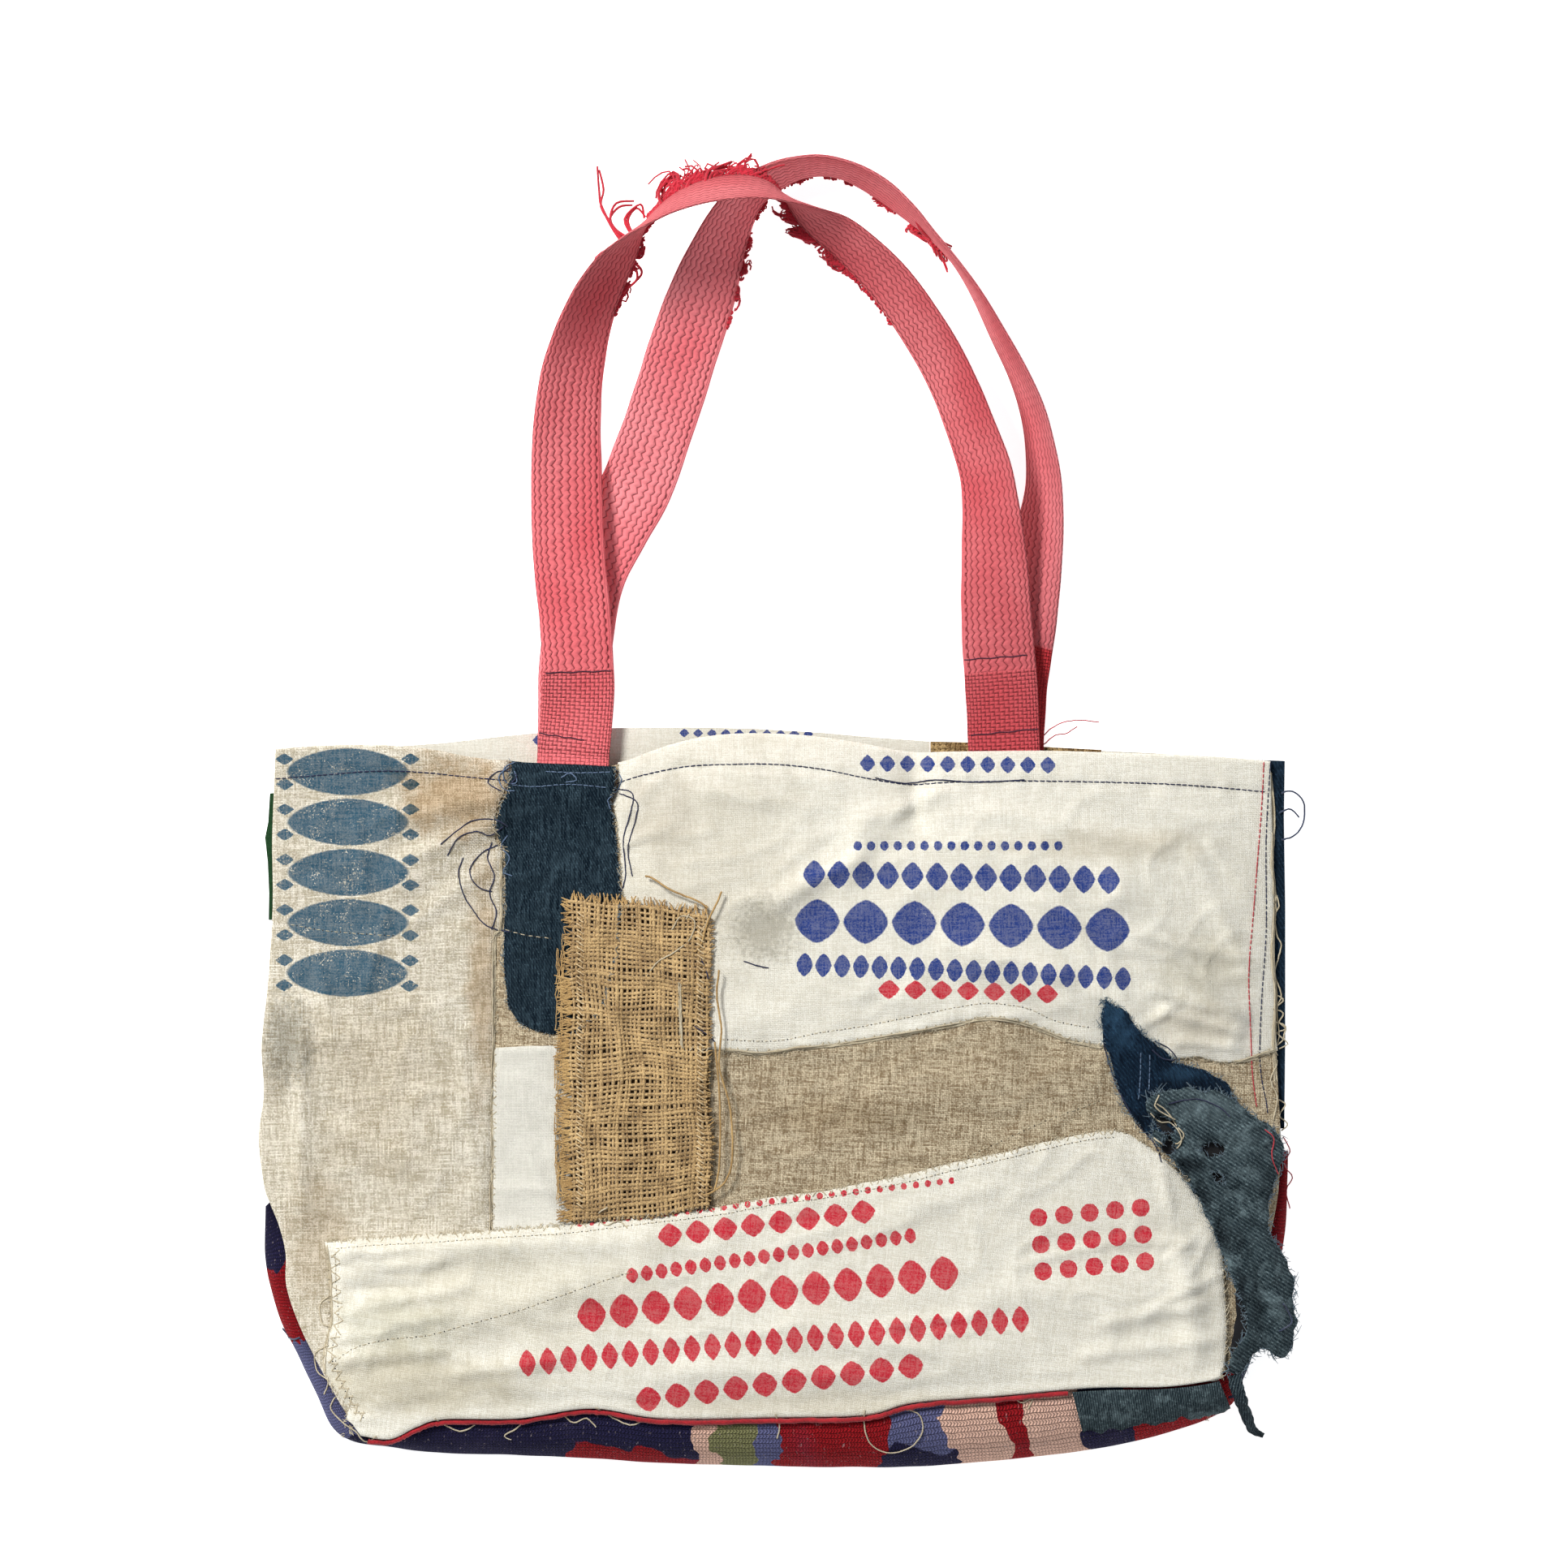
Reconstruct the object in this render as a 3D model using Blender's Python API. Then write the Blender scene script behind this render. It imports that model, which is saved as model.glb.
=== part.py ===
"""Patchwork tote bag lying flat on its back, with two webbing handles.

Every length below is in millimetres, with +Z up and +Y toward the handles. Meshes are written in metres.
The front wall is one grid over the bag's outline. Each cloth on it is that grid, raised to its own level and
cut to its own outline, so neighbouring cloths follow the same folds without touching.
"""
import math

import bmesh
import bpy
from mathutils import Vector

MM = 0.001

# Cloth thicknesses
COTTON_THICK = 1.0
DENIM_THICK = 1.4
BURLAP_THICK = 1.6
WEBBING_THICK = 2.0
TAPESTRY_THICK = 2.2
BACK_THICK = 1.0
GAP = 0.3

# Height of each cloth's underside above the front wall's underside
GROUND_LEVEL = 0.0
FIRST_LEVEL = COTTON_THICK + GAP
SECOND_LEVEL = FIRST_LEVEL + COTTON_THICK + GAP
BURLAP_LEVEL = FIRST_LEVEL + DENIM_THICK + GAP
THIRD_LEVEL = SECOND_LEVEL + DENIM_THICK + GAP

# Front wall grid
FRONT_COLUMNS = 32
FRONT_ROWS = 22
EDGE_CROWDING = 0.035
CROWN = 84.0
SIDE_REACH = (10.0, 20.0, 30.0)
SIDE_DROOP = 0.6

WEBBING_WIDTH = 32.5
RIM_TUCK = 3.0
RIM_GAP = 0.6
LIP_REACH = 6.0

# Outline of the front wall: x, y and the height of its underside
TOP_EDGE = (
    ("x", "y", "height"),
    (-225, 161, 1.4),
    (-205, 162.5, 2.6),
    (-178, 162.8, 4.4),
    (-155, 160.8, 5.4),
    (-138, 157.5, 6.0),
    (-120, 155.5, 6.2),
    (-105, 154.6, 6.4),
    (-88, 154, 6.5),
    (-74, 153.4, 6.6),
    (-66, 156, 7.4),
    (-50, 162, 9.4),
    (-32, 166.4, 10.6),
    (-12, 168, 11.2),
    (12, 167.2, 11.5),
    (35, 164.2, 11.2),
    (60, 159.7, 10.4),
    (80, 159.8, 10.0),
    (120, 160.2, 9.2),
    (160, 159, 6.8),
    (195, 157.8, 3.8),
    (223, 155.5, 1.4),
)
LEFT_EDGE = (
    ("x", "y", "height"),
    (-225, 161, 1.4),
    (-225.5, 148, 1.4),
    (-226.5, 120, 1.4),
    (-226.3, 90, 1.4),
    (-228.5, 55, 1.4),
    (-231.3, 28, 1.4),
    (-230.3, 6, 1.4),
    (-232.6, -14, 1.8),
    (-230, -36, 3.2),
    (-227.5, -43, 4.6),
    (-223, -54, 6.4),
    (-220, -66, 9.5),
    (-219.5, -80, 13),
    (-214, -96, 18),
    (-205.5, -113, 23),
    (-197, -128, 27),
    (-189.5, -140, 30),
    (-185, -146, 32),
)
BOTTOM_EDGE = (
    ("x", "y", "height"),
    (-185, -146, 32),
    (-172, -147.5, 33),
    (-160, -142, 34),
    (-148, -138.5, 34.5),
    (-115, -138, 36),
    (-82, -133.5, 37),
    (-50, -138, 38),
    (0, -137.5, 38),
    (40, -136.5, 38),
    (62, -131, 38),
    (100, -128, 37),
    (140, -124.5, 36),
    (175, -124, 34),
    (198, -121, 31),
)
RIGHT_EDGE = (
    ("x", "y", "height"),
    (223, 155.5, 1.4),
    (224, 120, 1.4),
    (225, 60, 1.4),
    (226, 20, 1.8),
    (227.5, -12, 4.0),
    (227.5, -20, 5.2),
    (226, -40, 8),
    (222, -60, 11),
    (217, -80, 16),
    (210, -100, 22),
    (203, -115, 27),
    (198, -121, 31),
)

# Main folds of the front wall: a ridge, or a trough where the rise is negative, between two points
FOLDS = (
    ("x0", "y0", "x1", "y1", "rise", "width"),
    (-212, 30, -214, -50, 2.6, 8),
    (-132, 142, -170, 127, 3.2, 8),
    (-132, 128, -166, 104, 2.6, 9),
    (-205, 45, -196, 22, 2.4, 9),
    (71, 140, 44, 129, 3.0, 9),
    (40, 128, 37, 112, 4.4, 9),
    (34, 110, 4, 94, 3.6, 9),
    (89, 67, 136, 46, 3.4, 9),
    (155, 96, 205, 44, 3.4, 10),
    (62, 160, 63, 132, -3.4, 8),
    (-20, 150, 20, 148, 2.0, 10),
    (95, 120, 150, 100, 2.4, 12),
    (0, 20, 24, -4, -2.6, 10),
    (122, 30, 158, -4, -3.0, 10),
    (40, 4, 130, 12, 2.0, 12),
    (-196, -66, -60, -58, 3.0, 7),
    (-195, -112, -64, -72, 3.0, 8),
    (-180, -92, -150, -88, 2.4, 7),
    (-172, -124, -110, -116, 2.2, 8),
    (100, -83, 176, -80, 2.4, 9),
    (182, -66, 189, -112, 3.2, 6),
    (10, -98, 90, -112, 2.0, 9),
)

# Outlines the cloths are cut to; where one runs past the bag's own edge, the cloth ends at that edge
LINEN_LEFT = (
    ("x", "y"),
    (-250, 180), (-119.6, 180), (-119.4, 150), (-121.4, 142), (-124.0, 136), (-126.2, 128), (-125.6, 120),
    (-122.4, 116), (-122.2, 98), (-122.6, 80), (-126.4, 76), (-126.2, 50), (-126.0, 34), (-126.6, 18),
    (-127.2, 0), (-126.8, -20), (-127.4, -36), (-127.2, -66), (-190, -72), (-190, -160), (-250, -160),
)
DENIM_TAB = (
    ("x", "y"),
    (-118.6, 180), (-118.4, 150), (-120.4, 141), (-123.0, 135), (-125.2, 128), (-124.4, 121),
    (-121.2, 116.5), (-121.0, 98), (-121.4, 80), (-121.6, 64), (-119.6, 46), (-115, 38.5), (-108, 35),
    (-100, 33), (-90, 34), (-78, 44), (-71, 70), (-69.4, 96), (-70.6, 114), (-72, 126), (-74, 138),
    (-72, 142), (-71.4, 180),
)
FLOUR_UPPER = (
    ("x", "y"),
    (-70.4, 180), (-70.8, 142.5), (-72.8, 138), (-70.8, 126), (-69.4, 114), (-68.2, 96), (-60, 80),
    (-44, 60), (-42, 27), (-23, 26.2), (-10, 24.6), (0, 25.2), (10, 27), (20, 28), (40, 30.6), (60, 34),
    (80, 37.6), (91, 40.4), (100, 40.4), (110, 38.6), (120, 35), (130, 31), (140, 29), (152, 27),
    (166, 22), (178, 21.6), (190, 22.6), (200, 20), (210, 20.4), (218, 23), (250, 31), (250, 180),
)
WHITE_PATCH = (
    ("x", "y"),
    (-125.6, 27), (-110, 28), (-80, 28), (-78, -62), (-126.4, -62), (-126.2, -30), (-126.4, 0),
)
BURLAP_PATCH = (
    ("x", "y"),
    (-92, 93), (-75, 93.4), (-55, 90.6), (-40, 88.4), (-30, 85), (-30.4, 60), (-29, 40), (-29.6, 25),
    (-29.4, 0), (-29, -20), (-28.6, -43.2), (-60, -47), (-91, -51), (-91.6, -20), (-90.8, 10), (-91.6, 40),
    (-92.4, 70),
)
FLOUR_LOWER = (
    ("x", "y"),
    (-202, -60), (-190, -59), (-180, -58.2), (-160, -57), (-140, -55.6), (-127, -54.4), (-92, -52),
    (-60, -48), (-28, -44.2), (0, -39), (20, -37), (40, -33), (60, -29), (80, -24), (100, -20), (120, -15),
    (140, -11), (152, -9.8), (158, -11.4), (165, -15.6), (172, -20.6), (180, -28), (187, -35), (193, -44),
    (198, -55), (200.6, -66), (201.4, -80), (202, -90), (202.2, -102), (201.2, -115), (196, -130),
    (190, -160), (-196, -160), (-191, -134), (-196, -127), (-202, -118), (-201.6, -108), (-198.4, -96),
    (-199.4, -84), (-199.8, -70),
)
DENIM_DARK = (
    ("x", "y"),
    (148, 49.5), (151, 46.5), (158, 43), (161, 37.5), (165.4, 32.6), (170, 29.4), (175, 26), (179, 20.6),
    (184, 19.4), (193, 16.6), (200, 13), (204, 9.6), (206, 2.6), (200, -6), (186, -12.6), (178, -15.6),
    (171.6, -15), (166, -10.4), (161, -5.2), (156.6, 0), (154, 8), (151.6, 15.4), (149.4, 24), (147, 31),
    (146, 40.4),
)
DENIM_WORN = (
    ("x", "y"),
    (167, 5), (172, 7.6), (180, 8.2), (186, 9.4), (192, 7), (197, 8.6), (201, 6.4), (206, 3.4), (210, 0),
    (215, -4), (220, -6.6), (225, -11), (228.4, -15), (228.6, -24), (225, -32), (221.6, -42), (221.4, -56),
    (226, -62.4), (230, -70), (233.4, -77), (232.8, -88), (234, -96), (232.4, -106), (229, -112.6),
    (224, -111), (218, -107.4), (212.6, -112), (209, -118.6), (201.8, -118.2), (203.4, -109), (208.4, -101),
    (208.8, -92), (206.2, -80), (203.6, -71), (200.4, -62), (196, -50), (190, -38), (184, -30),
    (176, -20.6), (168.4, -12.4), (170, -6), (165.6, -1),
)

# Bottom band and lower sides: the rim under the front wall, the outermost line in plan, and the rim's height
BAND = (
    ("rim_x", "rim_y", "out_x", "out_y", "height"),
    (-227.5, -43, -229.6, -45, 4.6),
    (-223, -54, -229.8, -58, 6.4),
    (-220, -66, -229.5, -68, 9.5),
    (-219.5, -80, -227.5, -80, 13),
    (-214, -96, -222.5, -96, 18),
    (-205.5, -113, -213.5, -114, 23),
    (-197, -128, -206, -130, 27),
    (-189.5, -140, -199, -144, 30),
    (-185, -146, -189, -150.4, 32),
    (-172, -147.5, -174, -152.4, 33),
    (-160, -142, -162, -154.6, 34),
    (-148, -138.5, -150, -155.6, 34.5),
    (-115, -138, -116, -156.5, 36),
    (-82, -133.5, -82, -158, 37),
    (-50, -138, -50, -160, 38),
    (0, -137.5, 0, -161.5, 38),
    (40, -136.5, 42, -162, 38),
    (62, -131, 66, -161.5, 38),
    (100, -128, 106, -158.5, 37),
    (140, -124.5, 148, -153, 36),
    (175, -124, 183, -144.5, 34),
    (198, -121, 204, -135, 31),
    (203, -115, 210.6, -122, 27),
    (210, -100, 217, -106, 22),
    (217, -80, 224.5, -82, 16),
    (222, -60, 229, -61, 11),
    (226, -40, 230.6, -40, 8),
    (227.5, -20, 231, -20, 5.2),
)
BAND_STATIONS = 56
# The band's section from its rim to the floor: share of its reach outward and of its height
BAND_SECTION = (
    ("out", "up"),
    (0.00, 1.00), (0.35, 0.97), (0.70, 0.82), (0.93, 0.52), (1.00, 0.24), (0.97, 0.07), (0.88, 0.00),
)

# Back panel cloths, flat on the surface the bag lies on
BACK_BURLAP = (("x", "y"), (70, 132), (147, 132), (147, 160.6), (120, 162), (86, 164), (70, 164.4))
BACK_DENIM = (
    ("x", "y"),
    (205, -10), (229.4, -10), (229.8, 30), (229.8, 90), (229.2, 130), (229.6, 155.6), (205, 156.6),
)
BACK_GREEN = (
    ("x", "y"),
    (-214, 84), (-228.2, 84), (-228, 96), (-228.6, 110), (-229.8, 121), (-228.4, 128), (-227.6, 141),
    (-214, 142),
)
BACK_COTTON_TOP = (
    ("x", "y"),
    (-224, 160), (-200, 161.2), (-170, 162.2), (-150, 163.6), (-120, 167), (-100, 168.8), (-72, 170.4),
    (-40, 170.8), (-10, 170.2), (20, 168.4), (45, 166.2), (69.6, 164.4), (69.6, 131.6), (147.4, 131.6),
    (147.4, 160.2), (165, 159.4), (190, 158), (204.6, 156.6), (204.6, -10.4), (220.6, -10.4),
)
BACK_COTTON_LEFT = (
    ("x", "y"),
    (-228, -37), (-230.2, -14), (-228.4, 6), (-229, 28), (-226.4, 55), (-224.6, 83.6), (-213.6, 83.6),
    (-213.6, 142.4), (-224, 142.4),
)

# Webbing handles: centre line, height of the lower edge and lean of the width from level
STRAP_FRONT = (
    ("x", "y", "low", "lean"),
    (-91.4, 146.5, 0.0, 0),
    (-91.0, 151, 0.0, 0),
    (-90.6, 160, 8.4, 0),
    (-88.8, 180, 8.8, 6),
    (-88.5, 200, 9.6, 12),
    (-90.4, 225, 10.6, 8),
    (-92.8, 252, 11.0, 8),
    (-93.6, 280, 11.0, 13),
    (-93.4, 303, 11.2, 22),
    (-91.6, 325, 12.0, 31),
    (-88.0, 342, 13.0, 41),
    (-83.0, 357, 15.0, 50),
    (-76.5, 370.5, 18.0, 58),
    (-69.0, 382.5, 21.5, 70),
    (-60.0, 393.5, 25.0, 90),
    (-47.0, 403, 30.0, 104),
    (-31.0, 409, 34.0, 111),
    (-15.0, 410.8, 36.5, 112),
    (-2.0, 409, 36.5, 105),
    (8.0, 404.6, 33.6, 90),
    (20.0, 396.2, 29.0, 68),
    (34.0, 386, 25.0, 59),
    (52.7, 367.4, 20.0, 54),
    (71.5, 340, 14.5, 52),
    (81.5, 320, 12.0, 51),
    (90.0, 298.5, 10.6, 48),
    (94.6, 284, 10.2, 45),
    (96.8, 268, 10.0, 39),
    (98.2, 250, 10.0, 29),
    (99.0, 230, 10.0, 18),
    (100.2, 208, 9.8, 8),
    (101.8, 188, 8.6, 2),
    (103.0, 162, 6.2, 0),
    (103.4, 145, 6.6, 0),
    (103.5, 130, 7.4, 0),
)
STRAP_REAR = (
    ("x", "y", "low", "lean"),
    (-91, 130, 1.4, 0),
    (-91, 150, 1.4, 0),
    (-90.6, 172, 1.5, 0),
    (-90.0, 200, 1.0, 0),
    (-87.2, 224, 0.7, 0),
    (-82.6, 242, 0.5, 1),
    (-72.6, 261, 0.5, 3),
    (-62.0, 280, 0.4, 7),
    (-54.6, 300, 0.4, 12),
    (-47.8, 320, 0.4, 14),
    (-41.4, 340, 1.4, 15),
    (-34.6, 360, 2.6, 21),
    (-27.6, 380, 2.8, 38),
    (-19.4, 399, 2.8, 54),
    (-10.5, 411, 2.8, 64),
    (0.5, 418, 2.7, 70),
    (10.0, 421.4, 2.6, 75),
    (20.0, 422.6, 2.6, 77),
    (30.0, 421, 2.6, 78),
    (40.0, 416.8, 2.6, 77),
    (50.5, 410, 2.6, 77),
    (61.0, 401, 2.6, 81),
    (70.0, 392, 2.6, 87),
    (80.4, 380, 2.6, 89),
    (90.4, 365, 2.4, 85),
    (100.0, 347, 1.5, 80),
    (108.8, 330, 0.6, 77),
    (114.8, 315, 0.2, 73),
    (118.4, 300, 0.2, 69),
    (120.6, 280, 0.3, 62),
    (119.0, 260, 0.4, 51),
    (115.8, 240, 0.5, 39),
    (112.0, 220, 0.7, 25),
    (108.8, 205, 0.9, 12),
    (106.4, 190, 1.2, 3),
    (105.0, 170, 2.0, 0),
    (104.4, 150, 2.0, 0),
    (104.0, 134, 2.0, 0),
)
STRAP_STATIONS = 84

# Worn selvages: share of the handle's stations where the strip runs, and lock length by share of the strip
FRONT_FRAY_RUN = (0.335, 0.635)
FRONT_FRAY = (
    ("along", "length"),
    (0.00, 1.5), (0.05, 4.0), (0.10, 5.0), (0.14, 2.0), (0.20, 0.8), (0.24, 3.5), (0.28, 6.0), (0.34, 7.0),
    (0.40, 5.0), (0.46, 4.4), (0.52, 3.0), (0.58, 1.0), (0.63, 1.5), (0.68, 4.5), (0.74, 6.5), (0.80, 7.0),
    (0.86, 4.0), (0.93, 2.0), (1.00, 1.5),
)
REAR_FRAY_RUN = (0.355, 0.610)
REAR_FRAY = (
    ("along", "length"),
    (0.00, 3.0), (0.08, 6.0), (0.20, 4.5), (0.28, 2.0), (0.38, 1.0), (0.80, 1.5), (0.88, 6.0), (0.94, 7.0),
    (1.00, 4.0),
)
FRAY_STRIP = 1.2
FRAY_LOCKS = 52
FRAY_TAPER = 0.42

# Burlap fringe: the backing strip's path round three edges of the patch, and lock length along it
FRINGE_PATH = (
    ("x", "y", "length"),
    (-93.2, -49, 4.0),
    (-93.8, -20, 6.6),
    (-93.0, 10, 6.8),
    (-93.8, 40, 6.0),
    (-94.6, 70, 2.6),
    (-94.2, 95.2, 2.0),
    (-75, 95.6, 4.6),
    (-55, 92.8, 4.2),
    (-40, 90.6, 3.4),
    (-27.8, 87.2, 3.0),
    (-28.2, 60, 1.6),
    (-26.8, 40, 2.2),
    (-27.4, 25, 2.6),
    (-27.2, 0, 1.8),
    (-26.8, -20, 2.2),
    (-26.4, -41.2, 2.4),
)
FRINGE_STRIP = 1.8
FRINGE_LOCKS = 104
FRINGE_TAPER = 0.5

# Loose tail of torn denim
TAIL = (
    ("x", "y", "z", "width"),
    (205.2, -118.9, 31.1, 6.2),
    (206.4, -124, 30.6, 6.2),
    (208.6, -131, 27.0, 5.4),
    (211.8, -139, 18.0, 5.0),
    (215.0, -145.4, 8.0, 3.6),
    (219.6, -148, 2.4, 2.2),
)
TAIL_STATIONS = 14

# Frayed denim patch on the bottom band: place along the band, and how far down the section it reaches
BOTTOM_PATCH = (
    ("along", "reach"),
    (18.92, 0.30), (19.2, 0.31), (19.5, 0.30), (19.8, 0.32), (20.05, 0.30), (20.3, 0.36), (20.6, 0.38),
    (20.9, 0.43), (21.2, 0.44),
)
PATCH_LIFT = 0.8

COLOURS = {
    "front_ground": (0.42, 0.34, 0.24),
    "linen_left": (0.60, 0.52, 0.38),
    "denim_tab": (0.020, 0.045, 0.080),
    "flour_upper": (0.74, 0.70, 0.61),
    "white_patch": (0.76, 0.73, 0.66),
    "burlap_patch": (0.46, 0.30, 0.13),
    "burlap_fringe": (0.52, 0.35, 0.16),
    "flour_lower": (0.74, 0.70, 0.61),
    "denim_dark": (0.018, 0.048, 0.100),
    "denim_worn": (0.050, 0.100, 0.150),
    "denim_tail": (0.025, 0.060, 0.095),
    "denim_bottom": (0.050, 0.095, 0.140),
    "tapestry_base": (0.030, 0.028, 0.110),
    "back_cotton": (0.66, 0.64, 0.55),
    "back_denim": (0.014, 0.032, 0.060),
    "back_green": (0.020, 0.060, 0.030),
    "back_burlap": (0.30, 0.18, 0.07),
    "strap_front": (0.66, 0.12, 0.14),
    "strap_rear": (0.66, 0.14, 0.16),
    "strap_front_fray": (0.56, 0.06, 0.08),
    "strap_rear_fray": (0.56, 0.06, 0.08),
}


def column(table, name):
    """One named column of a table, as a list."""
    place = table[0].index(name)
    return [row[place] for row in table[1:]]


def smooth_value(values, position):
    """Catmull-Rom value at a fractional row position."""
    last = len(values) - 1
    position = min(max(position, 0.0), float(last))
    low = min(int(position), last - 1)
    share = position - low
    before = values[max(low - 1, 0)]
    start = values[low]
    end = values[low + 1]
    after = values[min(low + 2, last)]
    square = share * share
    cube = square * share
    return 0.5 * (
        2.0 * start
        + (end - before) * share
        + (2.0 * before - 5.0 * start + 4.0 * end - after) * square
        + (3.0 * start - before - 3.0 * end + after) * cube
    )


def smooth_row(table, names, position):
    """Named columns of a table at a fractional row position."""
    return [smooth_value(column(table, name), position) for name in names]


def stepped_value(places, values, place):
    """Straight-line value between rows that are listed by place."""
    if place <= places[0]:
        return values[0]
    for index in range(1, len(places)):
        if place <= places[index]:
            share = (place - places[index - 1]) / (places[index] - places[index - 1])
            return values[index - 1] + (values[index] - values[index - 1]) * share
    return values[-1]


def ease(value):
    """Smooth step from 0 to 1."""
    value = min(max(value, 0.0), 1.0)
    return value * value * (3.0 - 2.0 * value)


class Edge:
    """One side of the front wall, read by share of its length in plan."""

    def __init__(self, table):
        self.xs = column(table, "x")
        self.ys = column(table, "y")
        self.heights = column(table, "height")
        self.marks = [0.0]
        for index in range(1, len(self.xs)):
            step = math.hypot(self.xs[index] - self.xs[index - 1], self.ys[index] - self.ys[index - 1])
            self.marks.append(self.marks[-1] + step)

    def at(self, share):
        """Point at a share of the length."""
        wanted = min(max(share, 0.0), 1.0) * self.marks[-1]
        index = 1
        while index < len(self.marks) - 1 and self.marks[index] < wanted:
            index += 1
        span = self.marks[index] - self.marks[index - 1]
        position = index - 1 + (wanted - self.marks[index - 1]) / span
        return Vector((
            smooth_value(self.xs, position),
            smooth_value(self.ys, position),
            smooth_value(self.heights, position),
        ))


TOP = Edge(TOP_EDGE)
LEFT = Edge(LEFT_EDGE)
BOTTOM = Edge(BOTTOM_EDGE)
RIGHT = Edge(RIGHT_EDGE)


def fold_rise(x, y):
    """Rise of the main folds at a place in plan."""
    total = 0.0
    for x0, y0, x1, y1, rise, width in FOLDS[1:]:
        run_x = x1 - x0
        run_y = y1 - y0
        length = math.hypot(run_x, run_y)
        along = ((x - x0) * run_x + (y - y0) * run_y) / length
        across = ((x - x0) * run_y - (y - y0) * run_x) / length
        past = max(-along, along - length, 0.0)
        total += rise * math.exp(-(across / width) ** 2 - (past / (1.6 * width)) ** 2)
    return total


def front_point(across, down):
    """Point of the front wall's underside; across past 1 hangs over the bag's right side."""
    inside = min(across, 1.0)
    top = TOP.at(inside)
    bottom = BOTTOM.at(inside)
    left = LEFT.at(down)
    right = RIGHT.at(down)
    corners = (
        TOP.at(0.0) * (1.0 - inside) * (1.0 - down)
        + TOP.at(1.0) * inside * (1.0 - down)
        + BOTTOM.at(0.0) * (1.0 - inside) * down
        + BOTTOM.at(1.0) * inside * down
    )
    point = left * (1.0 - inside) + right * inside + top * (1.0 - down) + bottom * down - corners
    point.z += CROWN * down * (1.0 - down) * (1.0 - abs(2.0 * inside - 1.0) ** 3)
    side_share = ease(min(inside, 1.0 - inside) / 0.05)
    foot_share = ease((1.0 - down) / 0.10)
    point.z += fold_rise(point.x, point.y) * side_share * foot_share
    reach = max(across - 1.0, 0.0) * 100.0
    if reach > 0.0:
        point += Vector((0.98, -0.2, -SIDE_DROOP)) * reach
    return point


def front_height(x, y):
    """Height of the front wall's underside above a place in plan."""
    across = (x + 225.0) / 448.0
    down = (161.0 - y) / 300.0
    for _ in range(30):
        point = front_point(across, down)
        across += (x - point.x) / 448.0
        down -= (y - point.y) / 300.0
        across = min(max(across, 0.0), 1.0)
        down = min(max(down, 0.0), 1.0)
    return point.z


def grid_shares():
    """Column places across the front wall, closer together near its sides."""
    shares = []
    for index in range(FRONT_COLUMNS + 1):
        even = index / FRONT_COLUMNS
        shares.append(even - EDGE_CROWDING * math.sin(2.0 * math.pi * even))
    return shares


def new_grid(columns, rows, place):
    """Grid of triangles whose vertices place(column, row) puts in the frame, in millimetres."""
    mesh = bmesh.new()
    bmesh.ops.create_grid(mesh, x_segments=columns, y_segments=rows, size=1.0)
    for vertex in mesh.verts:
        at_column = round((vertex.co.x + 1.0) / 2.0 * columns)
        at_row = round((1.0 - vertex.co.y) / 2.0 * rows)
        vertex.co = place(at_column, at_row) * MM
    bmesh.ops.triangulate(mesh, faces=mesh.faces[:])
    return mesh


def lift_solid(mesh, thickness):
    """Close a sheet into a solid by copying it straight up."""
    raised = bmesh.ops.extrude_face_region(mesh, geom=mesh.faces[:])
    for item in raised["geom"]:
        if isinstance(item, bmesh.types.BMVert):
            item.co.z += thickness * MM
    bmesh.ops.recalc_face_normals(mesh, faces=mesh.faces[:])


def new_object(name, mesh, collection):
    """Object of a finished bmesh."""
    data = bpy.data.meshes.new(name)
    mesh.to_mesh(data)
    mesh.free()
    thing = bpy.data.objects.new(name, data)
    collection.objects.link(thing)
    return thing


def coloured(thing):
    """Give an object its own plain cloth material."""
    material = bpy.data.materials.new(thing.name)
    material.use_nodes = True
    shader = material.node_tree.nodes["Principled BSDF"]
    shader.inputs["Base Color"].default_value = (*COLOURS[thing.name], 1.0)
    shader.inputs["Roughness"].default_value = 0.9
    material.diffuse_color = (*COLOURS[thing.name], 1.0)
    thing.data.materials.append(material)
    return thing


def prism(name, outline, low, high, collection):
    """Upright solid over a plan outline."""
    mesh = bmesh.new()
    places = zip(column(outline, "x"), column(outline, "y"))
    mesh.faces.new([mesh.verts.new((x * MM, y * MM, low * MM)) for x, y in places])
    raised = bmesh.ops.extrude_face_region(mesh, geom=mesh.faces[:])
    for item in raised["geom"]:
        if isinstance(item, bmesh.types.BMVert):
            item.co.z = high * MM
    bmesh.ops.recalc_face_normals(mesh, faces=mesh.faces[:])
    return new_object(name, mesh, collection)


def front_cloth(name, level, thickness, outline, bag, cutters, overhang=False, puff=None):
    """Cloth of the front wall: the shared grid at the cloth's level, cut to the cloth's outline."""
    shares = grid_shares()
    if overhang:
        shares = shares + [1.0 + reach / 100.0 for reach in SIDE_REACH]

    def place(at_column, at_row):
        point = front_point(shares[at_column], at_row / FRONT_ROWS)
        point.z += level
        if puff is not None:
            point.z += puff(point.x, point.y)
        return point

    mesh = new_grid(len(shares) - 1, FRONT_ROWS, place)
    lift_solid(mesh, thickness)
    cloth = coloured(new_object(name, mesh, bag))
    if outline is not None:
        cutter = prism("cut_" + name, outline, -20.0, 120.0, cutters)
        cutter.hide_render = True
        cutter.display_type = "WIRE"
        trim = cloth.modifiers.new("trim", "BOOLEAN")
        trim.operation = "INTERSECT"
        trim.solver = "EXACT"
        trim.object = cutter
    return cloth


def tab_puff(x, y):
    """The tab's folded top band stands over the end of the webbing."""
    return (WEBBING_THICK + 1.7) * ease((y - 126.0) / 17.0)


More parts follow.
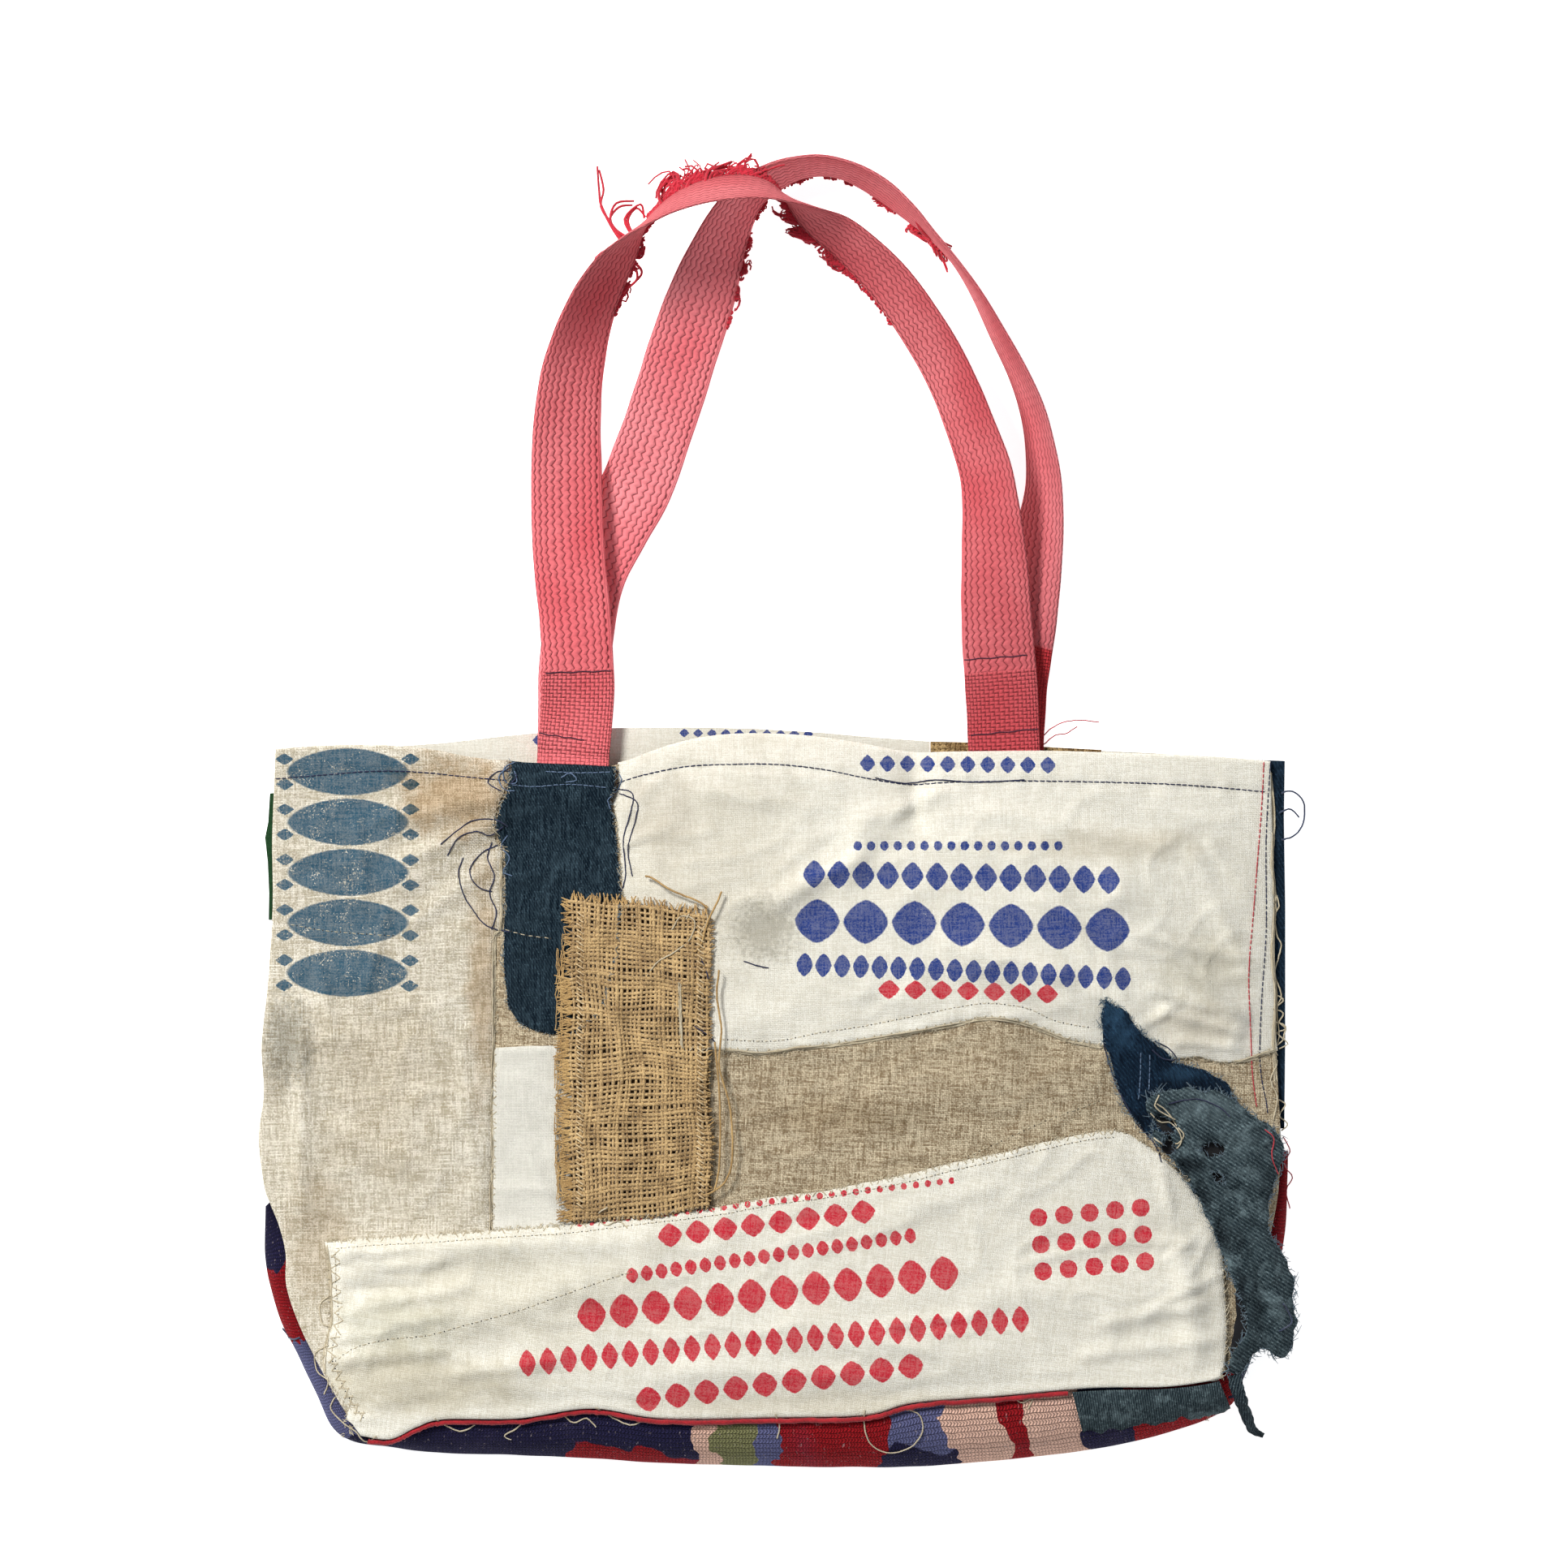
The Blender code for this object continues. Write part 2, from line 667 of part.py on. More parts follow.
def band_row(position):
    """Rim point, outward direction, reach and height of the bottom band at a fractional row."""
    rim_x, rim_y, out_x, out_y, height = smooth_row(BAND, BAND[0], position)
    outward = Vector((out_x - rim_x, out_y - rim_y, 0.0))
    return Vector((rim_x, rim_y, 0.0)), outward.normalized(), outward.length, height


def band_outer(position, place, lift):
    """Point on the bottom band's outer face at a share of its section, raised off it by lift."""
    rim, outward, reach, height = band_row(position)
    outs = column(BAND_SECTION, "out")
    ups = column(BAND_SECTION, "up")
    top = height - RIM_GAP
    spots = [Vector((outs[index] * reach, ups[index] * top)) for index in range(len(outs))]
    marks = [index / (len(outs) - 1) for index in range(len(outs))]
    out = stepped_value(marks, [spot.x for spot in spots], place)
    up = stepped_value(marks, [spot.y for spot in spots], place)
    ahead = min(place + 0.02, 1.0)
    behind = max(place - 0.02, 0.0)
    run_out = stepped_value(marks, [spot.x for spot in spots], ahead)
    run_out -= stepped_value(marks, [spot.x for spot in spots], behind)
    run_up = stepped_value(marks, [spot.y for spot in spots], ahead)
    run_up -= stepped_value(marks, [spot.y for spot in spots], behind)
    length = math.hypot(run_out, run_up)
    out -= run_up / length * lift
    up += run_out / length * lift
    return rim + outward * out + Vector((0.0, 0.0, up))


def band_ring(position):
    """Closed section of the bottom band: its outer line down to the floor and the inner line back."""
    rim, outward, reach, height = band_row(position)
    top = height - RIM_GAP
    thickness = min(max(0.3 * top, 1.1), TAPESTRY_THICK)
    tucked = rim - outward * RIM_TUCK
    line = [Vector((-RIM_TUCK, min(top, front_height(tucked.x, tucked.y) - RIM_GAP)))]
    for out, up in zip(column(BAND_SECTION, "out"), column(BAND_SECTION, "up")):
        line.append(Vector((out * reach, up * top)))
    line.append(Vector((-LIP_REACH, 0.0)))
    inner = []
    for index, spot in enumerate(line):
        ahead = line[min(index + 1, len(line) - 1)] - spot
        behind = spot - line[max(index - 1, 0)]
        if index == 0:
            behind = ahead
        if index == len(line) - 1:
            ahead = behind
        tangent = (ahead.normalized() + behind.normalized()).normalized()
        spread = max(tangent.dot(ahead.normalized()), 0.6)
        inner.append(spot + Vector((tangent.y, -tangent.x)) * thickness / spread)
    ring = line + list(reversed(inner))
    return [rim + outward * spot.x + Vector((0.0, 0.0, spot.y)) for spot in ring]


def loft(rings):
    """Closed solid through a row of rings with the same number of points."""
    count = len(rings[0])
    mesh = bmesh.new()
    rows = [[mesh.verts.new(point * MM) for point in ring] for ring in rings]
    for near, far in zip(rows, rows[1:]):
        for index in range(count):
            after = (index + 1) % count
            mesh.faces.new((near[index], near[after], far[after], far[index]))
    half = count // 2
    for row in (rows[0], rows[-1]):
        for index in range(half - 1):
            mesh.faces.new((row[index], row[index + 1], row[count - 2 - index], row[count - 1 - index]))
    bmesh.ops.triangulate(mesh, faces=mesh.faces[:])
    bmesh.ops.recalc_face_normals(mesh, faces=mesh.faces[:])
    return mesh


def build_band(bag):
    """Bottom band and lower sides."""
    last = len(BAND) - 2
    rings = [band_ring(last * index / BAND_STATIONS) for index in range(BAND_STATIONS + 1)]
    return coloured(new_object("tapestry_base", loft(rings), bag))


def build_bottom_patch(bag):
    """Frayed denim patch over the outer face of the bottom band, on the band's own stations."""
    last = len(BAND) - 2
    first = math.ceil(18.9 / last * BAND_STATIONS)
    final = math.floor(21.05 / last * BAND_STATIONS)
    places = column(BOTTOM_PATCH, "along")
    reaches = column(BOTTOM_PATCH, "reach")
    rings = []
    for station in range(first, final + 1):
        position = last * station / BAND_STATIONS
        lower = stepped_value(places, reaches, position)
        first_bend = 1.0 / 6.0
        second_bend = min(2.0 * first_bend, (first_bend + lower) * 0.5)
        shares = (0.04, first_bend, second_bend, lower)
        outer = [band_outer(position, share, PATCH_LIFT + DENIM_THICK) for share in shares]
        inner = [band_outer(position, share, PATCH_LIFT) for share in shares]
        rings.append(outer + list(reversed(inner)))
    return coloured(new_object("denim_bottom", loft(rings), bag))


def build_back(bag):
    """Flat cloths of the back panel, side by side."""
    last = len(BAND) - 2
    lower = []
    for index in range(BAND_STATIONS + 1):
        rim, outward, _, _ = band_row(last * (1.0 - index / BAND_STATIONS))
        spot = rim - outward * (LIP_REACH + 0.5)
        lower.append((spot.x, spot.y))
    outline = BACK_COTTON_TOP + tuple(lower) + BACK_COTTON_LEFT[1:]
    coloured(prism("back_cotton", outline, 0.0, BACK_THICK, bag))
    coloured(prism("back_denim", BACK_DENIM, 0.0, BACK_THICK, bag))
    coloured(prism("back_green", BACK_GREEN, 0.0, BACK_THICK, bag))
    coloured(prism("back_burlap", BACK_BURLAP, 0.0, BURLAP_THICK, bag))


def strap_frames(table, foot_on_front):
    """Centre, width direction and face direction at even steps along a handle."""
    last = len(table) - 2
    fine = 600
    names = ("x", "y", "low", "lean")
    samples = [smooth_row(table, names, last * index / fine) for index in range(fine + 1)]
    marks = [0.0]
    for index in range(1, fine + 1):
        here, before = samples[index], samples[index - 1]
        marks.append(marks[-1] + math.hypot(here[0] - before[0], here[1] - before[1]))
    centres = []
    widths = []
    index = 0
    for station in range(STRAP_STATIONS + 1):
        wanted = marks[-1] * station / STRAP_STATIONS
        while index < fine - 1 and marks[index + 1] < wanted:
            index += 1
        share = (wanted - marks[index]) / (marks[index + 1] - marks[index])
        x, y, low, lean = [a + (b - a) * share for a, b in zip(samples[index], samples[index + 1])]
        if foot_on_front and y < 158.0 and x < 0.0:
            rest = max(front_height(x + aside, min(y, 153.0)) for aside in (-16.0, -8.0, 0.0, 8.0, 16.0))
            rest += FIRST_LEVEL + 0.4
            low = rest + (low - rest) * ease((y - 154.5) / 5.0)
        before = samples[max(index - 4, 0)]
        after = samples[min(index + 5, fine)]
        along = Vector((after[0] - before[0], after[1] - before[1], 0.0)).normalized()
        outward = Vector((-along.y, along.x, 0.0))
        tilt = math.radians(lean)
        width = outward * math.cos(tilt) + Vector((0.0, 0.0, math.sin(tilt)))
        drop = 0.5 * WEBBING_WIDTH * abs(math.sin(tilt)) + 0.5 * WEBBING_THICK * abs(math.cos(tilt))
        centres.append(Vector((x, y, low + drop)))
        widths.append(width)
    frames = []
    for station, centre in enumerate(centres):
        ahead = centres[min(station + 1, STRAP_STATIONS)] - centres[max(station - 1, 0)]
        along = ahead.normalized()
        width = (widths[station] - along * widths[station].dot(along)).normalized()
        frames.append((centre, width, along.cross(width)))
    return frames


def build_strap(name, frames, bag):
    """Webbing handle with a flat rectangular section."""
    rings = []
    for centre, width, face in frames:
        half_wide = width * WEBBING_WIDTH * 0.5
        half_thick = face * WEBBING_THICK * 0.5
        rings.append([
            centre - half_wide + half_thick,
            centre + half_thick,
            centre + half_wide + half_thick,
            centre + half_wide - half_thick,
            centre - half_thick,
            centre - half_wide - half_thick,
        ])
    return coloured(new_object(name, loft(rings), bag))


def grow_locks(mesh, faces, directions, lengths, taper, lowest):
    """Draw each face out into one tapered lock, fused to the strip at its root."""
    for number, face in enumerate(faces):
        grown = bmesh.ops.extrude_discrete_faces(mesh, faces=[face])["faces"][0]
        centre = grown.calc_center_median()
        wave = math.sin(number * 2.399) * 0.35
        reach = directions[number] * lengths[number] * (1.0 + 0.25 * math.sin(number * 1.7))
        slide = directions[number].cross(Vector((0.0, 0.0, 1.0))) * lengths[number] * wave
        for vertex in grown.verts:
            vertex.co = centre + (vertex.co - centre) * taper + (reach + slide) * MM
        shortfall = lowest * MM - min(vertex.co.z for vertex in grown.verts)
        for vertex in grown.verts:
            vertex.co.z += max(0.0, shortfall)


def locked_strip(name, rings, outer_side, directions, lengths, taper, lowest, bag):
    """Backing strip through four-point rings, with a lock drawn out of each step of one side."""
    mesh = bmesh.new()
    rows = [[mesh.verts.new(point * MM) for point in ring] for ring in rings]
    outer_faces = []
    for near, far in zip(rows, rows[1:]):
        for index in range(4):
            after = (index + 1) % 4
            face = mesh.faces.new((near[index], near[after], far[after], far[index]))
            if index == outer_side:
                outer_faces.append(face)
    mesh.faces.new(rows[0])
    mesh.faces.new(rows[-1])
    bmesh.ops.recalc_face_normals(mesh, faces=mesh.faces[:])
    grow_locks(mesh, outer_faces, directions, lengths, taper, lowest)
    bmesh.ops.triangulate(mesh, faces=mesh.faces[:])
    bmesh.ops.recalc_face_normals(mesh, faces=mesh.faces[:])
    return coloured(new_object(name, mesh, bag))


def build_fray(name, frames, run, table, bag):
    """Worn lower selvage of a handle."""
    rings = []
    for index in range(FRAY_LOCKS + 1):
        position = (run[0] + (run[1] - run[0]) * index / FRAY_LOCKS) * STRAP_STATIONS
        low = int(position)
        share = position - low
        centre = frames[low][0].lerp(frames[low + 1][0], share)
        width = frames[low][1].lerp(frames[low + 1][1], share).normalized()
        face = frames[low][2].lerp(frames[low + 1][2], share).normalized()
        near = centre - width * (WEBBING_WIDTH * 0.5 + GAP + 0.1)
        far = near - width * FRAY_STRIP
        half = face * WEBBING_THICK * 0.42
        rings.append([near + half, far + half, far - half, near - half])
    directions = []
    lengths = []
    for index in range(FRAY_LOCKS):
        share = (index + 0.5) / FRAY_LOCKS
        step = frames[int((run[0] + (run[1] - run[0]) * share) * STRAP_STATIONS)]
        outward = -step[1]
        directions.append(Vector((outward.x, outward.y, outward.z * 0.05)).normalized())
        lengths.append(stepped_value(column(table, "along"), column(table, "length"), share))
    return locked_strip(name, rings, 1, directions, lengths, FRAY_TAPER, 0.4, bag)


def build_fringe(bag):
    """Cut edges of the burlap patch."""
    xs = column(FRINGE_PATH, "x")
    ys = column(FRINGE_PATH, "y")
    marks = [0.0]
    for index in range(1, len(xs)):
        marks.append(marks[-1] + math.hypot(xs[index] - xs[index - 1], ys[index] - ys[index - 1]))
    spots = []
    for index in range(FRINGE_LOCKS + 1):
        wanted = marks[-1] * index / FRINGE_LOCKS
        spots.append(Vector((stepped_value(marks, xs, wanted), stepped_value(marks, ys, wanted), 0.0)))
    sides = []
    for index in range(FRINGE_LOCKS + 1):
        along = spots[min(index + 1, FRINGE_LOCKS)] - spots[max(index - 1, 0)]
        sides.append(Vector((-along.y, along.x, 0.0)).normalized())
    rings = []
    for spot, side in zip(spots, sides):
        near = spot - side * FRINGE_STRIP * 0.5
        far = spot + side * FRINGE_STRIP * 0.5
        low = max(front_height(near.x, near.y), front_height(far.x, far.y)) + BURLAP_LEVEL + 0.15
        up = Vector((0.0, 0.0, low))
        top = Vector((0.0, 0.0, low + BURLAP_THICK - 0.3))
        rings.append([near + top, far + top, far + up, near + up])
    directions = []
    lengths = []
    for index in range(FRINGE_LOCKS):
        side = (sides[index] + sides[index + 1]).normalized()
        directions.append(Vector((side.x, side.y, 0.06)))
        place = marks[-1] * (index + 0.5) / FRINGE_LOCKS
        lengths.append(stepped_value(marks, column(FRINGE_PATH, "length"), place))
    return locked_strip("burlap_fringe", rings, 1, directions, lengths, FRINGE_TAPER, 0.0, bag)


def build_tail(bag):
    """Loose tail of torn denim that falls from the lower right corner to the surface."""
    last = len(TAIL) - 2
    rings = []
    for index in range(TAIL_STATIONS + 1):
        position = last * index / TAIL_STATIONS
        x, y, z, width = smooth_row(TAIL, ("x", "y", "z", "width"), position)
        ahead = Vector(smooth_row(TAIL, ("x", "y", "z"), min(position + 0.1, last)))
        behind = Vector(smooth_row(TAIL, ("x", "y", "z"), max(position - 0.1, 0.0)))
        along = (ahead - behind).normalized()
        side = Vector((along.y, -along.x, 0.0)).normalized()
        face = side.cross(along).normalized()
        centre = Vector((x, y, z))
        half = side * width * 0.5
        thick = face * DENIM_THICK * 0.5
        rings.append([
            centre - half + thick,
            centre + thick * 1.6,
            centre + half + thick,
            centre + half - thick,
            centre - thick * 0.4,
            centre - half - thick,
        ])
    return coloured(new_object("denim_tail", loft(rings), bag))


def main():
    """Build every cloth of the bag."""
    for thing in list(bpy.data.objects):
        bpy.data.objects.remove(thing)
    scene = bpy.context.scene.collection
    bag = bpy.data.collections.new("patchwork_tote_bag")
    cutters = bpy.data.collections.new("cutters")
    scene.children.link(bag)
    scene.children.link(cutters)

    front_cloth("front_ground", GROUND_LEVEL, COTTON_THICK, None, bag, cutters)
    front_cloth("linen_left", FIRST_LEVEL, COTTON_THICK, LINEN_LEFT, bag, cutters)
    front_cloth("denim_tab", FIRST_LEVEL, DENIM_THICK, DENIM_TAB, bag, cutters, puff=tab_puff)
    front_cloth("flour_upper", FIRST_LEVEL, COTTON_THICK, FLOUR_UPPER, bag, cutters)
    front_cloth("white_patch", FIRST_LEVEL, COTTON_THICK, WHITE_PATCH, bag, cutters)
    front_cloth("burlap_patch", BURLAP_LEVEL, BURLAP_THICK, BURLAP_PATCH, bag, cutters)
    front_cloth("flour_lower", SECOND_LEVEL, COTTON_THICK, FLOUR_LOWER, bag, cutters)
    front_cloth("denim_dark", SECOND_LEVEL, DENIM_THICK, DENIM_DARK, bag, cutters)
    front_cloth("denim_worn", THIRD_LEVEL, DENIM_THICK, DENIM_WORN, bag, cutters, overhang=True)
    build_fringe(bag)
    build_band(bag)
    build_bottom_patch(bag)
    build_tail(bag)
    build_back(bag)

    front = strap_frames(STRAP_FRONT, True)
    rear = strap_frames(STRAP_REAR, False)
    build_strap("strap_front", front, bag)
    build_strap("strap_rear", rear, bag)
    build_fray("strap_front_fray", front, FRONT_FRAY_RUN, FRONT_FRAY, bag)
    build_fray("strap_rear_fray", rear, REAR_FRAY_RUN, REAR_FRAY, bag)


main()
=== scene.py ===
"""Patchwork tote bag lying on its back: sack cloths, denim, burlap, a tapestry band and worn webbing handles.

Tables and shapes are in millimetres, with +Z up and +Y toward the handles. Meshes are written in metres.
"""
import math
import random

import bmesh
import bpy
from bpy.props import FloatProperty, FloatVectorProperty, PointerProperty
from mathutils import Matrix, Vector, noise
from mathutils.bvhtree import BVHTree


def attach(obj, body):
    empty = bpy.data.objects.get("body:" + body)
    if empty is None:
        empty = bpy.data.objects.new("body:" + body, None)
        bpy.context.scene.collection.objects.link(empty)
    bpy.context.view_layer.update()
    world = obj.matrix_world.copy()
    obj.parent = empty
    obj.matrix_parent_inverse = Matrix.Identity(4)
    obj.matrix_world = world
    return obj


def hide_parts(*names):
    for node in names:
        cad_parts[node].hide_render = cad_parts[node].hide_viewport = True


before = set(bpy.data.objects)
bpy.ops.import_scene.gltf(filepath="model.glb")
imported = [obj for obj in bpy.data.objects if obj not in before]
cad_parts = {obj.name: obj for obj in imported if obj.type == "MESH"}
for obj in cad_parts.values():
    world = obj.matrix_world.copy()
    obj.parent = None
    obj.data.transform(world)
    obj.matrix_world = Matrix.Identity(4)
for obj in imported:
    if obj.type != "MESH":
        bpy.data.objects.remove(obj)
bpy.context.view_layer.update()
MM = 0.001

bl_info = {
    "name": "Patchwork tote bag",
    "version": (1, 0, 0),
    "blender": (4, 5, 0),
    "location": "3D View > Sidebar > Tote bag",
    "description": "Builds a patchwork tote bag with worn webbing handles over its measured frame",
    "category": "Object",
}

# Height of each cloth's underside above the front wall's underside
LEVELS = {"ground": 0.0, "first": 1.3, "lower": 2.9, "burlap": 3.0, "dark": 2.9, "worn": 4.8}
# Steps of the front wall's lattice across and down, and its further columns past the right side
COLUMNS = 216
ROWS = 144
OVERHANG = 15
# Share of the width by which the columns crowd toward the sides
EDGE_CROWDING = 0.035
# Four times the rise of the wall's middle over its edges, and the fall of the columns past the right side
CROWN = 84.0
SIDE_DROOP = 0.6
# Box of the front wall seen from above, which limits the flat size of the cloths cut from it
WALL_BOX = (-233.0, 235.0, -150.0, 169.0)
LEAST_AREA_SHARE = 0.31
# Flat sizes and areas in metres that were given, not worked out from an outline
TAIL_CUT = ((0.010, 0.044), 0.00020)
BAND_PATCH_CUT = ((0.024, 0.052), 0.00120)
BAND_CUT = ((0.056, 0.640), 0.030)
# Even steps along the band, and the row positions between which its patch and its red binding run
BAND_STEPS = 270
PATCH_START, PATCH_END = 18.80, 21.02
BINDING_START, BINDING_ROWS, BINDING_STEPS = 8.35, 10.4, 360
# Steps of the back panel's lower edge, which follows the band
BACK_STEPS = 56

# Outline of the front wall: x, y and the height of its underside
TOP_EDGE = (
    ("x", "y", "height"),
    (-225, 161, 1.4), (-205, 162.5, 2.6), (-178, 162.8, 4.4), (-155, 160.8, 5.4), (-138, 157.5, 6.0),
    (-120, 155.5, 6.2), (-105, 154.6, 6.4), (-88, 154, 6.5), (-74, 153.4, 6.6), (-66, 156, 7.4),
    (-50, 162, 9.4), (-32, 166.4, 10.6), (-12, 168, 11.2), (12, 167.2, 11.5), (35, 164.2, 11.2),
    (60, 159.7, 10.4), (80, 159.8, 10.0), (120, 160.2, 9.2), (160, 159, 6.8), (195, 157.8, 3.8),
    (223, 155.5, 1.4),
)
LEFT_EDGE = (
    ("x", "y", "height"),
    (-225, 161, 1.4), (-225.5, 148, 1.4), (-226.5, 120, 1.4), (-226.3, 90, 1.4), (-228.5, 55, 1.4),
    (-231.3, 28, 1.4), (-230.3, 6, 1.4), (-232.6, -14, 1.8), (-230, -36, 3.2), (-227.5, -43, 4.6),
    (-223, -54, 6.4), (-220, -66, 9.5), (-219.5, -80, 13), (-214, -96, 18), (-205.5, -113, 23),
    (-197, -128, 27), (-189.5, -140, 30), (-185, -146, 32),
)
BOTTOM_EDGE = (
    ("x", "y", "height"),
    (-185, -146, 32), (-172, -147.5, 33), (-160, -142, 34), (-148, -138.5, 34.5), (-115, -138, 36),
    (-82, -133.5, 37), (-50, -138, 38), (0, -137.5, 38), (40, -136.5, 38), (62, -131, 38), (100, -128, 37),
    (140, -124.5, 36), (175, -124, 34), (198, -121, 31),
)
RIGHT_EDGE = (
    ("x", "y", "height"),
    (223, 155.5, 1.4), (224, 120, 1.4), (225, 60, 1.4), (226, 20, 1.8), (227.5, -12, 4.0),
    (227.5, -20, 5.2), (226, -40, 8), (222, -60, 11), (217, -80, 16), (210, -100, 22), (203, -115, 27),
    (198, -121, 31),
)

# Main folds of the front wall: a ridge, or a trough where the rise is negative, between two points
FOLDS = (
    ("x0", "y0", "x1", "y1", "rise", "width"),
    (-212, 30, -214, -50, 2.6, 8), (-132, 142, -170, 127, 3.2, 8), (-132, 128, -166, 104, 2.6, 9),
    (-205, 45, -196, 22, 2.4, 9), (71, 140, 44, 129, 1.4, 6), (40, 128, 37, 112, 2.0, 5),
    (34, 110, 4, 94, 2.8, 6), (89, 67, 136, 46, 3.2, 7), (155, 96, 205, 44, 3.4, 7),
    (62, 160, 63, 132, -3.4, 8), (-20, 150, 20, 148, 2.0, 10), (95, 120, 150, 100, 2.4, 12),
    (0, 20, 24, -4, -2.6, 10), (122, 30, 158, -4, -3.0, 10), (40, 4, 130, 12, 2.0, 12),
    (-196, -66, -60, -58, 3.0, 7), (-195, -112, -64, -72, 3.0, 8), (-180, -92, -150, -88, 2.4, 7),
    (-172, -124, -110, -116, 2.2, 8), (100, -83, 176, -80, 2.4, 9), (182, -66, 189, -112, 3.2, 6),
    (10, -98, 90, -112, 2.0, 9),
)

# Outlines the cloths are cut to; where one runs past the bag's own edge, the cloth ends at that edge
LINEN_LEFT = (
    ("x", "y"),
    (-250, 180), (-119.6, 180), (-119.4, 150), (-121.4, 142), (-124.0, 136), (-126.2, 128), (-125.6, 120),
    (-122.4, 116), (-122.2, 98), (-122.6, 80), (-126.4, 76), (-126.2, 50), (-126.0, 34), (-126.6, 18),
    (-127.2, 0), (-126.8, -20), (-127.4, -36), (-127.2, -66), (-190, -72), (-190, -160), (-250, -160),
)
DENIM_TAB = (
    ("x", "y"),
    (-118.6, 180), (-118.4, 150), (-120.4, 141), (-123.0, 135), (-125.2, 128), (-124.4, 121),
    (-121.2, 116.5), (-121.0, 98), (-121.4, 80), (-121.6, 64), (-119.6, 46), (-115, 38.5), (-108, 35),
    (-100, 33), (-90, 34), (-78, 44), (-71, 70), (-69.4, 96), (-70.6, 114), (-72, 126), (-74, 138),
    (-72, 142), (-71.4, 180),
)
FLOUR_UPPER = (
    ("x", "y"),
    (-70.4, 180), (-70.8, 142.5), (-72.8, 138), (-70.8, 126), (-69.4, 114), (-68.2, 96), (-60, 80),
    (-44, 60), (-42, 27), (-23, 26.2), (-10, 24.6), (0, 25.2), (10, 27), (20, 28), (40, 30.6), (60, 34),
    (80, 37.6), (91, 40.4), (100, 40.4), (110, 38.6), (120, 35), (130, 31), (140, 29), (152, 27), (166, 22),
    (178, 21.6), (190, 22.6), (200, 20), (210, 20.4), (218, 23), (250, 31), (250, 180),
)
WHITE_PATCH = (
    ("x", "y"),
    (-125.6, 27), (-110, 28), (-80, 28), (-78, -62), (-126.4, -62), (-126.2, -30), (-126.4, 0),
)
BURLAP_PATCH = (
    ("x", "y"),
    (-92, 93), (-75, 93.4), (-55, 90.6), (-40, 88.4), (-30, 85), (-30.4, 60), (-29, 40), (-29.6, 25),
    (-29.4, 0), (-29, -20), (-28.6, -43.2), (-60, -47), (-91, -51), (-91.6, -20), (-90.8, 10), (-91.6, 40),
    (-92.4, 70),
)
FLOUR_LOWER = (
    ("x", "y"),
    (-202, -60), (-190, -59), (-180, -58.2), (-160, -57), (-140, -55.6), (-127, -54.4), (-92, -52),
    (-60, -48), (-28, -44.2), (0, -39), (20, -37), (40, -33), (60, -29), (80, -24), (100, -20), (120, -15),
    (140, -11), (152, -9.8), (158, -11.4), (165, -15.6), (172, -20.6), (180, -28), (187, -35), (193, -44),
    (198, -55), (200.6, -66), (201.4, -80), (202, -90), (202.2, -102), (201.2, -115), (196, -130),
    (190, -160), (-196, -160), (-191, -134), (-196, -127), (-202, -118), (-201.6, -108), (-198.4, -96),
    (-199.4, -84), (-199.8, -70),
)
DENIM_DARK = (
    ("x", "y"),
    (148, 49.5), (151, 46.5), (158, 43), (161, 37.5), (165.4, 32.6), (170, 29.4), (175, 26), (179, 20.6),
    (184, 19.4), (193, 16.6), (200, 13), (204, 9.6), (206, 2.6), (200, -6), (186, -12.6), (178, -15.6),
    (171.6, -15), (166, -10.4), (161, -5.2), (156.6, 0), (154, 8), (151.6, 15.4), (149.4, 24), (147, 31),
    (146, 40.4),
)
DENIM_WORN = (
    ("x", "y"),
    (167, 5), (172, 7.6), (180, 8.2), (186, 9.4), (192, 7), (197, 8.6), (201, 6.4), (206, 3.4), (210, 0),
    (215, -4), (220, -6.6), (225, -11), (228.4, -15), (228.6, -24), (225, -32), (221.6, -42), (221.4, -56),
    (226, -62.4), (230, -70), (233.4, -77), (232.8, -88), (234, -96), (232.4, -106), (229, -112.6),
    (224, -111), (218, -107.4), (212.6, -112), (209, -118.6), (201.8, -118.2), (204.2, -109), (210.6, -101),
    (210.8, -92), (206.6, -80), (202.2, -71), (198.8, -62), (194.4, -50), (188.4, -38), (183, -30),
    (176, -20.6), (168.4, -12.4), (170, -6), (165.6, -1),
)

# Bottom band and lower sides: the rim under the front wall, the outermost line in plan, and the rim's height
BAND = (
    ("rim_x", "rim_y", "out_x", "out_y", "height"),
    (-227.5, -43, -229.6, -45, 4.6), (-223, -54, -229.8, -58, 6.4), (-220, -66, -229.5, -68, 9.5),
    (-219.5, -80, -227.5, -80, 13), (-214, -96, -222.5, -96, 18), (-205.5, -113, -213.5, -114, 23),
    (-197, -128, -206, -130, 27), (-189.5, -140, -199, -144, 30), (-185, -146, -189, -150.4, 32),
    (-172, -147.5, -174, -152.4, 33), (-160, -142, -162, -154.6, 34), (-148, -138.5, -150, -155.6, 34.5),
    (-115, -138, -116, -156.5, 36), (-82, -133.5, -82, -158, 37), (-50, -138, -50, -160, 38),
    (0, -137.5, 0, -161.5, 38), (40, -136.5, 42, -162, 38), (62, -131, 66, -161.5, 38),
    (100, -128, 106, -158.5, 37), (140, -124.5, 148, -153, 36), (175, -124, 183, -144.5, 34),
    (198, -121, 204, -135, 31), (203, -115, 210.6, -122, 27), (210, -100, 217, -106, 22),
    (217, -80, 224.5, -82, 16), (222, -60, 229, -61, 11), (226, -40, 230.6, -40, 8),
    (227.5, -20, 231, -20, 5.2),
)
# The band's section from its rim to the floor: share of its reach outward and of its height
BAND_SECTION = (
    ("out", "up"),
    (0.00, 1.00), (0.35, 0.97), (0.70, 0.82), (0.93, 0.52), (1.00, 0.24), (0.97, 0.07), (0.88, 0.00),
)

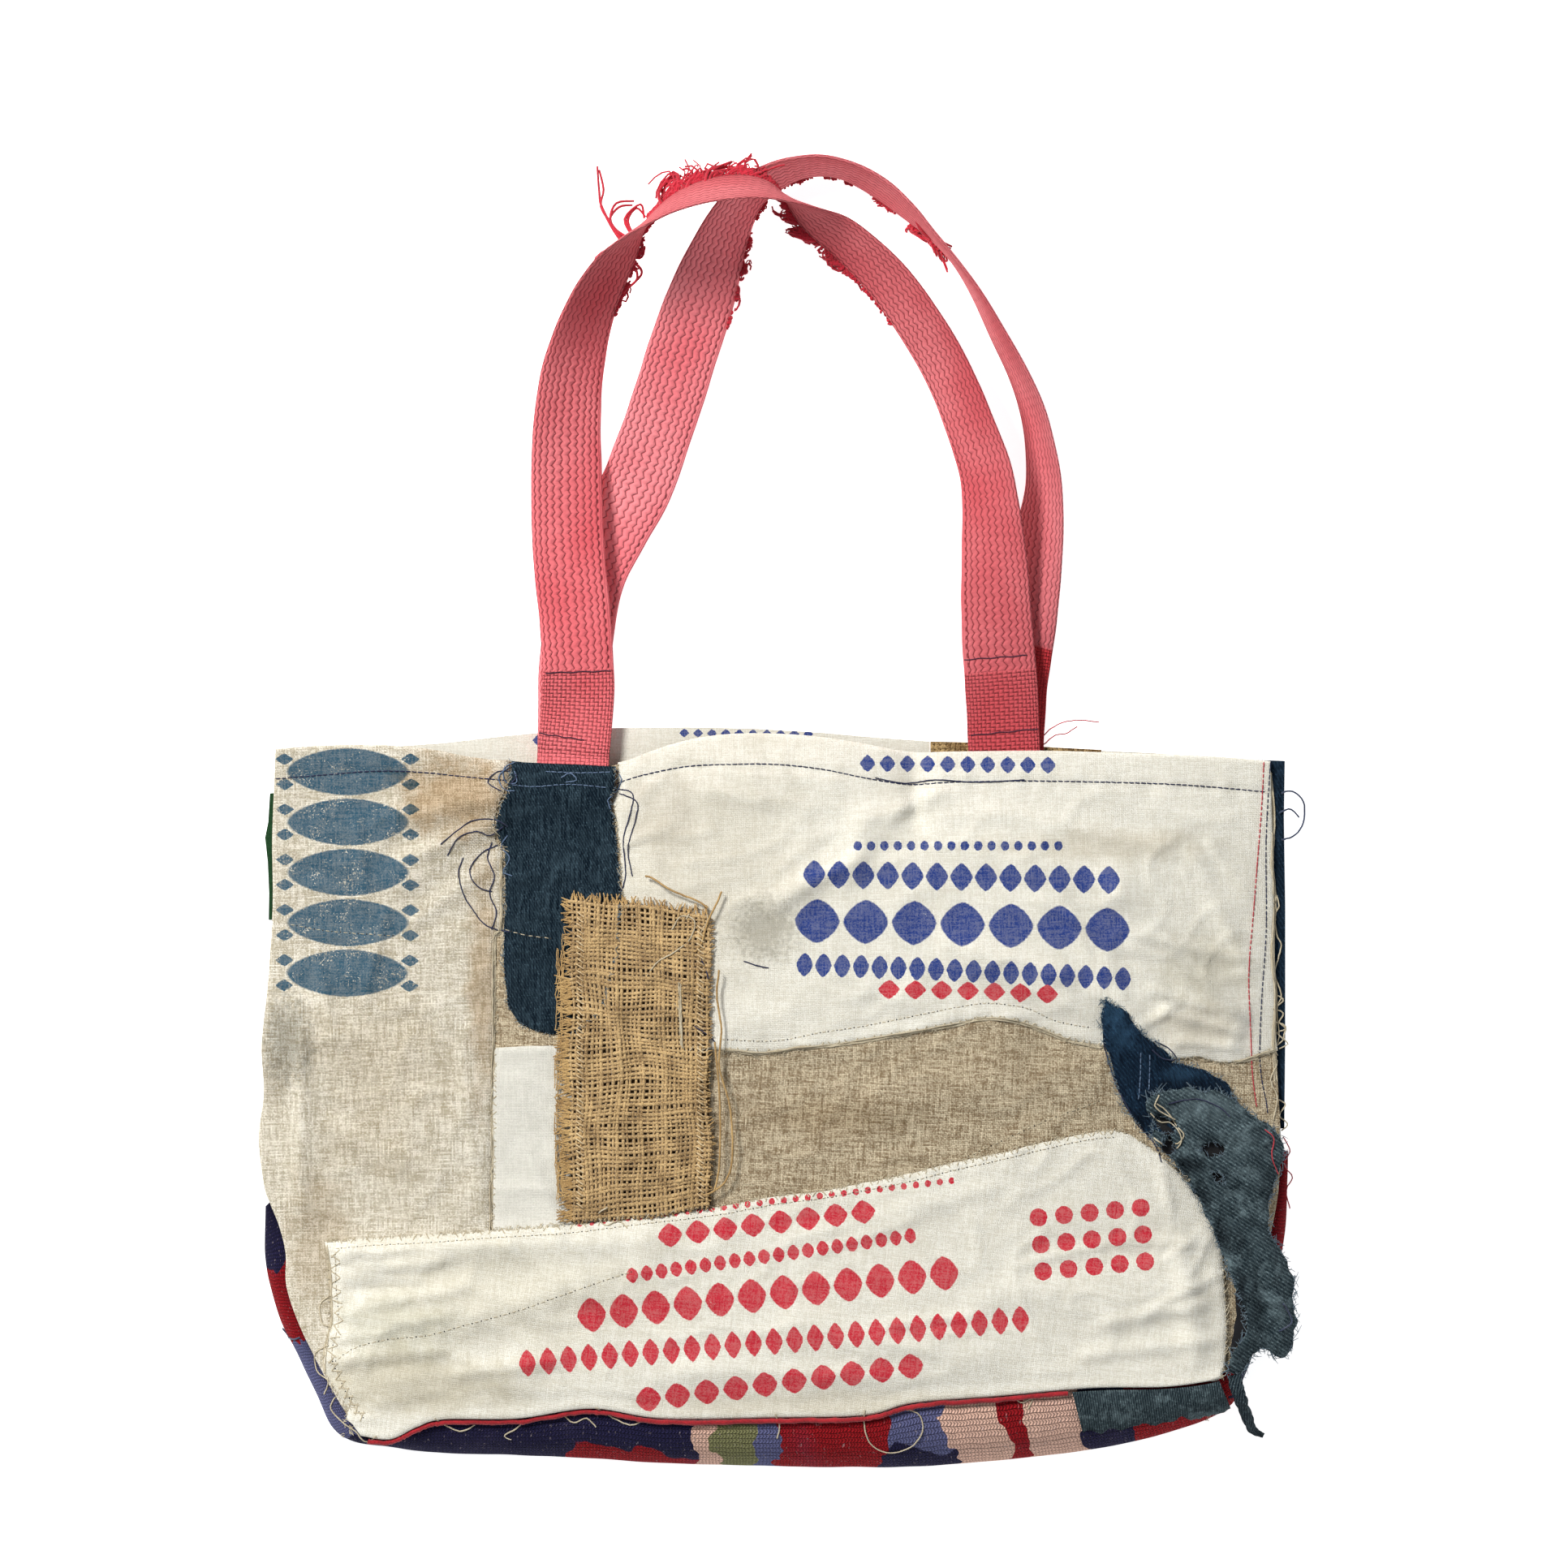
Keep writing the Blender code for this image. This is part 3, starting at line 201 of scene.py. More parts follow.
# Back panel cloths, flat on the surface the bag lies on
BACK_BURLAP = (("x", "y"), (70, 132), (147, 132), (147, 160.6), (120, 162), (86, 164), (70, 164.4))
BACK_DENIM = (
    ("x", "y"),
    (205, -10), (229.4, -10), (229.8, 30), (229.8, 90), (229.2, 130), (229.6, 155.6), (205, 156.6),
)
BACK_GREEN = (
    ("x", "y"),
    (-214, 84), (-228.2, 84), (-228, 96), (-228.6, 110), (-229.8, 121), (-228.4, 128), (-227.6, 141),
    (-214, 142),
)
BACK_COTTON_TOP = (
    ("x", "y"),
    (-224, 160), (-200, 161.2), (-170, 162.2), (-150, 163.6), (-120, 167), (-100, 168.8), (-72, 170.4),
    (-40, 170.8), (-10, 170.2), (20, 168.4), (45, 166.2), (69.6, 164.4), (69.6, 131.6), (147.4, 131.6),
    (147.4, 160.2), (165, 159.4), (190, 158), (204.6, 156.6), (204.6, -10.4), (220.6, -10.4),
)
BACK_COTTON_LEFT = (
    ("x", "y"),
    (-228, -37), (-230.2, -14), (-228.4, 6), (-229, 28), (-226.4, 55), (-224.6, 83.6), (-213.6, 83.6),
    (-213.6, 142.4), (-224, 142.4),
)

# Webbing handles: centre line, height of the lower edge and lean of the width from level
STRAP_FRONT = (
    ("x", "y", "low", "lean"),
    (-91.4, 146.5, 0.0, 0), (-91.0, 151, 0.0, 0), (-90.6, 160, 8.4, 0), (-88.8, 180, 8.8, 6),
    (-88.5, 200, 9.6, 12), (-90.4, 225, 10.6, 8), (-92.8, 252, 11.0, 8), (-93.6, 280, 11.0, 13),
    (-93.4, 303, 11.2, 22), (-91.6, 325, 12.0, 31), (-88.0, 342, 13.0, 41), (-83.0, 357, 15.0, 50),
    (-76.5, 370.5, 18.0, 58), (-69.0, 382.5, 21.5, 70), (-60.0, 393.5, 25.0, 90), (-47.0, 403, 30.0, 104),
    (-31.0, 409, 34.0, 111), (-15.0, 410.8, 36.5, 112), (-2.0, 409, 36.5, 105), (8.0, 404.6, 33.6, 90),
    (20.0, 396.2, 29.0, 68), (34.0, 386, 25.0, 59), (52.7, 367.4, 20.0, 54), (71.5, 340, 14.5, 52),
    (81.5, 320, 12.0, 51), (90.0, 298.5, 10.6, 48), (94.6, 284, 10.2, 45), (96.8, 268, 10.0, 39),
    (98.2, 250, 10.0, 29), (99.0, 230, 10.0, 18), (100.2, 208, 9.8, 8), (101.8, 188, 8.6, 2),
    (103.0, 162, 6.2, 0), (103.4, 145, 6.6, 0), (103.5, 130, 7.4, 0),
)
STRAP_REAR = (
    ("x", "y", "low", "lean"),
    (-91, 130, 1.4, 0), (-91, 150, 1.4, 0), (-90.6, 172, 1.5, 0), (-90.0, 200, 1.0, 0),
    (-87.2, 224, 0.7, 0), (-82.6, 242, 0.5, 1), (-72.6, 261, 0.5, 3), (-62.0, 280, 0.4, 7),
    (-54.6, 300, 0.4, 12), (-47.8, 320, 0.4, 14), (-41.4, 340, 1.4, 15), (-34.6, 360, 2.6, 21),
    (-27.6, 380, 2.8, 38), (-19.4, 399, 2.8, 54), (-10.5, 411, 2.8, 64), (0.5, 418, 2.7, 70),
    (10.0, 421.4, 2.6, 75), (20.0, 422.6, 2.6, 77), (30.0, 421, 2.6, 78), (40.0, 416.8, 2.6, 77),
    (50.5, 410, 2.6, 77), (61.0, 401, 2.6, 81), (70.0, 392, 2.6, 87), (80.4, 380, 2.6, 89),
    (90.4, 365, 2.4, 85), (100.0, 347, 1.5, 80), (108.8, 330, 0.6, 77), (114.8, 315, 0.2, 73),
    (118.4, 300, 0.2, 69), (120.6, 280, 0.3, 62), (119.0, 260, 0.4, 51), (115.8, 240, 0.5, 39),
    (112.0, 220, 0.7, 25), (108.8, 205, 0.9, 12), (106.4, 190, 1.2, 3), (105.0, 170, 2.0, 0),
    (104.4, 150, 2.0, 0), (104.0, 134, 2.0, 0),
)
# Painted shade along each handle: distance along it in millimetres and the grey its colour is multiplied by.
# Worn selvages: share of the handle's stations where the strip runs, and lock length by share of the strip
FRONT_PAINTED_SHADES = (
    (0, 1.0), (190, 0.98), (240, 0.84), (330, 0.82), (360, 0.90), (420, 0.88), (560, 0.88), (640, 0.97)
)
REAR_PAINTED_SHADES = ((0, 1.0), (200, 0.98), (300, 0.96), (380, 0.88), (480, 0.84), (600, 0.84), (665, 0.86))
FRONT_FRAY_RUN = (0.335, 0.635)
FRONT_FRAY = (
    ("along", "length"),
    (0.00, 1.2), (0.05, 2.6), (0.10, 3.2), (0.14, 1.6), (0.20, 0.8), (0.24, 3.5), (0.28, 6.0), (0.34, 7.0),
    (0.40, 5.0), (0.46, 4.4), (0.52, 3.0), (0.58, 1.0), (0.63, 1.5), (0.68, 3.0), (0.74, 4.0), (0.80, 4.6),
    (0.86, 2.6), (0.93, 1.6), (1.00, 1.2),
)
REAR_FRAY_RUN = (0.355, 0.610)
REAR_FRAY = (
    ("along", "length"),
    (0.00, 2.0), (0.08, 3.6), (0.20, 3.0), (0.28, 1.4), (0.38, 0.8), (0.80, 1.2), (0.88, 4.2), (0.94, 5.0),
    (1.00, 3.0),
)

# Loose tail of torn denim
TAIL = (
    ("x", "y", "z", "width"),
    (205.2, -118.9, 31.1, 6.2), (206.4, -124, 30.6, 6.2), (208.6, -131, 27.0, 5.4),
    (211.8, -139, 18.0, 5.0), (215.0, -145.4, 8.0, 3.6), (219.6, -148, 2.4, 2.2),
)

# Frayed denim patch on the bottom band: place along the band, and how far down the section it reaches
BOTTOM_PATCH = (
    ("along", "reach"),
    (18.92, 0.30), (19.2, 0.31), (19.5, 0.30), (19.8, 0.32), (20.05, 0.30), (20.3, 0.36), (20.6, 0.38),
    (20.9, 0.43), (21.2, 0.44),
)
PATCH_LIFT = 0.8

# Navy hem seams, pale running seams and the red and dark side seams
HEM_LINEN = (
    ("x", "y"), (-225, 147.5), (-200, 149.5), (-180, 151), (-160, 150.5), (-140, 148.5), (-118, 146.5)
)
HEM_SACK = (
    ("x", "y"),
    (-72, 145), (-60, 149), (-40, 153), (-20, 154), (0, 154), (20, 152), (40, 148), (60, 145), (80, 146),
    (120, 146.5), (180, 145), (222, 141.5),
)
SEAM_LINEN = (("x", "y"), (-218, 82), (-200, 79), (-170, 77))
SEAM_TAB = (("x", "y"), (-121, 80), (-112, 77.5), (-100, 76))
SEAM_UPPER = (
    ("x", "y"),
    (-24, 31), (0, 30.4), (20, 34), (40, 37), (60, 41), (80, 45), (95, 47), (112, 45), (126, 39), (142, 36),
)
SEAM_LOWER_TOP = (
    ("x", "y"),
    (-197, -63), (-180, -61.4), (-150, -59.6), (-126, -57.6), (-92, -55.4), (-60, -51.4), (-28, -47.6),
    (0, -42.6), (20, -40), (40, -36.4), (60, -32.4), (80, -27.4), (100, -23), (120, -18.2), (140, -14),
    (152, -13),
)
SEAM_LOWER_LEFT = (
    ("x", "y"),
    (-197, -64), (-196.6, -80), (-195.4, -96), (-198.4, -110), (-195, -120), (-190, -130), (-184, -138),
)
SEAM_LOWER_CROSS = (
    ("x", "y"),
    (-199, -115), (-188, -107), (-173, -103), (-155, -101), (-137, -96), (-115, -90), (-98, -84),
    (-75, -76), (-62, -72),
)
SEAM_TAUPE = (("x", "y"), (83, -23), (100, -15), (120, -6), (145, 3))
DENIM_SEAMS = (
    (("x", "y"), (-118, 144.8), (-108, 144.0), (-92, 145.0), (-74, 143.4)),
    (("x", "y"), (-103, 150.8), (-88, 150.2), (-73, 150.6)),
    (("x", "y"), (163.8, 25), (163.6, 14), (162.6, 2)), (("x", "y"), (167.8, 24), (167.8, 16), (167.4, 8)),
)
SEAM_RED = (
    ("x", "y"),
    (220, 155), (219, 135), (217, 110), (215, 85), (213, 60), (214, 30), (214.6, 16), (216, 4), (217, -2),
)
SEAM_SIDE = (
    ("x", "y"),
    (223, 155), (221, 120), (221, 80), (219, 50), (218, 25), (219, 12), (221, 2), (221.6, -4),
)


def column(table, name):
    """One named column of a table, as a list."""
    place = table[0].index(name)
    return [row[place] for row in table[1:]]


def smooth_value(values, position):
    """Catmull-Rom value at a fractional row position."""
    last = len(values) - 1
    position = min(max(position, 0.0), float(last))
    low = min(int(position), last - 1)
    share = position - low
    before = values[max(low - 1, 0)]
    start = values[low]
    end = values[low + 1]
    after = values[min(low + 2, last)]
    square = share * share
    cube = square * share
    return 0.5 * (
        2.0 * start
        + (end - before) * share
        + (2.0 * before - 5.0 * start + 4.0 * end - after) * square
        + (3.0 * start - before - 3.0 * end + after) * cube
    )


def smooth_row(table, names, position):
    """Named columns of a table at a fractional row position."""
    return [smooth_value(column(table, name), position) for name in names]


def stepped_value(places, values, place):
    """Straight-line value between rows that are listed by place."""
    if place <= places[0]:
        return values[0]
    for index in range(1, len(places)):
        if place <= places[index]:
            share = (place - places[index - 1]) / (places[index] - places[index - 1])
            return values[index - 1] + (values[index] - values[index - 1]) * share
    return values[-1]


def ease(value):
    """Smooth step from 0 to 1."""
    value = min(max(value, 0.0), 1.0)
    return value * value * (3.0 - 2.0 * value)


def bump_at(value, centre, width):
    """Soft bell of height 1 at a centre."""
    return math.exp(-(((value - centre) / width) ** 2))


class Edge:
    """One side of the front wall, read by share of its length in plan."""

    def __init__(self, table):
        self.xs = column(table, "x")
        self.ys = column(table, "y")
        self.heights = column(table, "height")
        self.marks = [0.0]
        for index in range(1, len(self.xs)):
            step = math.hypot(self.xs[index] - self.xs[index - 1], self.ys[index] - self.ys[index - 1])
            self.marks.append(self.marks[-1] + step)

    def at(self, share):
        """Point at a share of the length."""
        wanted = min(max(share, 0.0), 1.0) * self.marks[-1]
        index = 1
        while index < len(self.marks) - 1 and self.marks[index] < wanted:
            index += 1
        span = self.marks[index] - self.marks[index - 1]
        position = index - 1 + (wanted - self.marks[index - 1]) / span
        return Vector((
            smooth_value(self.xs, position),
            smooth_value(self.ys, position),
            smooth_value(self.heights, position),
        ))


def fold_rise(x, y, folds=FOLDS):
    """Rise of the folds at a place in plan."""
    total = 0.0
    for x0, y0, x1, y1, rise, width in folds[1:]:
        run_x = x1 - x0
        run_y = y1 - y0
        length = math.hypot(run_x, run_y)
        along = ((x - x0) * run_x + (y - y0) * run_y) / length
        across = ((x - x0) * run_y - (y - y0) * run_x) / length
        past = max(-along, along - length, 0.0)
        total += rise * math.exp(-((across / width) ** 2) - (past / (1.6 * width)) ** 2)
    return total


# Narrow creases pressed into the front: a ridge, or a groove where the rise is negative, between two points
CREASES = (
    ("x0", "y0", "x1", "y1", "rise", "width"),
    (71, 140, 44, 129, 0.4, 2.6), (34, 110, 4, 94, 0.6, 2.8), (155, 96, 205, 44, 1.2, 3.6),
    (80, 75, 125, 60, 1.0, 4.2), (125, 60, 150, 48, 1.0, 3.6), (150, 60, 168, 25, 1.2, 3.6),
    (165, 60, 185, 40, 0.9, 3.4), (62, 158, 63, 132, -1.2, 3.0), (-30, 142, 10, 136, 0.8, 3.6),
    (-16, 156, -6, 140, 0.7, 3.0), (100, 132, 170, 118, 0.7, 4.6), (175, 140, 212, 112, 0.8, 4.6),
    (-55, 110, -40, 60, 0.7, 4.2), (28, 60, 60, 46, 0.6, 3.6), (190, 110, 214, 60, 0.8, 4.0),
    (-122, 140, -160, 132, 1.0, 3.6), (-124, 128, -165, 112, 1.2, 3.4), (-126, 110, -160, 85, 0.9, 4.0),
    (-213, 30, -214, -50, 1.0, 3.4), (-190, 60, -150, 40, 0.6, 4.4), (-200, -10, -150, -30, 0.6, 4.4),
    (-140, 20, -132, -40, 0.7, 3.6), (-205, 100, -180, 70, 0.6, 4.2), (-192, -75, -150, -68, 1.1, 3.0),
    (-188, -90, -140, -80, 1.0, 3.0), (-190, -64, -120, -60, 0.7, 2.8), (-120, -125, -60, -128, 0.9, 4.0),
    (150, -95, 190, -88, 1.0, 3.4), (140, -110, 195, -104, 1.0, 3.4), (165, -45, 198, -70, 1.1, 3.6),
    (20, -55, 95, -36, 0.6, 4.2), (-40, -116, 60, -120, 0.7, 4.2), (-194, -100, -160, -96, 0.8, 2.8),
    (-190, -112, -150, -108, 0.9, 3.0), (-62, 0, -45, -40, -0.9, 3.4), (-72, 60, -70, 20, 1.1, 3.4),
    (170, 0, 176, -40, 0.8, 3.0), (-110, -20, -96, -55, 0.6, 3.2), (-50, 40, -36, 10, 0.8, 3.2),
    (-84, 10, -74, -30, -0.8, 3.2), (-80, 84, -60, 74, 0.8, 3.2), (160, 78, 212, 66, 0.9, 2.8),
    (120, 92, 160, 70, 0.8, 3.0), (184, 52, 206, 30, 0.9, 2.6), (170, 52, 196, 44, 0.8, 2.0),
    (176, 42, 208, 34, 0.8, 2.0), (164, 36, 180, 46, 0.7, 2.0), (192, 60, 212, 40, 0.7, 2.0),
    (180, 30, 208, 26, 0.6, 1.8), (128, 97, 146, 55, 0.6, 3.0), (56, 134, 74, 142, 0.5, 2.0),
    (46, 122, 58, 134, 0.5, 2.0), (-16, 92, 24, 106, 0.5, 2.4), (-194, -68, -168, -71, 0.8, 1.9),
    (-194, -78, -160, -77, 0.8, 1.9), (-194, -86, -166, -84, 0.8, 1.9), (-194, -95, -150, -93, 0.8, 1.9),
    (-194, -104, -172, -100, 0.7, 1.9), (-186, -134, -150, -126, 0.7, 2.2), (-216, 60, -212, 20, 0.9, 2.8),
    (-128, 134, -150, 141, 1.0, 2.6), (-66, 134, -50, 150, 0.8, 2.8), (-64, 120, -48, 126, 0.7, 2.8),
    (-168, -140, -130, -132, 0.9, 3.0), (-140, -118, -100, -112, 0.7, 3.2), (156, -60, 192, -60, 0.8, 3.0),
    (120, -118, 186, -118, 0.9, 2.8), (170, -88, 196, -76, 0.9, 2.6), (-226, -20, -206, -52, 0.9, 2.8),
    (-200, -60, -178, -66, 0.9, 2.4), (-188, 128, -184, 96, 0.8, 2.6), (-176, 84, -184, 50, 0.8, 2.6),
    (-206, 70, -198, 34, 0.8, 2.4), (-120, 60, -104, 28, 0.6, 2.4), (-100, -20, -84, -48, 0.6, 2.2),
    (52, -96, 88, -92, 0.6, 2.2), (196, 118, 214, 96, 0.8, 2.0), (184, 104, 206, 80, 0.7, 1.9),
    (134, 86, 158, 62, 0.7, 2.0), (106, 70, 132, 60, 0.6, 2.2), (18, -64, 60, -50, 0.6, 2.2),
    (110, -70, 146, -60, 0.6, 2.2),
)


def creases(x, y):
    """Soft hand-worn wrinkles between the main folds."""
    sway = noise.noise(Vector((x / 70.0, y / 55.0, 3.7))) * 1.3
    broad = noise.noise(Vector((x / 44.0 + sway, y / 27.0, 0.0)))
    middle = noise.noise(Vector((x / 18.0, y / 13.0 + sway, 7.0)))
    line = noise.noise(Vector((x / 36.0 - sway, y / 22.0 + sway, 12.0)))
    ridge = math.exp(-((line / 0.085) ** 2))
    small = noise.noise(Vector((x / 7.0, y / 6.0, 21.0)))
    return 0.9 * broad + 0.62 * middle + 0.9 * ridge + 0.26 * small + 2.1 * fold_rise(x, y, CREASES)


class Wall:
    """The front wall as one fine lattice that every cloth on it follows."""

    def __init__(self):
        top, left, bottom, right = (Edge(table) for table in (TOP_EDGE, LEFT_EDGE, BOTTOM_EDGE, RIGHT_EDGE))
        shares = []
        for index in range(COLUMNS + 1):
            even = index / COLUMNS
            shares.append(even - EDGE_CROWDING * math.sin(2.0 * math.pi * even))
        tops = [top.at(share) for share in shares]
        bottoms = [bottom.at(share) for share in shares]
        corners = (top.at(0.0), top.at(1.0), bottom.at(0.0), bottom.at(1.0))
        self.rows = []
        for row in range(ROWS + 1):
            down = row / ROWS
            start, end = left.at(down), right.at(down)
            line = []
            for share, high, low in zip(shares, tops, bottoms):
                line.append(self.settled(share, down, start, end, high, low, corners))
            for extra in range(1, OVERHANG + 1):
                line.append(line[COLUMNS] + Vector((0.98, -0.2, -SIDE_DROOP)) * 2.0 * extra)
            self.rows.append(line)
        mesh = self.patch(0, COLUMNS + OVERHANG, 0, ROWS)
        self.tree = BVHTree.FromBMesh(mesh)
        mesh.free()

    def settled(self, across, down, start, end, high, low, corners):
        """Point of the wall between its four edges, with its crown, folds and wrinkles."""
        mixed = corners[0] * (1.0 - across) * (1.0 - down) + corners[1] * across * (1.0 - down)
        mixed += corners[2] * (1.0 - across) * down + corners[3] * across * down
        point = start * (1.0 - across) + end * across + high * (1.0 - down) + low * down - mixed
        point.z += CROWN * down * (1.0 - down) * (1.0 - abs(2.0 * across - 1.0) ** 3)
        side = ease(min(across, 1.0 - across) / 0.05)
        foot = ease((1.0 - down) / 0.10)
        head = 0.25 + 0.75 * ease(down / 0.14)
        point.z += (fold_rise(point.x, point.y) + creases(point.x, point.y) * head) * side * foot
        return point

    def patch(self, first, last, high, low):
        """Part of the lattice as a grid mesh in metres."""
        mesh = bmesh.new()
        bmesh.ops.create_grid(mesh, x_segments=last - first, y_segments=low - high, size=0.5)
        for vertex in mesh.verts:
            at_column = first + round((vertex.co.x + 0.5) * (last - first))
            at_row = high + round((0.5 - vertex.co.y) * (low - high))
            vertex.co = self.rows[at_row][at_column] * MM
        return mesh

    def window(self, outline, overhang):
        """First and last column and row that an outline reaches."""
        xs, ys = [spot[0] for spot in outline], [spot[1] for spot in outline]
        last_column = COLUMNS + (OVERHANG if overhang else 0)
        found = [
            (at_column, at_row)
            for at_row, line in enumerate(self.rows)
            for at_column, point in enumerate(line[: last_column + 1])
            if min(xs) - 5.0 < point.x < max(xs) + 5.0 and min(ys) - 5.0 < point.y < max(ys) + 5.0
        ]
        return (
            min(spot[0] for spot in found), max(spot[0] for spot in found),
            min(spot[1] for spot in found), max(spot[1] for spot in found),
        )

    def height(self, x, y):
        """Height of the wall's underside above a place in plan."""
        hit = self.tree.ray_cast(Vector((x, y, 200.0)) * MM, Vector((0.0, 0.0, -1.0)))[0]
        if hit is None:
            hit = self.tree.find_nearest(Vector((x, y, 10.0)) * MM)[0]
        return hit.z / MM


WALL = Wall()


def inside(x, y, outline):
    """Whether a place in plan is within an outline."""
    within = False
    before = outline[-1]
    for here in outline:
        if (here[1] > y) != (before[1] > y):
            if x < (before[0] - here[0]) * (y - here[1]) / (before[1] - here[1]) + here[0]:
                within = not within
        before = here
    return within


def worn_outline(outline, wander, seed):
    """The outline in short steps, wandering a little as a cut or torn edge does."""
    spots = []
    for index, here in enumerate(outline):
        after = outline[(index + 1) % len(outline)]
        run = Vector((after[0] - here[0], after[1] - here[1]))
        steps = max(int(run.length / 1.6), 1)
        side = Vector((-run.y, run.x)).normalized()
        for step in range(steps):
            spot = Vector(here) + run * step / steps
            shift = noise.noise(Vector((spot.x / 3.1, spot.y / 3.1, seed))) + 0.6 * noise.noise(
                Vector((spot.x / 1.1, spot.y / 1.1, seed + 5.0))
            )
            spots.append(spot + side * shift * wander)
    return spots


def nearest_on(spot, border):
    """Nearest place on a closed border, and its distance."""
    best, best_far = None, 1e9
    before = border[-1]
    for here in border:
        if abs(here.x - spot.x) < 8.0 and abs(here.y - spot.y) < 8.0:
            run = here - before
            share = min(max((spot - before).dot(run) / max(run.length_squared, 1e-9), 0.0), 1.0)
            place = before + run * share
            far = (spot - place).length
            if far < best_far:
                best, best_far = place, far
        before = here
    return best, best_far


def finished(name, mesh, material):
    """Object of a finished bmesh, smooth, at the origin, riding on the bag."""
    data = bpy.data.meshes.new(name)
    mesh.to_mesh(data)
    mesh.free()
    return placed(name, data, material)


def placed(name, data, material):
    """Object of finished mesh data, smooth, at the origin, riding on the bag."""
    data.name = name
    data.shade_smooth()
    data.materials.clear()
    data.materials.append(material)
    thing = bpy.data.objects.new(name, data)
    bpy.context.scene.collection.objects.link(thing)
    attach(thing, "root")
    return thing


def cut_cloth(
    name, table, level, thick, material, relief=None, holes=(), wander=0.25, seed=1.0, overhang=False,
    tuck=0.5
):
    """Cloth cut from the front wall's lattice at its level, with its outline's box and its built area."""
    outline = table[1:] if table else ((-400, -400), (400, -400), (400, 400), (-400, 400))
    first, last, high, low = WALL.window(outline, overhang)
    mesh = WALL.patch(first, last, high, low)
    cut_away = []
    for face in mesh.faces:
        centre = face.calc_center_median() / MM
        if not inside(centre.x, centre.y, outline) or any(inside(centre.x, centre.y, hole) for hole in holes):
            cut_away.append(face)
    bmesh.ops.delete(mesh, geom=cut_away, context="FACES")
    borders = [worn_outline(ring, wander, seed) for ring in (outline, *holes)]
    for vertex in mesh.verts:
        if not vertex.is_boundary:
            continue
        spot = Vector((vertex.co.x, vertex.co.y)) / MM
        for border in borders:
            place, far = nearest_on(spot, border)
            if far < 3.4:
                vertex.co = Vector((place.x, place.y, WALL.height(place.x, place.y))) * MM
                break
    for vertex in mesh.verts:
        rise = level + (relief(vertex.co.x / MM, vertex.co.y / MM) if relief else 0.0)
        if table and vertex.is_boundary:
            rise -= tuck
        vertex.co.z += rise * MM
    bmesh.ops.dissolve_degenerate(mesh, dist=0.12 * MM, edges=mesh.edges[:])
    loose = [vertex for vertex in mesh.verts if not vertex.link_faces]
    bmesh.ops.delete(mesh, geom=loose, context="VERTS")
    area = sum(face.calc_area() for face in mesh.faces)
    bmesh.ops.inset_region(
        mesh, faces=mesh.faces[:], thickness=0.3 * MM, use_boundary=True, use_even_offset=False
    )
    rims = {vertex.co.to_tuple(7) for vertex in mesh.verts if vertex.is_boundary}
    raised = bmesh.ops.extrude_face_region(mesh, geom=mesh.faces[:])
    for item in raised["geom"]:
        if isinstance(item, bmesh.types.BMVert):
            edge = table and item.co.to_tuple(7) in rims
            item.co.z += thick * MM * (0.45 if edge else 1.0)
    bmesh.ops.recalc_face_normals(mesh, faces=mesh.faces[:])
    thing = finished(name, mesh, material)
    left, right, bottom, top = WALL_BOX
    xs = [max(left, min(spot[0], right)) for spot in outline]
    ys = [max(bottom, min(spot[1], top)) for spot in outline]
    flat = ((max(xs) - min(xs)) * MM, (max(ys) - min(ys)) * MM)
    return thing, flat, area


def cloth_strip(name, columns, rows, place, size, material):
    """Closed strip of cloth: place(across, along) gives its middle, facing and half its thickness."""
    mesh = bmesh.new()
    bmesh.ops.create_grid(mesh, x_segments=columns, y_segments=rows, size=0.5)
    shares = mesh.verts.layers.float_vector.new("share")
    for vertex in mesh.verts:
        vertex[shares] = Vector((vertex.co.x + 0.5, vertex.co.y + 0.5, 0.0))
    raised = bmesh.ops.extrude_face_region(mesh, geom=mesh.faces[:])
    for item in raised["geom"]:
        if isinstance(item, bmesh.types.BMVert):
            item[shares] = Vector((item[shares].x, item[shares].y, 1.0))
    for vertex in mesh.verts:
        across, along, side = vertex[shares]
        middle, face, half = place(across, along)
        vertex.co = (middle + face * half * (2.0 * side - 1.0)) * MM
    cloth_mm = mesh.loops.layers.uv.new("cloth_mm")
    for face in mesh.faces:
        for loop in face.loops:
            share = loop.vert[shares]
            loop[cloth_mm].uv = (share.x * size[0], share.y * size[1])
    bmesh.ops.recalc_face_normals(mesh, faces=mesh.faces[:])
    return finished(name, mesh, material)


def strands(name, paths, material, rounding=1):
    """Joined mesh of round threads: each path is a row of points in millimetres with their radius."""
    curve = bpy.data.curves.new(name, "CURVE")
    curve.dimensions = "3D"
    curve.bevel_depth = MM
    curve.bevel_resolution = rounding
    curve.use_fill_caps = True
    for path in paths:
        spline = curve.splines.new("POLY")
        spline.points.add(len(path) - 1)
        for spot, (point, radius) in zip(spline.points, path):
            spot.co = (point.x * MM, point.y * MM, point.z * MM, 1.0)
            spot.radius = radius
    shaper = bpy.data.objects.new(name, curve)
    data = bpy.data.meshes.new_from_object(shaper)
    bpy.data.objects.remove(shaper)
    bpy.data.curves.remove(curve)
    return placed(name, data, material)


def linear(colour):
    """Screen colour as the shader's scene-linear colour."""
    values = [value / 12.92 if value <= 0.04045 else ((value + 0.055) / 1.055) ** 2.4 for value in colour[:3]]
    return (*values, 1.0)


def node(tree, kind, inputs=None, **settings):
    """New shader node with its settings, and its inputs set or linked."""
    made = tree.nodes.new(kind)
    for name, value in settings.items():
        setattr(made, name, value)
    for key, value in (inputs or {}).items():
        if isinstance(value, bpy.types.NodeSocket):
            tree.links.new(value, made.inputs[key])
        else:
            made.inputs[key].default_value = value
    return made


def maths(tree, operation, *values, clamp=False):
    """Output of a Math node."""
    made = node(tree, "ShaderNodeMath", dict(enumerate(values)), operation=operation, use_clamp=clamp)
    return made.outputs[0]


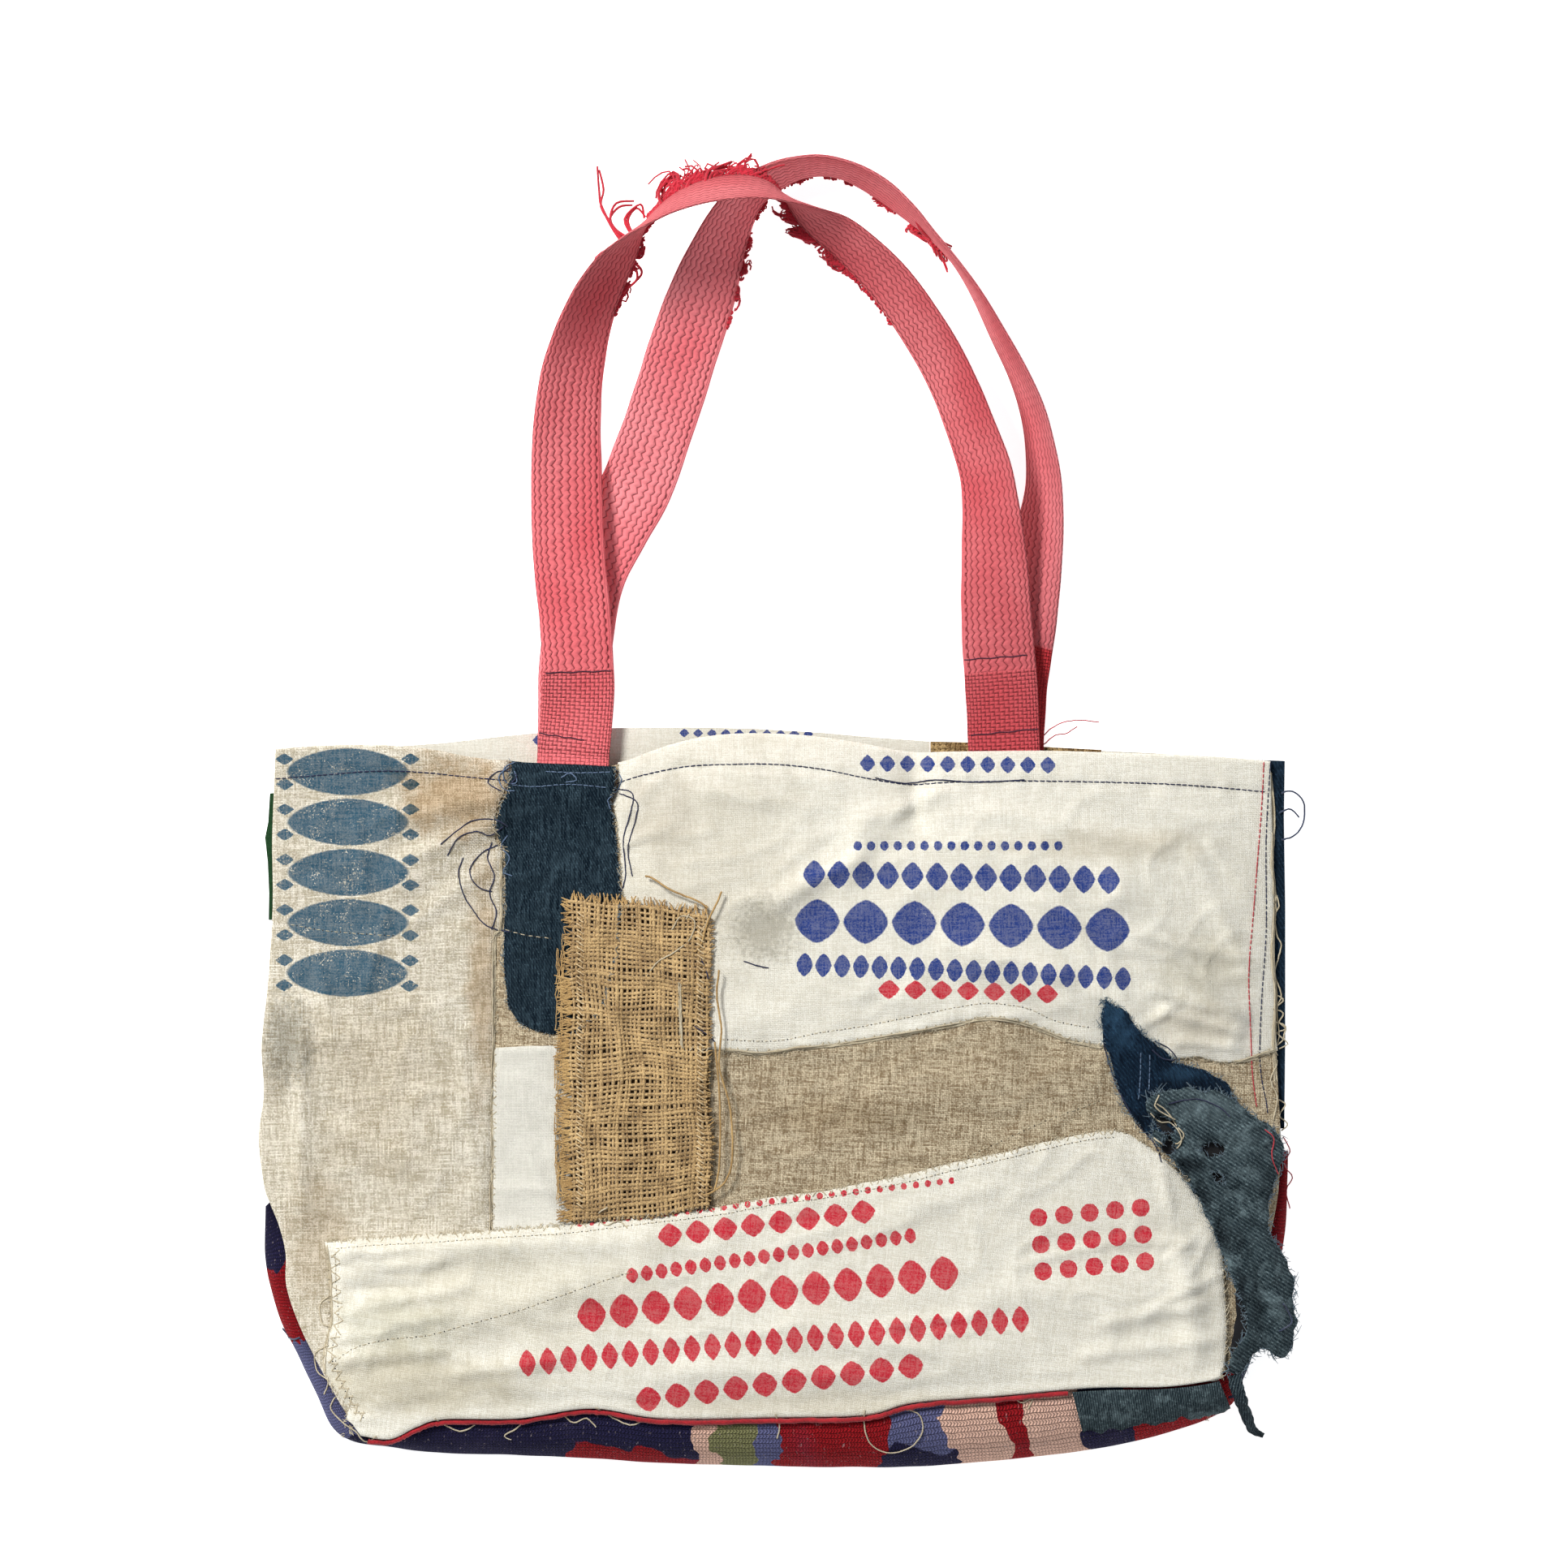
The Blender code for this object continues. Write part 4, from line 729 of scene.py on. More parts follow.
def mixed(tree, share, first, second, blend="MIX"):
    """Colour output of a Mix node."""
    made = node(tree, "ShaderNodeMix", data_type="RGBA", blend_type=blend, clamp_factor=True)
    for socket, value in ((made.inputs[0], share), (made.inputs[6], first), (made.inputs[7], second)):
        if isinstance(value, bpy.types.NodeSocket):
            tree.links.new(value, socket)
        else:
            socket.default_value = value
    return made.outputs[2]


def spread(tree, value, low, high, start=0.0, end=1.0):
    """Value stretched smoothly from one range to another."""
    made = node(
        tree, "ShaderNodeMapRange", {0: value, 1: low, 2: high, 3: start, 4: end},
        interpolation_type="SMOOTHSTEP"
    )
    return made.outputs[0]


def speckle(tree, vector, scale, detail=2.0, rough=0.5):
    """Noise value at a scale in millimetres."""
    made = node(
        tree, "ShaderNodeTexNoise",
        {"Vector": vector, "Scale": 1.0 / scale, "Detail": detail, "Roughness": rough}
    )
    return made.outputs["Fac"]


def stretched(tree, vector, scale):
    """Vector scaled by its own three factors."""
    made = node(tree, "ShaderNodeVectorMath", {0: vector, 1: scale}, operation="MULTIPLY")
    return made.outputs[0]


def group_start(name, inputs, outputs):
    """Empty shader group with its sockets: the group, what it is given and what it gives."""
    group = bpy.data.node_groups.new(name, "ShaderNodeTree")
    for label, value in inputs.items():
        kind = "NodeSocketFloat" if isinstance(value, float) else "NodeSocketVector"
        socket = group.interface.new_socket(label, in_out="INPUT", socket_type=kind)
        if value is not None:
            socket.default_value = value
    for label in outputs:
        group.interface.new_socket(label, in_out="OUTPUT", socket_type="NodeSocketFloat")
    return group, group.nodes.new("NodeGroupInput").outputs, group.nodes.new("NodeGroupOutput").inputs


def plain_weave_group():
    """Over-and-under weave with slubby threads, in millimetres."""
    group, given, out = group_start(
        "plain_weave",
        {"Vector": None, "Pitch": 0.6, "Waver": 0.3, "Slub Length": 9.0},
        ("Height", "Tone", "Gap"),
    )
    parts = node(group, "ShaderNodeSeparateXYZ", {0: given["Vector"]})
    drift = node(group, "ShaderNodeTexNoise", {"Vector": given["Vector"], "Scale": 0.16, "Detail": 2.0})
    drifts = node(group, "ShaderNodeSeparateColor", {0: drift.outputs["Color"]})
    axes = []
    for axis in (0, 1):
        shift = maths(group, "MULTIPLY", maths(group, "SUBTRACT", drifts.outputs[axis], 0.5), given["Waver"])
        place = maths(group, "ADD", parts.outputs[axis], shift)
        axes.append(maths(group, "DIVIDE", place, given["Pitch"]))
    steps = [maths(group, "FLOOR", value) for value in axes]
    rounds = [
        maths(
            group, "SINE", maths(group, "MULTIPLY", maths(group, "FRACT", value), math.pi)
        ) for value in axes
    ]
    over = maths(group, "FLOORED_MODULO", maths(group, "ADD", steps[0], steps[1]), 2.0)
    slow = maths(group, "DIVIDE", 1.0, given["Slub Length"])
    slubs = []
    for axis in (0, 1):
        along = maths(group, "MULTIPLY", parts.outputs[1 - axis], slow)
        spot = node(
            group, "ShaderNodeCombineXYZ",
            {0: maths(group, "MULTIPLY", steps[axis], 3.7), 1: along, 2: axis * 9.0}
        )
        slubs.append(speckle(group, spot.outputs[0], 1.0, 1.0))
    flat = [maths(group, "MULTIPLY_ADD", value, 0.4, 0.6) for value in rounds]
    warp = maths(group, "MULTIPLY", rounds[0], flat[1])
    weft = maths(group, "MULTIPLY", rounds[1], flat[0])
    height = node(group, "ShaderNodeMix", {0: over, 2: weft, 3: warp}, data_type="FLOAT").outputs[0]
    upper = node(group, "ShaderNodeMix", {0: over, 2: slubs[1], 3: slubs[0]}, data_type="FLOAT").outputs[0]
    tone = maths(
        group, "MULTIPLY_ADD", maths(group, "ADD", *slubs), 0.38, maths(group, "MULTIPLY", upper, 0.24)
    )
    hole = maths(group, "SUBTRACT", 1.0, maths(group, "MAXIMUM", rounds[0], rounds[1]))
    links = group.links
    links.new(maths(group, "ADD", height, maths(group, "MULTIPLY", tone, 0.8)), out["Height"])
    links.new(tone, out["Tone"])
    links.new(spread(group, hole, 0.35, 0.8), out["Gap"])
    return group


def twill_group():
    """Denim: diagonal lines of dark warp over pale weft, with uneven yarns."""
    group, given, out = group_start(
        "denim_twill",
        {"Vector": None, "Pitch": 0.75, "Wear": 0.3},
        ("Height", "Pale"),
    )
    parts = node(group, "ShaderNodeSeparateXYZ", {0: given["Vector"]})
    across = maths(group, "DIVIDE", parts.outputs[0], given["Pitch"])
    up = maths(group, "DIVIDE", parts.outputs[1], given["Pitch"])
    slant = maths(group, "FRACT", maths(group, "ADD", across, maths(group, "MULTIPLY", up, 0.55)))
    ridge = maths(group, "SINE", maths(group, "MULTIPLY", slant, math.pi))
    yarn = speckle(group, stretched(group, given["Vector"], (2.2, 0.06, 1.0)), 1.0, 2.0)
    weft = speckle(group, stretched(group, given["Vector"], (0.5, 1.1, 1.0)), 1.0, 2.0)
    rub = speckle(group, given["Vector"], 8.0, 4.0, 0.7)
    fleck = maths(group, "MULTIPLY_ADD", ridge, -0.86, 1.0)
    spots = spread(
        group,
        maths(
            group, "ADD", weft,
            maths(group, "MULTIPLY", speckle(group, given["Vector"], 1.2, 2.0, 0.7), 0.6)
        ),
        0.84, 1.0
    )
    fleck = maths(group, "MULTIPLY", fleck, maths(group, "MULTIPLY_ADD", spots, 0.62, 0.38))
    worn = maths(
        group, "MULTIPLY", spread(group, rub, 0.50, 0.66), maths(group, "MULTIPLY", given["Wear"], 0.7)
    )
    pale = maths(
        group, "ADD",
        maths(group, "MULTIPLY", fleck, maths(group, "MULTIPLY_ADD", given["Wear"], 1.5, 0.30)), worn
    )
    pale = maths(
        group, "ADD", pale, maths(group, "MULTIPLY", maths(group, "SUBTRACT", yarn, 0.5), 0.62), clamp=True
    )
    group.links.new(maths(group, "ADD", ridge, maths(group, "MULTIPLY", yarn, 0.9)), out["Height"])
    group.links.new(pale, out["Pale"])
    return group


def print_row_group():
    """A printed row of rounded or pointed shapes along a gently bent line, worn through to the cloth."""
    group, given, out = group_start(
        "print_row",
        {"Vector": None, "Start": (0.0, 0.0, 0.0), "Turn": 0.0, "Length": 100.0, "Bend": 0.0,
         "Step": 10.0, "Half Width": 4.0, "Half Height": 4.0, "Roundness": 1.0, "Wear": 0.2},
        ("Mask",),
    )
    moved = node(group, "ShaderNodeVectorMath", {0: given["Vector"], 1: given["Start"]}, operation="SUBTRACT")
    turned = node(
        group, "ShaderNodeVectorRotate", {
            "Vector": moved.outputs[0], "Angle": maths(group, "MULTIPLY", given["Turn"], -1.0)
        },
        rotation_type="Z_AXIS",
    )
    wobble = node(group, "ShaderNodeTexNoise", {"Vector": given["Vector"], "Scale": 0.9, "Detail": 2.0})
    soft = node(
        group, "ShaderNodeVectorMath", {0: wobble.outputs["Color"], 1: (0.5, 0.5, 0.5)}, operation="SUBTRACT"
    )
    rough = node(
        group, "ShaderNodeVectorMath", {0: soft.outputs[0], 1: (0.9, 0.9, 0.9), 2: turned.outputs[0]},
        operation="MULTIPLY_ADD",
    )
    parts = node(group, "ShaderNodeSeparateXYZ", {0: rough.outputs[0]})
    along, aside = parts.outputs[0], parts.outputs[1]
    share = maths(group, "SUBTRACT", maths(group, "DIVIDE", along, given["Length"]), 0.5)
    dip = maths(
        group, "MULTIPLY", maths(group, "SUBTRACT", 0.25, maths(group, "MULTIPLY", share, share)),
        given["Bend"]
    )
    aside = maths(group, "SUBTRACT", aside, maths(group, "MULTIPLY", dip, 4.0))
    cell = maths(group, "SUBTRACT", maths(group, "FRACT", maths(group, "DIVIDE", along, given["Step"])), 0.5)
    cell = maths(group, "ABSOLUTE", maths(group, "MULTIPLY", cell, given["Step"]))
    wide = maths(group, "POWER", maths(group, "DIVIDE", cell, given["Half Width"]), given["Roundness"])
    tall = maths(group, "ABSOLUTE", aside)
    tall = maths(group, "POWER", maths(group, "DIVIDE", tall, given["Half Height"]), given["Roundness"])
    reach = maths(group, "ADD", wide, tall)
    inked = spread(group, reach, 0.94, 1.06, 1.0, 0.0)
    within = maths(group, "LESS_THAN", maths(group, "ABSOLUTE", share), 0.5)
    inked = maths(group, "MULTIPLY", inked, within)
    grain = speckle(group, given["Vector"], 0.85, 2.0, 0.65)
    patchy = speckle(group, given["Vector"], 9.0, 2.0)
    bare = maths(group, "ADD", grain, maths(group, "MULTIPLY", maths(group, "SUBTRACT", patchy, 0.5), 0.5))
    limit = maths(group, "SUBTRACT", 0.86, maths(group, "MULTIPLY", given["Wear"], 0.5))
    kept = spread(group, maths(group, "SUBTRACT", bare, limit), -0.04, 0.10, 1.0, 0.12)
    group.links.new(maths(group, "MULTIPLY", inked, kept), out["Mask"])
    return group


def soft_mark_group():
    """An uneven soft-edged mark round a centre, used for stains, painted shade and painted highlights."""
    group, given, out = group_start(
        "stain",
        {"Vector": None, "Centre": (0.0, 0.0, 0.0), "Reach": (0.1, 0.1, 0.0), "Speck": 4.0},
        ("Mask",),
    )
    moved = node(
        group, "ShaderNodeVectorMath", {0: given["Vector"], 1: given["Centre"]}, operation="SUBTRACT"
    )
    scaled = node(
        group, "ShaderNodeVectorMath", {0: moved.outputs[0], 1: given["Reach"]}, operation="MULTIPLY"
    )
    far = node(group, "ShaderNodeVectorMath", {0: scaled.outputs[0]}, operation="LENGTH").outputs["Value"]
    blot = node(
        group, "ShaderNodeTexNoise",
        {
            "Vector": given["Vector"], "Scale": maths(group, "DIVIDE", 1.0, given["Speck"]), "Detail": 4.0,
            "Roughness": 0.65
        },
    ).outputs["Fac"]
    edge = maths(group, "ADD", far, maths(group, "MULTIPLY", maths(group, "SUBTRACT", blot, 0.5), 1.5))
    group.links.new(spread(group, edge, 0.25, 1.1, 1.0, 0.0), out["Mask"])
    return group


def rib_group():
    """Ribs of cotton webbing that run along it in a fine zigzag, with a plain beaded selvage on one side."""
    group, given, out = group_start(
        "webbing_rib",
        {"Vector": None, "Rib": 2.8, "Pick": 3.9, "Swing": 0.38, "Selvage": 4.6},
        ("Height", "Tone"),
    )
    drift = node(group, "ShaderNodeTexNoise", {"Vector": given["Vector"], "Scale": 0.14, "Detail": 2.0})
    moved = node(
        group, "ShaderNodeVectorMath", {0: drift.outputs["Color"], 1: (1.6, 3.2, 0.0), 2: given["Vector"]},
        operation="MULTIPLY_ADD",
    )
    parts = node(group, "ShaderNodeSeparateXYZ", {0: moved.outputs[0]})
    picks = maths(group, "DIVIDE", parts.outputs[1], maths(group, "MULTIPLY", given["Pick"], 0.5))
    zigzag = maths(group, "PINGPONG", picks, 1.0)
    across = maths(group, "DIVIDE", parts.outputs[0], given["Rib"])
    across = maths(group, "ADD", across, maths(group, "MULTIPLY", zigzag, given["Swing"]))
    rib = maths(group, "SINE", maths(group, "MULTIPLY", maths(group, "FRACT", across), math.pi))
    knuckle = maths(group, "MULTIPLY_ADD", zigzag, 0.30, 0.70)
    ribbed = maths(group, "MULTIPLY", maths(group, "POWER", rib, 0.55), knuckle)
    off = maths(group, "ABSOLUTE", maths(group, "SUBTRACT", parts.outputs[0], given["Selvage"]))
    beads = maths(
        group, "MULTIPLY", spread(group, off, 0.35, 0.85, 1.0, 0.0), spread(group, zigzag, 0.35, 0.75)
    )
    edge = maths(
        group, "SINE",
        maths(
            group, "MULTIPLY", maths(group, "FRACT", maths(group, "DIVIDE", parts.outputs[0], 1.5)), math.pi
        )
    )
    edge = maths(group, "MULTIPLY_ADD", edge, 0.25, 0.65)
    plain = maths(group, "LESS_THAN", parts.outputs[0], given["Selvage"])
    height = node(group, "ShaderNodeMix", {0: plain, 2: ribbed, 3: edge}, data_type="FLOAT").outputs[0]
    height = maths(group, "SUBTRACT", height, maths(group, "MULTIPLY", beads, 0.5))
    fuzz = speckle(group, given["Vector"], 0.9, 2.0, 0.7)
    group.links.new(maths(group, "ADD", height, maths(group, "MULTIPLY", fuzz, 0.3)), out["Height"])
    group.links.new(maths(group, "ADD", height, maths(group, "MULTIPLY", fuzz, 0.35)), out["Tone"])
    return group


def chain_stitch_group():
    """Rows of looped wool stitches."""
    group, given, out = group_start(
        "chain_stitch",
        {"Vector": None, "Row": 2.6, "Loop": 2.2},
        ("Height", "Tone"),
    )
    drift = node(group, "ShaderNodeTexNoise", {"Vector": given["Vector"], "Scale": 0.12, "Detail": 1.0})
    moved = node(
        group, "ShaderNodeVectorMath", {0: drift.outputs["Color"], 1: (2.0, 1.6, 0.0), 2: given["Vector"]},
        operation="MULTIPLY_ADD",
    )
    parts = node(group, "ShaderNodeSeparateXYZ", {0: moved.outputs[0]})
    down = maths(group, "DIVIDE", parts.outputs[1], given["Row"])
    line = maths(group, "ABSOLUTE", maths(group, "SUBTRACT", maths(group, "FRACT", down), 0.5))
    vee = maths(
        group, "ADD", maths(group, "DIVIDE", parts.outputs[0], given["Loop"]),
        maths(group, "MULTIPLY", line, 1.2)
    )
    loops = maths(group, "SINE", maths(group, "MULTIPLY", maths(group, "FRACT", vee), math.pi))
    seam = spread(group, line, 0.5, 0.36)
    height = maths(group, "MULTIPLY", maths(group, "POWER", loops, 0.6), seam)
    wool = speckle(group, given["Vector"], 0.8, 3.0, 0.7)
    group.links.new(maths(group, "ADD", height, maths(group, "MULTIPLY", wool, 0.5)), out["Height"])
    group.links.new(
        maths(group, "ADD", maths(group, "MULTIPLY", height, 0.7), maths(group, "MULTIPLY", wool, 0.6)),
        out["Tone"]
    )
    return group


GROUPS = {}
GROUP_MAKERS = {
    "plain_weave": plain_weave_group, "denim_twill": twill_group, "print_row": print_row_group,
    "stain": soft_mark_group, "webbing_rib": rib_group, "chain_stitch": chain_stitch_group,
}


def effect(tree, name, inputs):
    """Outputs of a shared effect placed in a material with its own values."""
    if name not in GROUPS:
        GROUPS[name] = GROUP_MAKERS[name]()
    return node(tree, "ShaderNodeGroup", inputs, node_tree=GROUPS[name]).outputs


def new_material(name, roughness, sheen=0.0):
    """Material with its shader: the material, its tree and the shader node."""
    material = bpy.data.materials.new(name)
    material.use_nodes = True
    tree = material.node_tree
    shader = tree.nodes["Principled BSDF"]
    shader.inputs["Roughness"].default_value = roughness
    shader.inputs["Specular IOR Level"].default_value = 0.12
    shader.inputs["Sheen Weight"].default_value = sheen
    shader.inputs["Sheen Roughness"].default_value = 0.6
    return material, tree, shader


def plan_mm(tree, turn=0.0, scale=1000.0):
    """Object coordinates in millimetres, turned to the cloth's grain."""
    spot = node(tree, "ShaderNodeTexCoord").outputs["Object"]
    made = node(
        tree, "ShaderNodeMapping", {"Vector": spot, "Scale": (scale,) * 3, "Rotation": (0.0, 0.0, turn)}
    )
    return made.outputs[0]


def cloth_mm(tree, scale=(1.0, 1.0, 1.0)):
    """The strip's own millimetres along its cloth."""
    spot = node(tree, "ShaderNodeUVMap", uv_map="cloth_mm").outputs[0]
    return node(tree, "ShaderNodeMapping", {"Vector": spot, "Scale": scale}).outputs[0]


def bumped(tree, shader, height, distance, strength=1.0):
    """Feed a height to the shader's normal."""
    made = node(tree, "ShaderNodeBump", {"Height": height, "Distance": distance * MM, "Strength": strength})
    tree.links.new(made.outputs[0], shader.inputs["Normal"])


def weave_material(
    name, base, shade, pitch, turn=0.0, depth=0.25, contrast=0.5, rows=(), stains_and_shade=(), wear=0.2
):
    """Plain-woven sack cloth, linen or cotton, with printed rows, stains and painted shade."""
    material, tree, shader = new_material(name, 0.95)
    spot = plan_mm(tree, turn)
    flat = plan_mm(tree)
    weave = effect(
        tree, "plain_weave", {"Vector": spot, "Pitch": pitch, "Waver": pitch * 1.2, "Slub Length": 11.0}
    )
    cross = effect(
        tree, "plain_weave", {"Vector": spot, "Pitch": pitch * 1.9, "Waver": 2.0, "Slub Length": 6.0}
    )
    grain = speckle(tree, flat, 0.8, 3.0, 0.75)
    tone = maths(
        tree, "ADD", maths(tree, "MULTIPLY", weave["Tone"], 0.44),
        maths(tree, "MULTIPLY", cross["Tone"], 0.08)
    )
    tone = maths(tree, "ADD", tone, maths(tree, "MULTIPLY", grain, 0.48))
    tone = spread(tree, tone, 0.41, 0.59)
    colour = mixed(tree, maths(tree, "MULTIPLY", tone, contrast), linear(base), linear(shade))
    holes = maths(tree, "MULTIPLY", weave["Gap"], contrast * 0.9)
    colour = mixed(tree, holes, colour, linear([value * 0.72 for value in shade]))
    mottle = speckle(tree, flat, 34.0, 3.0)
    colour = mixed(
        tree, maths(tree, "MULTIPLY", spread(tree, mottle, 0.45, 0.75), 0.15), colour, linear(shade)
    )
    for ink, start, turned, length, bend, step, half_wide, half_high, roundness in rows:
        mask = effect(tree, "print_row", {
            "Vector": flat, "Start": (*start, 0.0), "Turn": turned, "Length": length, "Bend": bend,
            "Step": step,
            "Half Width": half_wide, "Half Height": half_high, "Roundness": roundness, "Wear": wear,
        })["Mask"]
        tinted = mixed(tree, maths(tree, "MULTIPLY", tone, 0.13), linear(ink), linear(base))
        colour = mixed(tree, mask, colour, tinted)
    # Soft darker marks: stains, and painted shade at some places
    for tint, centre, reach, speck, weight in stains_and_shade:
        mask = effect(tree, "stain", {
            "Vector": flat, "Centre": (*centre, 0.0), "Reach": (
                1.0 / reach[0], 1.0 / reach[1], 0.0
            ), "Speck": speck,
        })["Mask"]
        colour = mixed(tree, maths(tree, "MULTIPLY", mask, weight), colour, linear(tint), "MULTIPLY")
    tree.links.new(colour, shader.inputs["Base Color"])
    height = maths(
        tree, "ADD", maths(tree, "MULTIPLY", weave["Height"], 0.6),
        maths(tree, "MULTIPLY", cross["Tone"], 0.9)
    )
    height = maths(tree, "ADD", height, maths(tree, "MULTIPLY", grain, 1.2))
    bumped(tree, shader, height, depth)
    return material


def denim_material(name, dark, pale, wear, turn=0.0, own=False, painted_shades=(), lights=(), pitch=1.7):
    """Indigo denim, from dark to rubbed pale, with painted shade and painted highlights as soft marks at
    given places.
    """
    material, tree, shader = new_material(name, 0.95)
    spot = plan_mm(tree, turn)
    if own:
        spot = node(
            tree, "ShaderNodeMapping", {"Vector": cloth_mm(tree), "Rotation": (0.0, 0.0, turn)}
        ).outputs[0]
    twill = effect(tree, "denim_twill", {"Vector": spot, "Pitch": pitch, "Wear": wear})
    colour = mixed(tree, twill["Pale"], linear(dark), linear(pale))
    blot = speckle(tree, spot, 21.0, 3.0)
    colour = mixed(
        tree, maths(tree, "MULTIPLY", spread(tree, blot, 0.5, 0.75), 0.16), colour,
        linear([v * 0.6 for v in dark])
    )
    # Painted highlights are mixed toward the pale colour and painted shade is multiplied in, each as a soft
    # mark
    for marks, tint, blend in ((lights, linear(pale), "MIX"), (painted_shades, (0.16, 0.17, 0.20, 1.0), "MULTIPLY")):
        for centre, reach, weight in marks:
            mask = effect(tree, "stain", {
                "Vector": plan_mm(tree), "Centre": (*centre, 0.0), "Reach": (
                    1.0 / reach[0], 1.0 / reach[1], 0.0
                ),
                "Speck": 3.0,
            })["Mask"]
            colour = mixed(tree, maths(tree, "MULTIPLY", mask, weight), colour, tint, blend)
    tree.links.new(colour, shader.inputs["Base Color"])
    bumped(tree, shader, twill["Height"], 0.5)
    return material


def yarn_material(name, light, dark, scale=1.6):
    """Spun yarn or sewing thread with streaks along it."""
    material, tree, shader = new_material(name, 0.85, 0.2)
    spot = plan_mm(tree)
    patch = speckle(tree, spot, scale * 5.0, 2.0)
    fibre = speckle(tree, stretched(tree, spot, (1.0, 1.0, 2.0)), scale * 0.35, 3.0, 0.7)
    tone = maths(tree, "ADD", maths(tree, "MULTIPLY", patch, 0.3), maths(tree, "MULTIPLY", fibre, 0.7))
    colour = mixed(tree, spread(tree, tone, 0.35, 0.65), linear(light), linear(dark))
    tree.links.new(colour, shader.inputs["Base Color"])
    bumped(tree, shader, fibre, 0.2)
    return material


def webbing_material(name, light, deep, seams, foot_dye_and_shade, foot_share, painted_shades):
    """Cotton webbing with herringbone ribs, sun-faded along its length, deeper below its seams, with painted
    shade multiplied in along its length; the rear handle's deep foot colour is painted shade.
    """
    material, tree, shader = new_material(name, 0.95)
    spot = cloth_mm(tree)
    parts = node(tree, "ShaderNodeSeparateXYZ", {0: spot})
    along = parts.outputs[1]
    ribs = effect(tree, "webbing_rib", {"Vector": spot})
    waffle = effect(tree, "plain_weave", {"Vector": spot, "Pitch": 1.7, "Waver": 0.7, "Slub Length": 6.0})
    foot = maths(
        tree, "ADD", spread(tree, along, seams[0] - 1.0, seams[0] + 1.0, 1.0, 0.0),
        spread(tree, along, seams[1] - 1.0, seams[1] + 1.0),
    )
    fade = speckle(tree, stretched(tree, spot, (0.02, 0.013, 1.0)), 1.0, 3.0)
    faded = mixed(tree, spread(tree, fade, 0.3, 0.7), linear(light), linear(deep))
    rubbed = maths(tree, "MULTIPLY", spread(tree, speckle(tree, spot, 3.0, 3.0, 0.7), 0.45, 0.75), 0.3)
    faded = mixed(tree, rubbed, faded, linear([value * 0.82 for value in deep]))
    tone = node(
        tree, "ShaderNodeMix", {0: foot, 2: ribs["Tone"], 3: waffle["Height"]}, data_type="FLOAT"
    ).outputs[0]
    height = node(
        tree, "ShaderNodeMix", {0: foot, 2: ribs["Height"], 3: waffle["Height"]}, data_type="FLOAT"
    ).outputs[0]
    shade = mixed(tree, spread(tree, tone, 0.80, 0.35), faded, linear([value * 0.78 for value in deep]))
    colour = mixed(tree, maths(tree, "MULTIPLY", foot, foot_share), shade, linear(foot_dye_and_shade), "MULTIPLY")
    # A grey ramp along the handle multiplies in painted shade
    ramp = node(tree, "ShaderNodeValToRGB", {0: maths(tree, "DIVIDE", along, painted_shades[-1][0])})
    ramp.color_ramp.elements.remove(ramp.color_ramp.elements[1])
    for distance, grey in painted_shades:
        point = ramp.color_ramp.elements.new(
            distance / painted_shades[-1][0]
        ) if distance else ramp.color_ramp.elements[0]
        point.color = linear((grey, grey, grey))
    colour = mixed(tree, 1.0, colour, ramp.outputs[0], "MULTIPLY")
    tree.links.new(colour, shader.inputs["Base Color"])
    bumped(tree, shader, height, 0.62)
    return material


def length_setting(name, description, value):
    """Length that can be set in the panel."""
    return FloatProperty(name=name, description=description, default=value, unit="LENGTH")


class ToteSizes(bpy.types.PropertyGroup):
    """Sizes that a maker would change."""

    webbing_width: length_setting("Webbing width", "Width of the handle webbing", 0.0325)
    webbing_thickness: length_setting("Webbing thickness", "Thickness of the handle webbing", 0.002)
    cotton_thickness: length_setting("Cotton thickness", "Thickness of the sack cloths", 0.0007)
    denim_thickness: length_setting("Denim thickness", "Thickness of the denim pieces", 0.0012)
    tapestry_thickness: length_setting("Band thickness", "Thickness of the wool bottom band", 0.0022)
    yarn_radius: length_setting("Burlap yarn radius", "Middle radius of a burlap yarn", 0.00075)
    stitch_length: length_setting("Stitch length", "Length of one sewn stitch", 0.0024)
    camera_height: length_setting("Camera height", "Height of the camera above the floor", 4.0)


def screen_colour(name, value):
    """Colour property shown as it is on screen."""
    return FloatVectorProperty(
        name=name, description=f"{name} colour", default=value, subtype="COLOR_GAMMA", size=3,
        min=0.0, max=1.0
    )


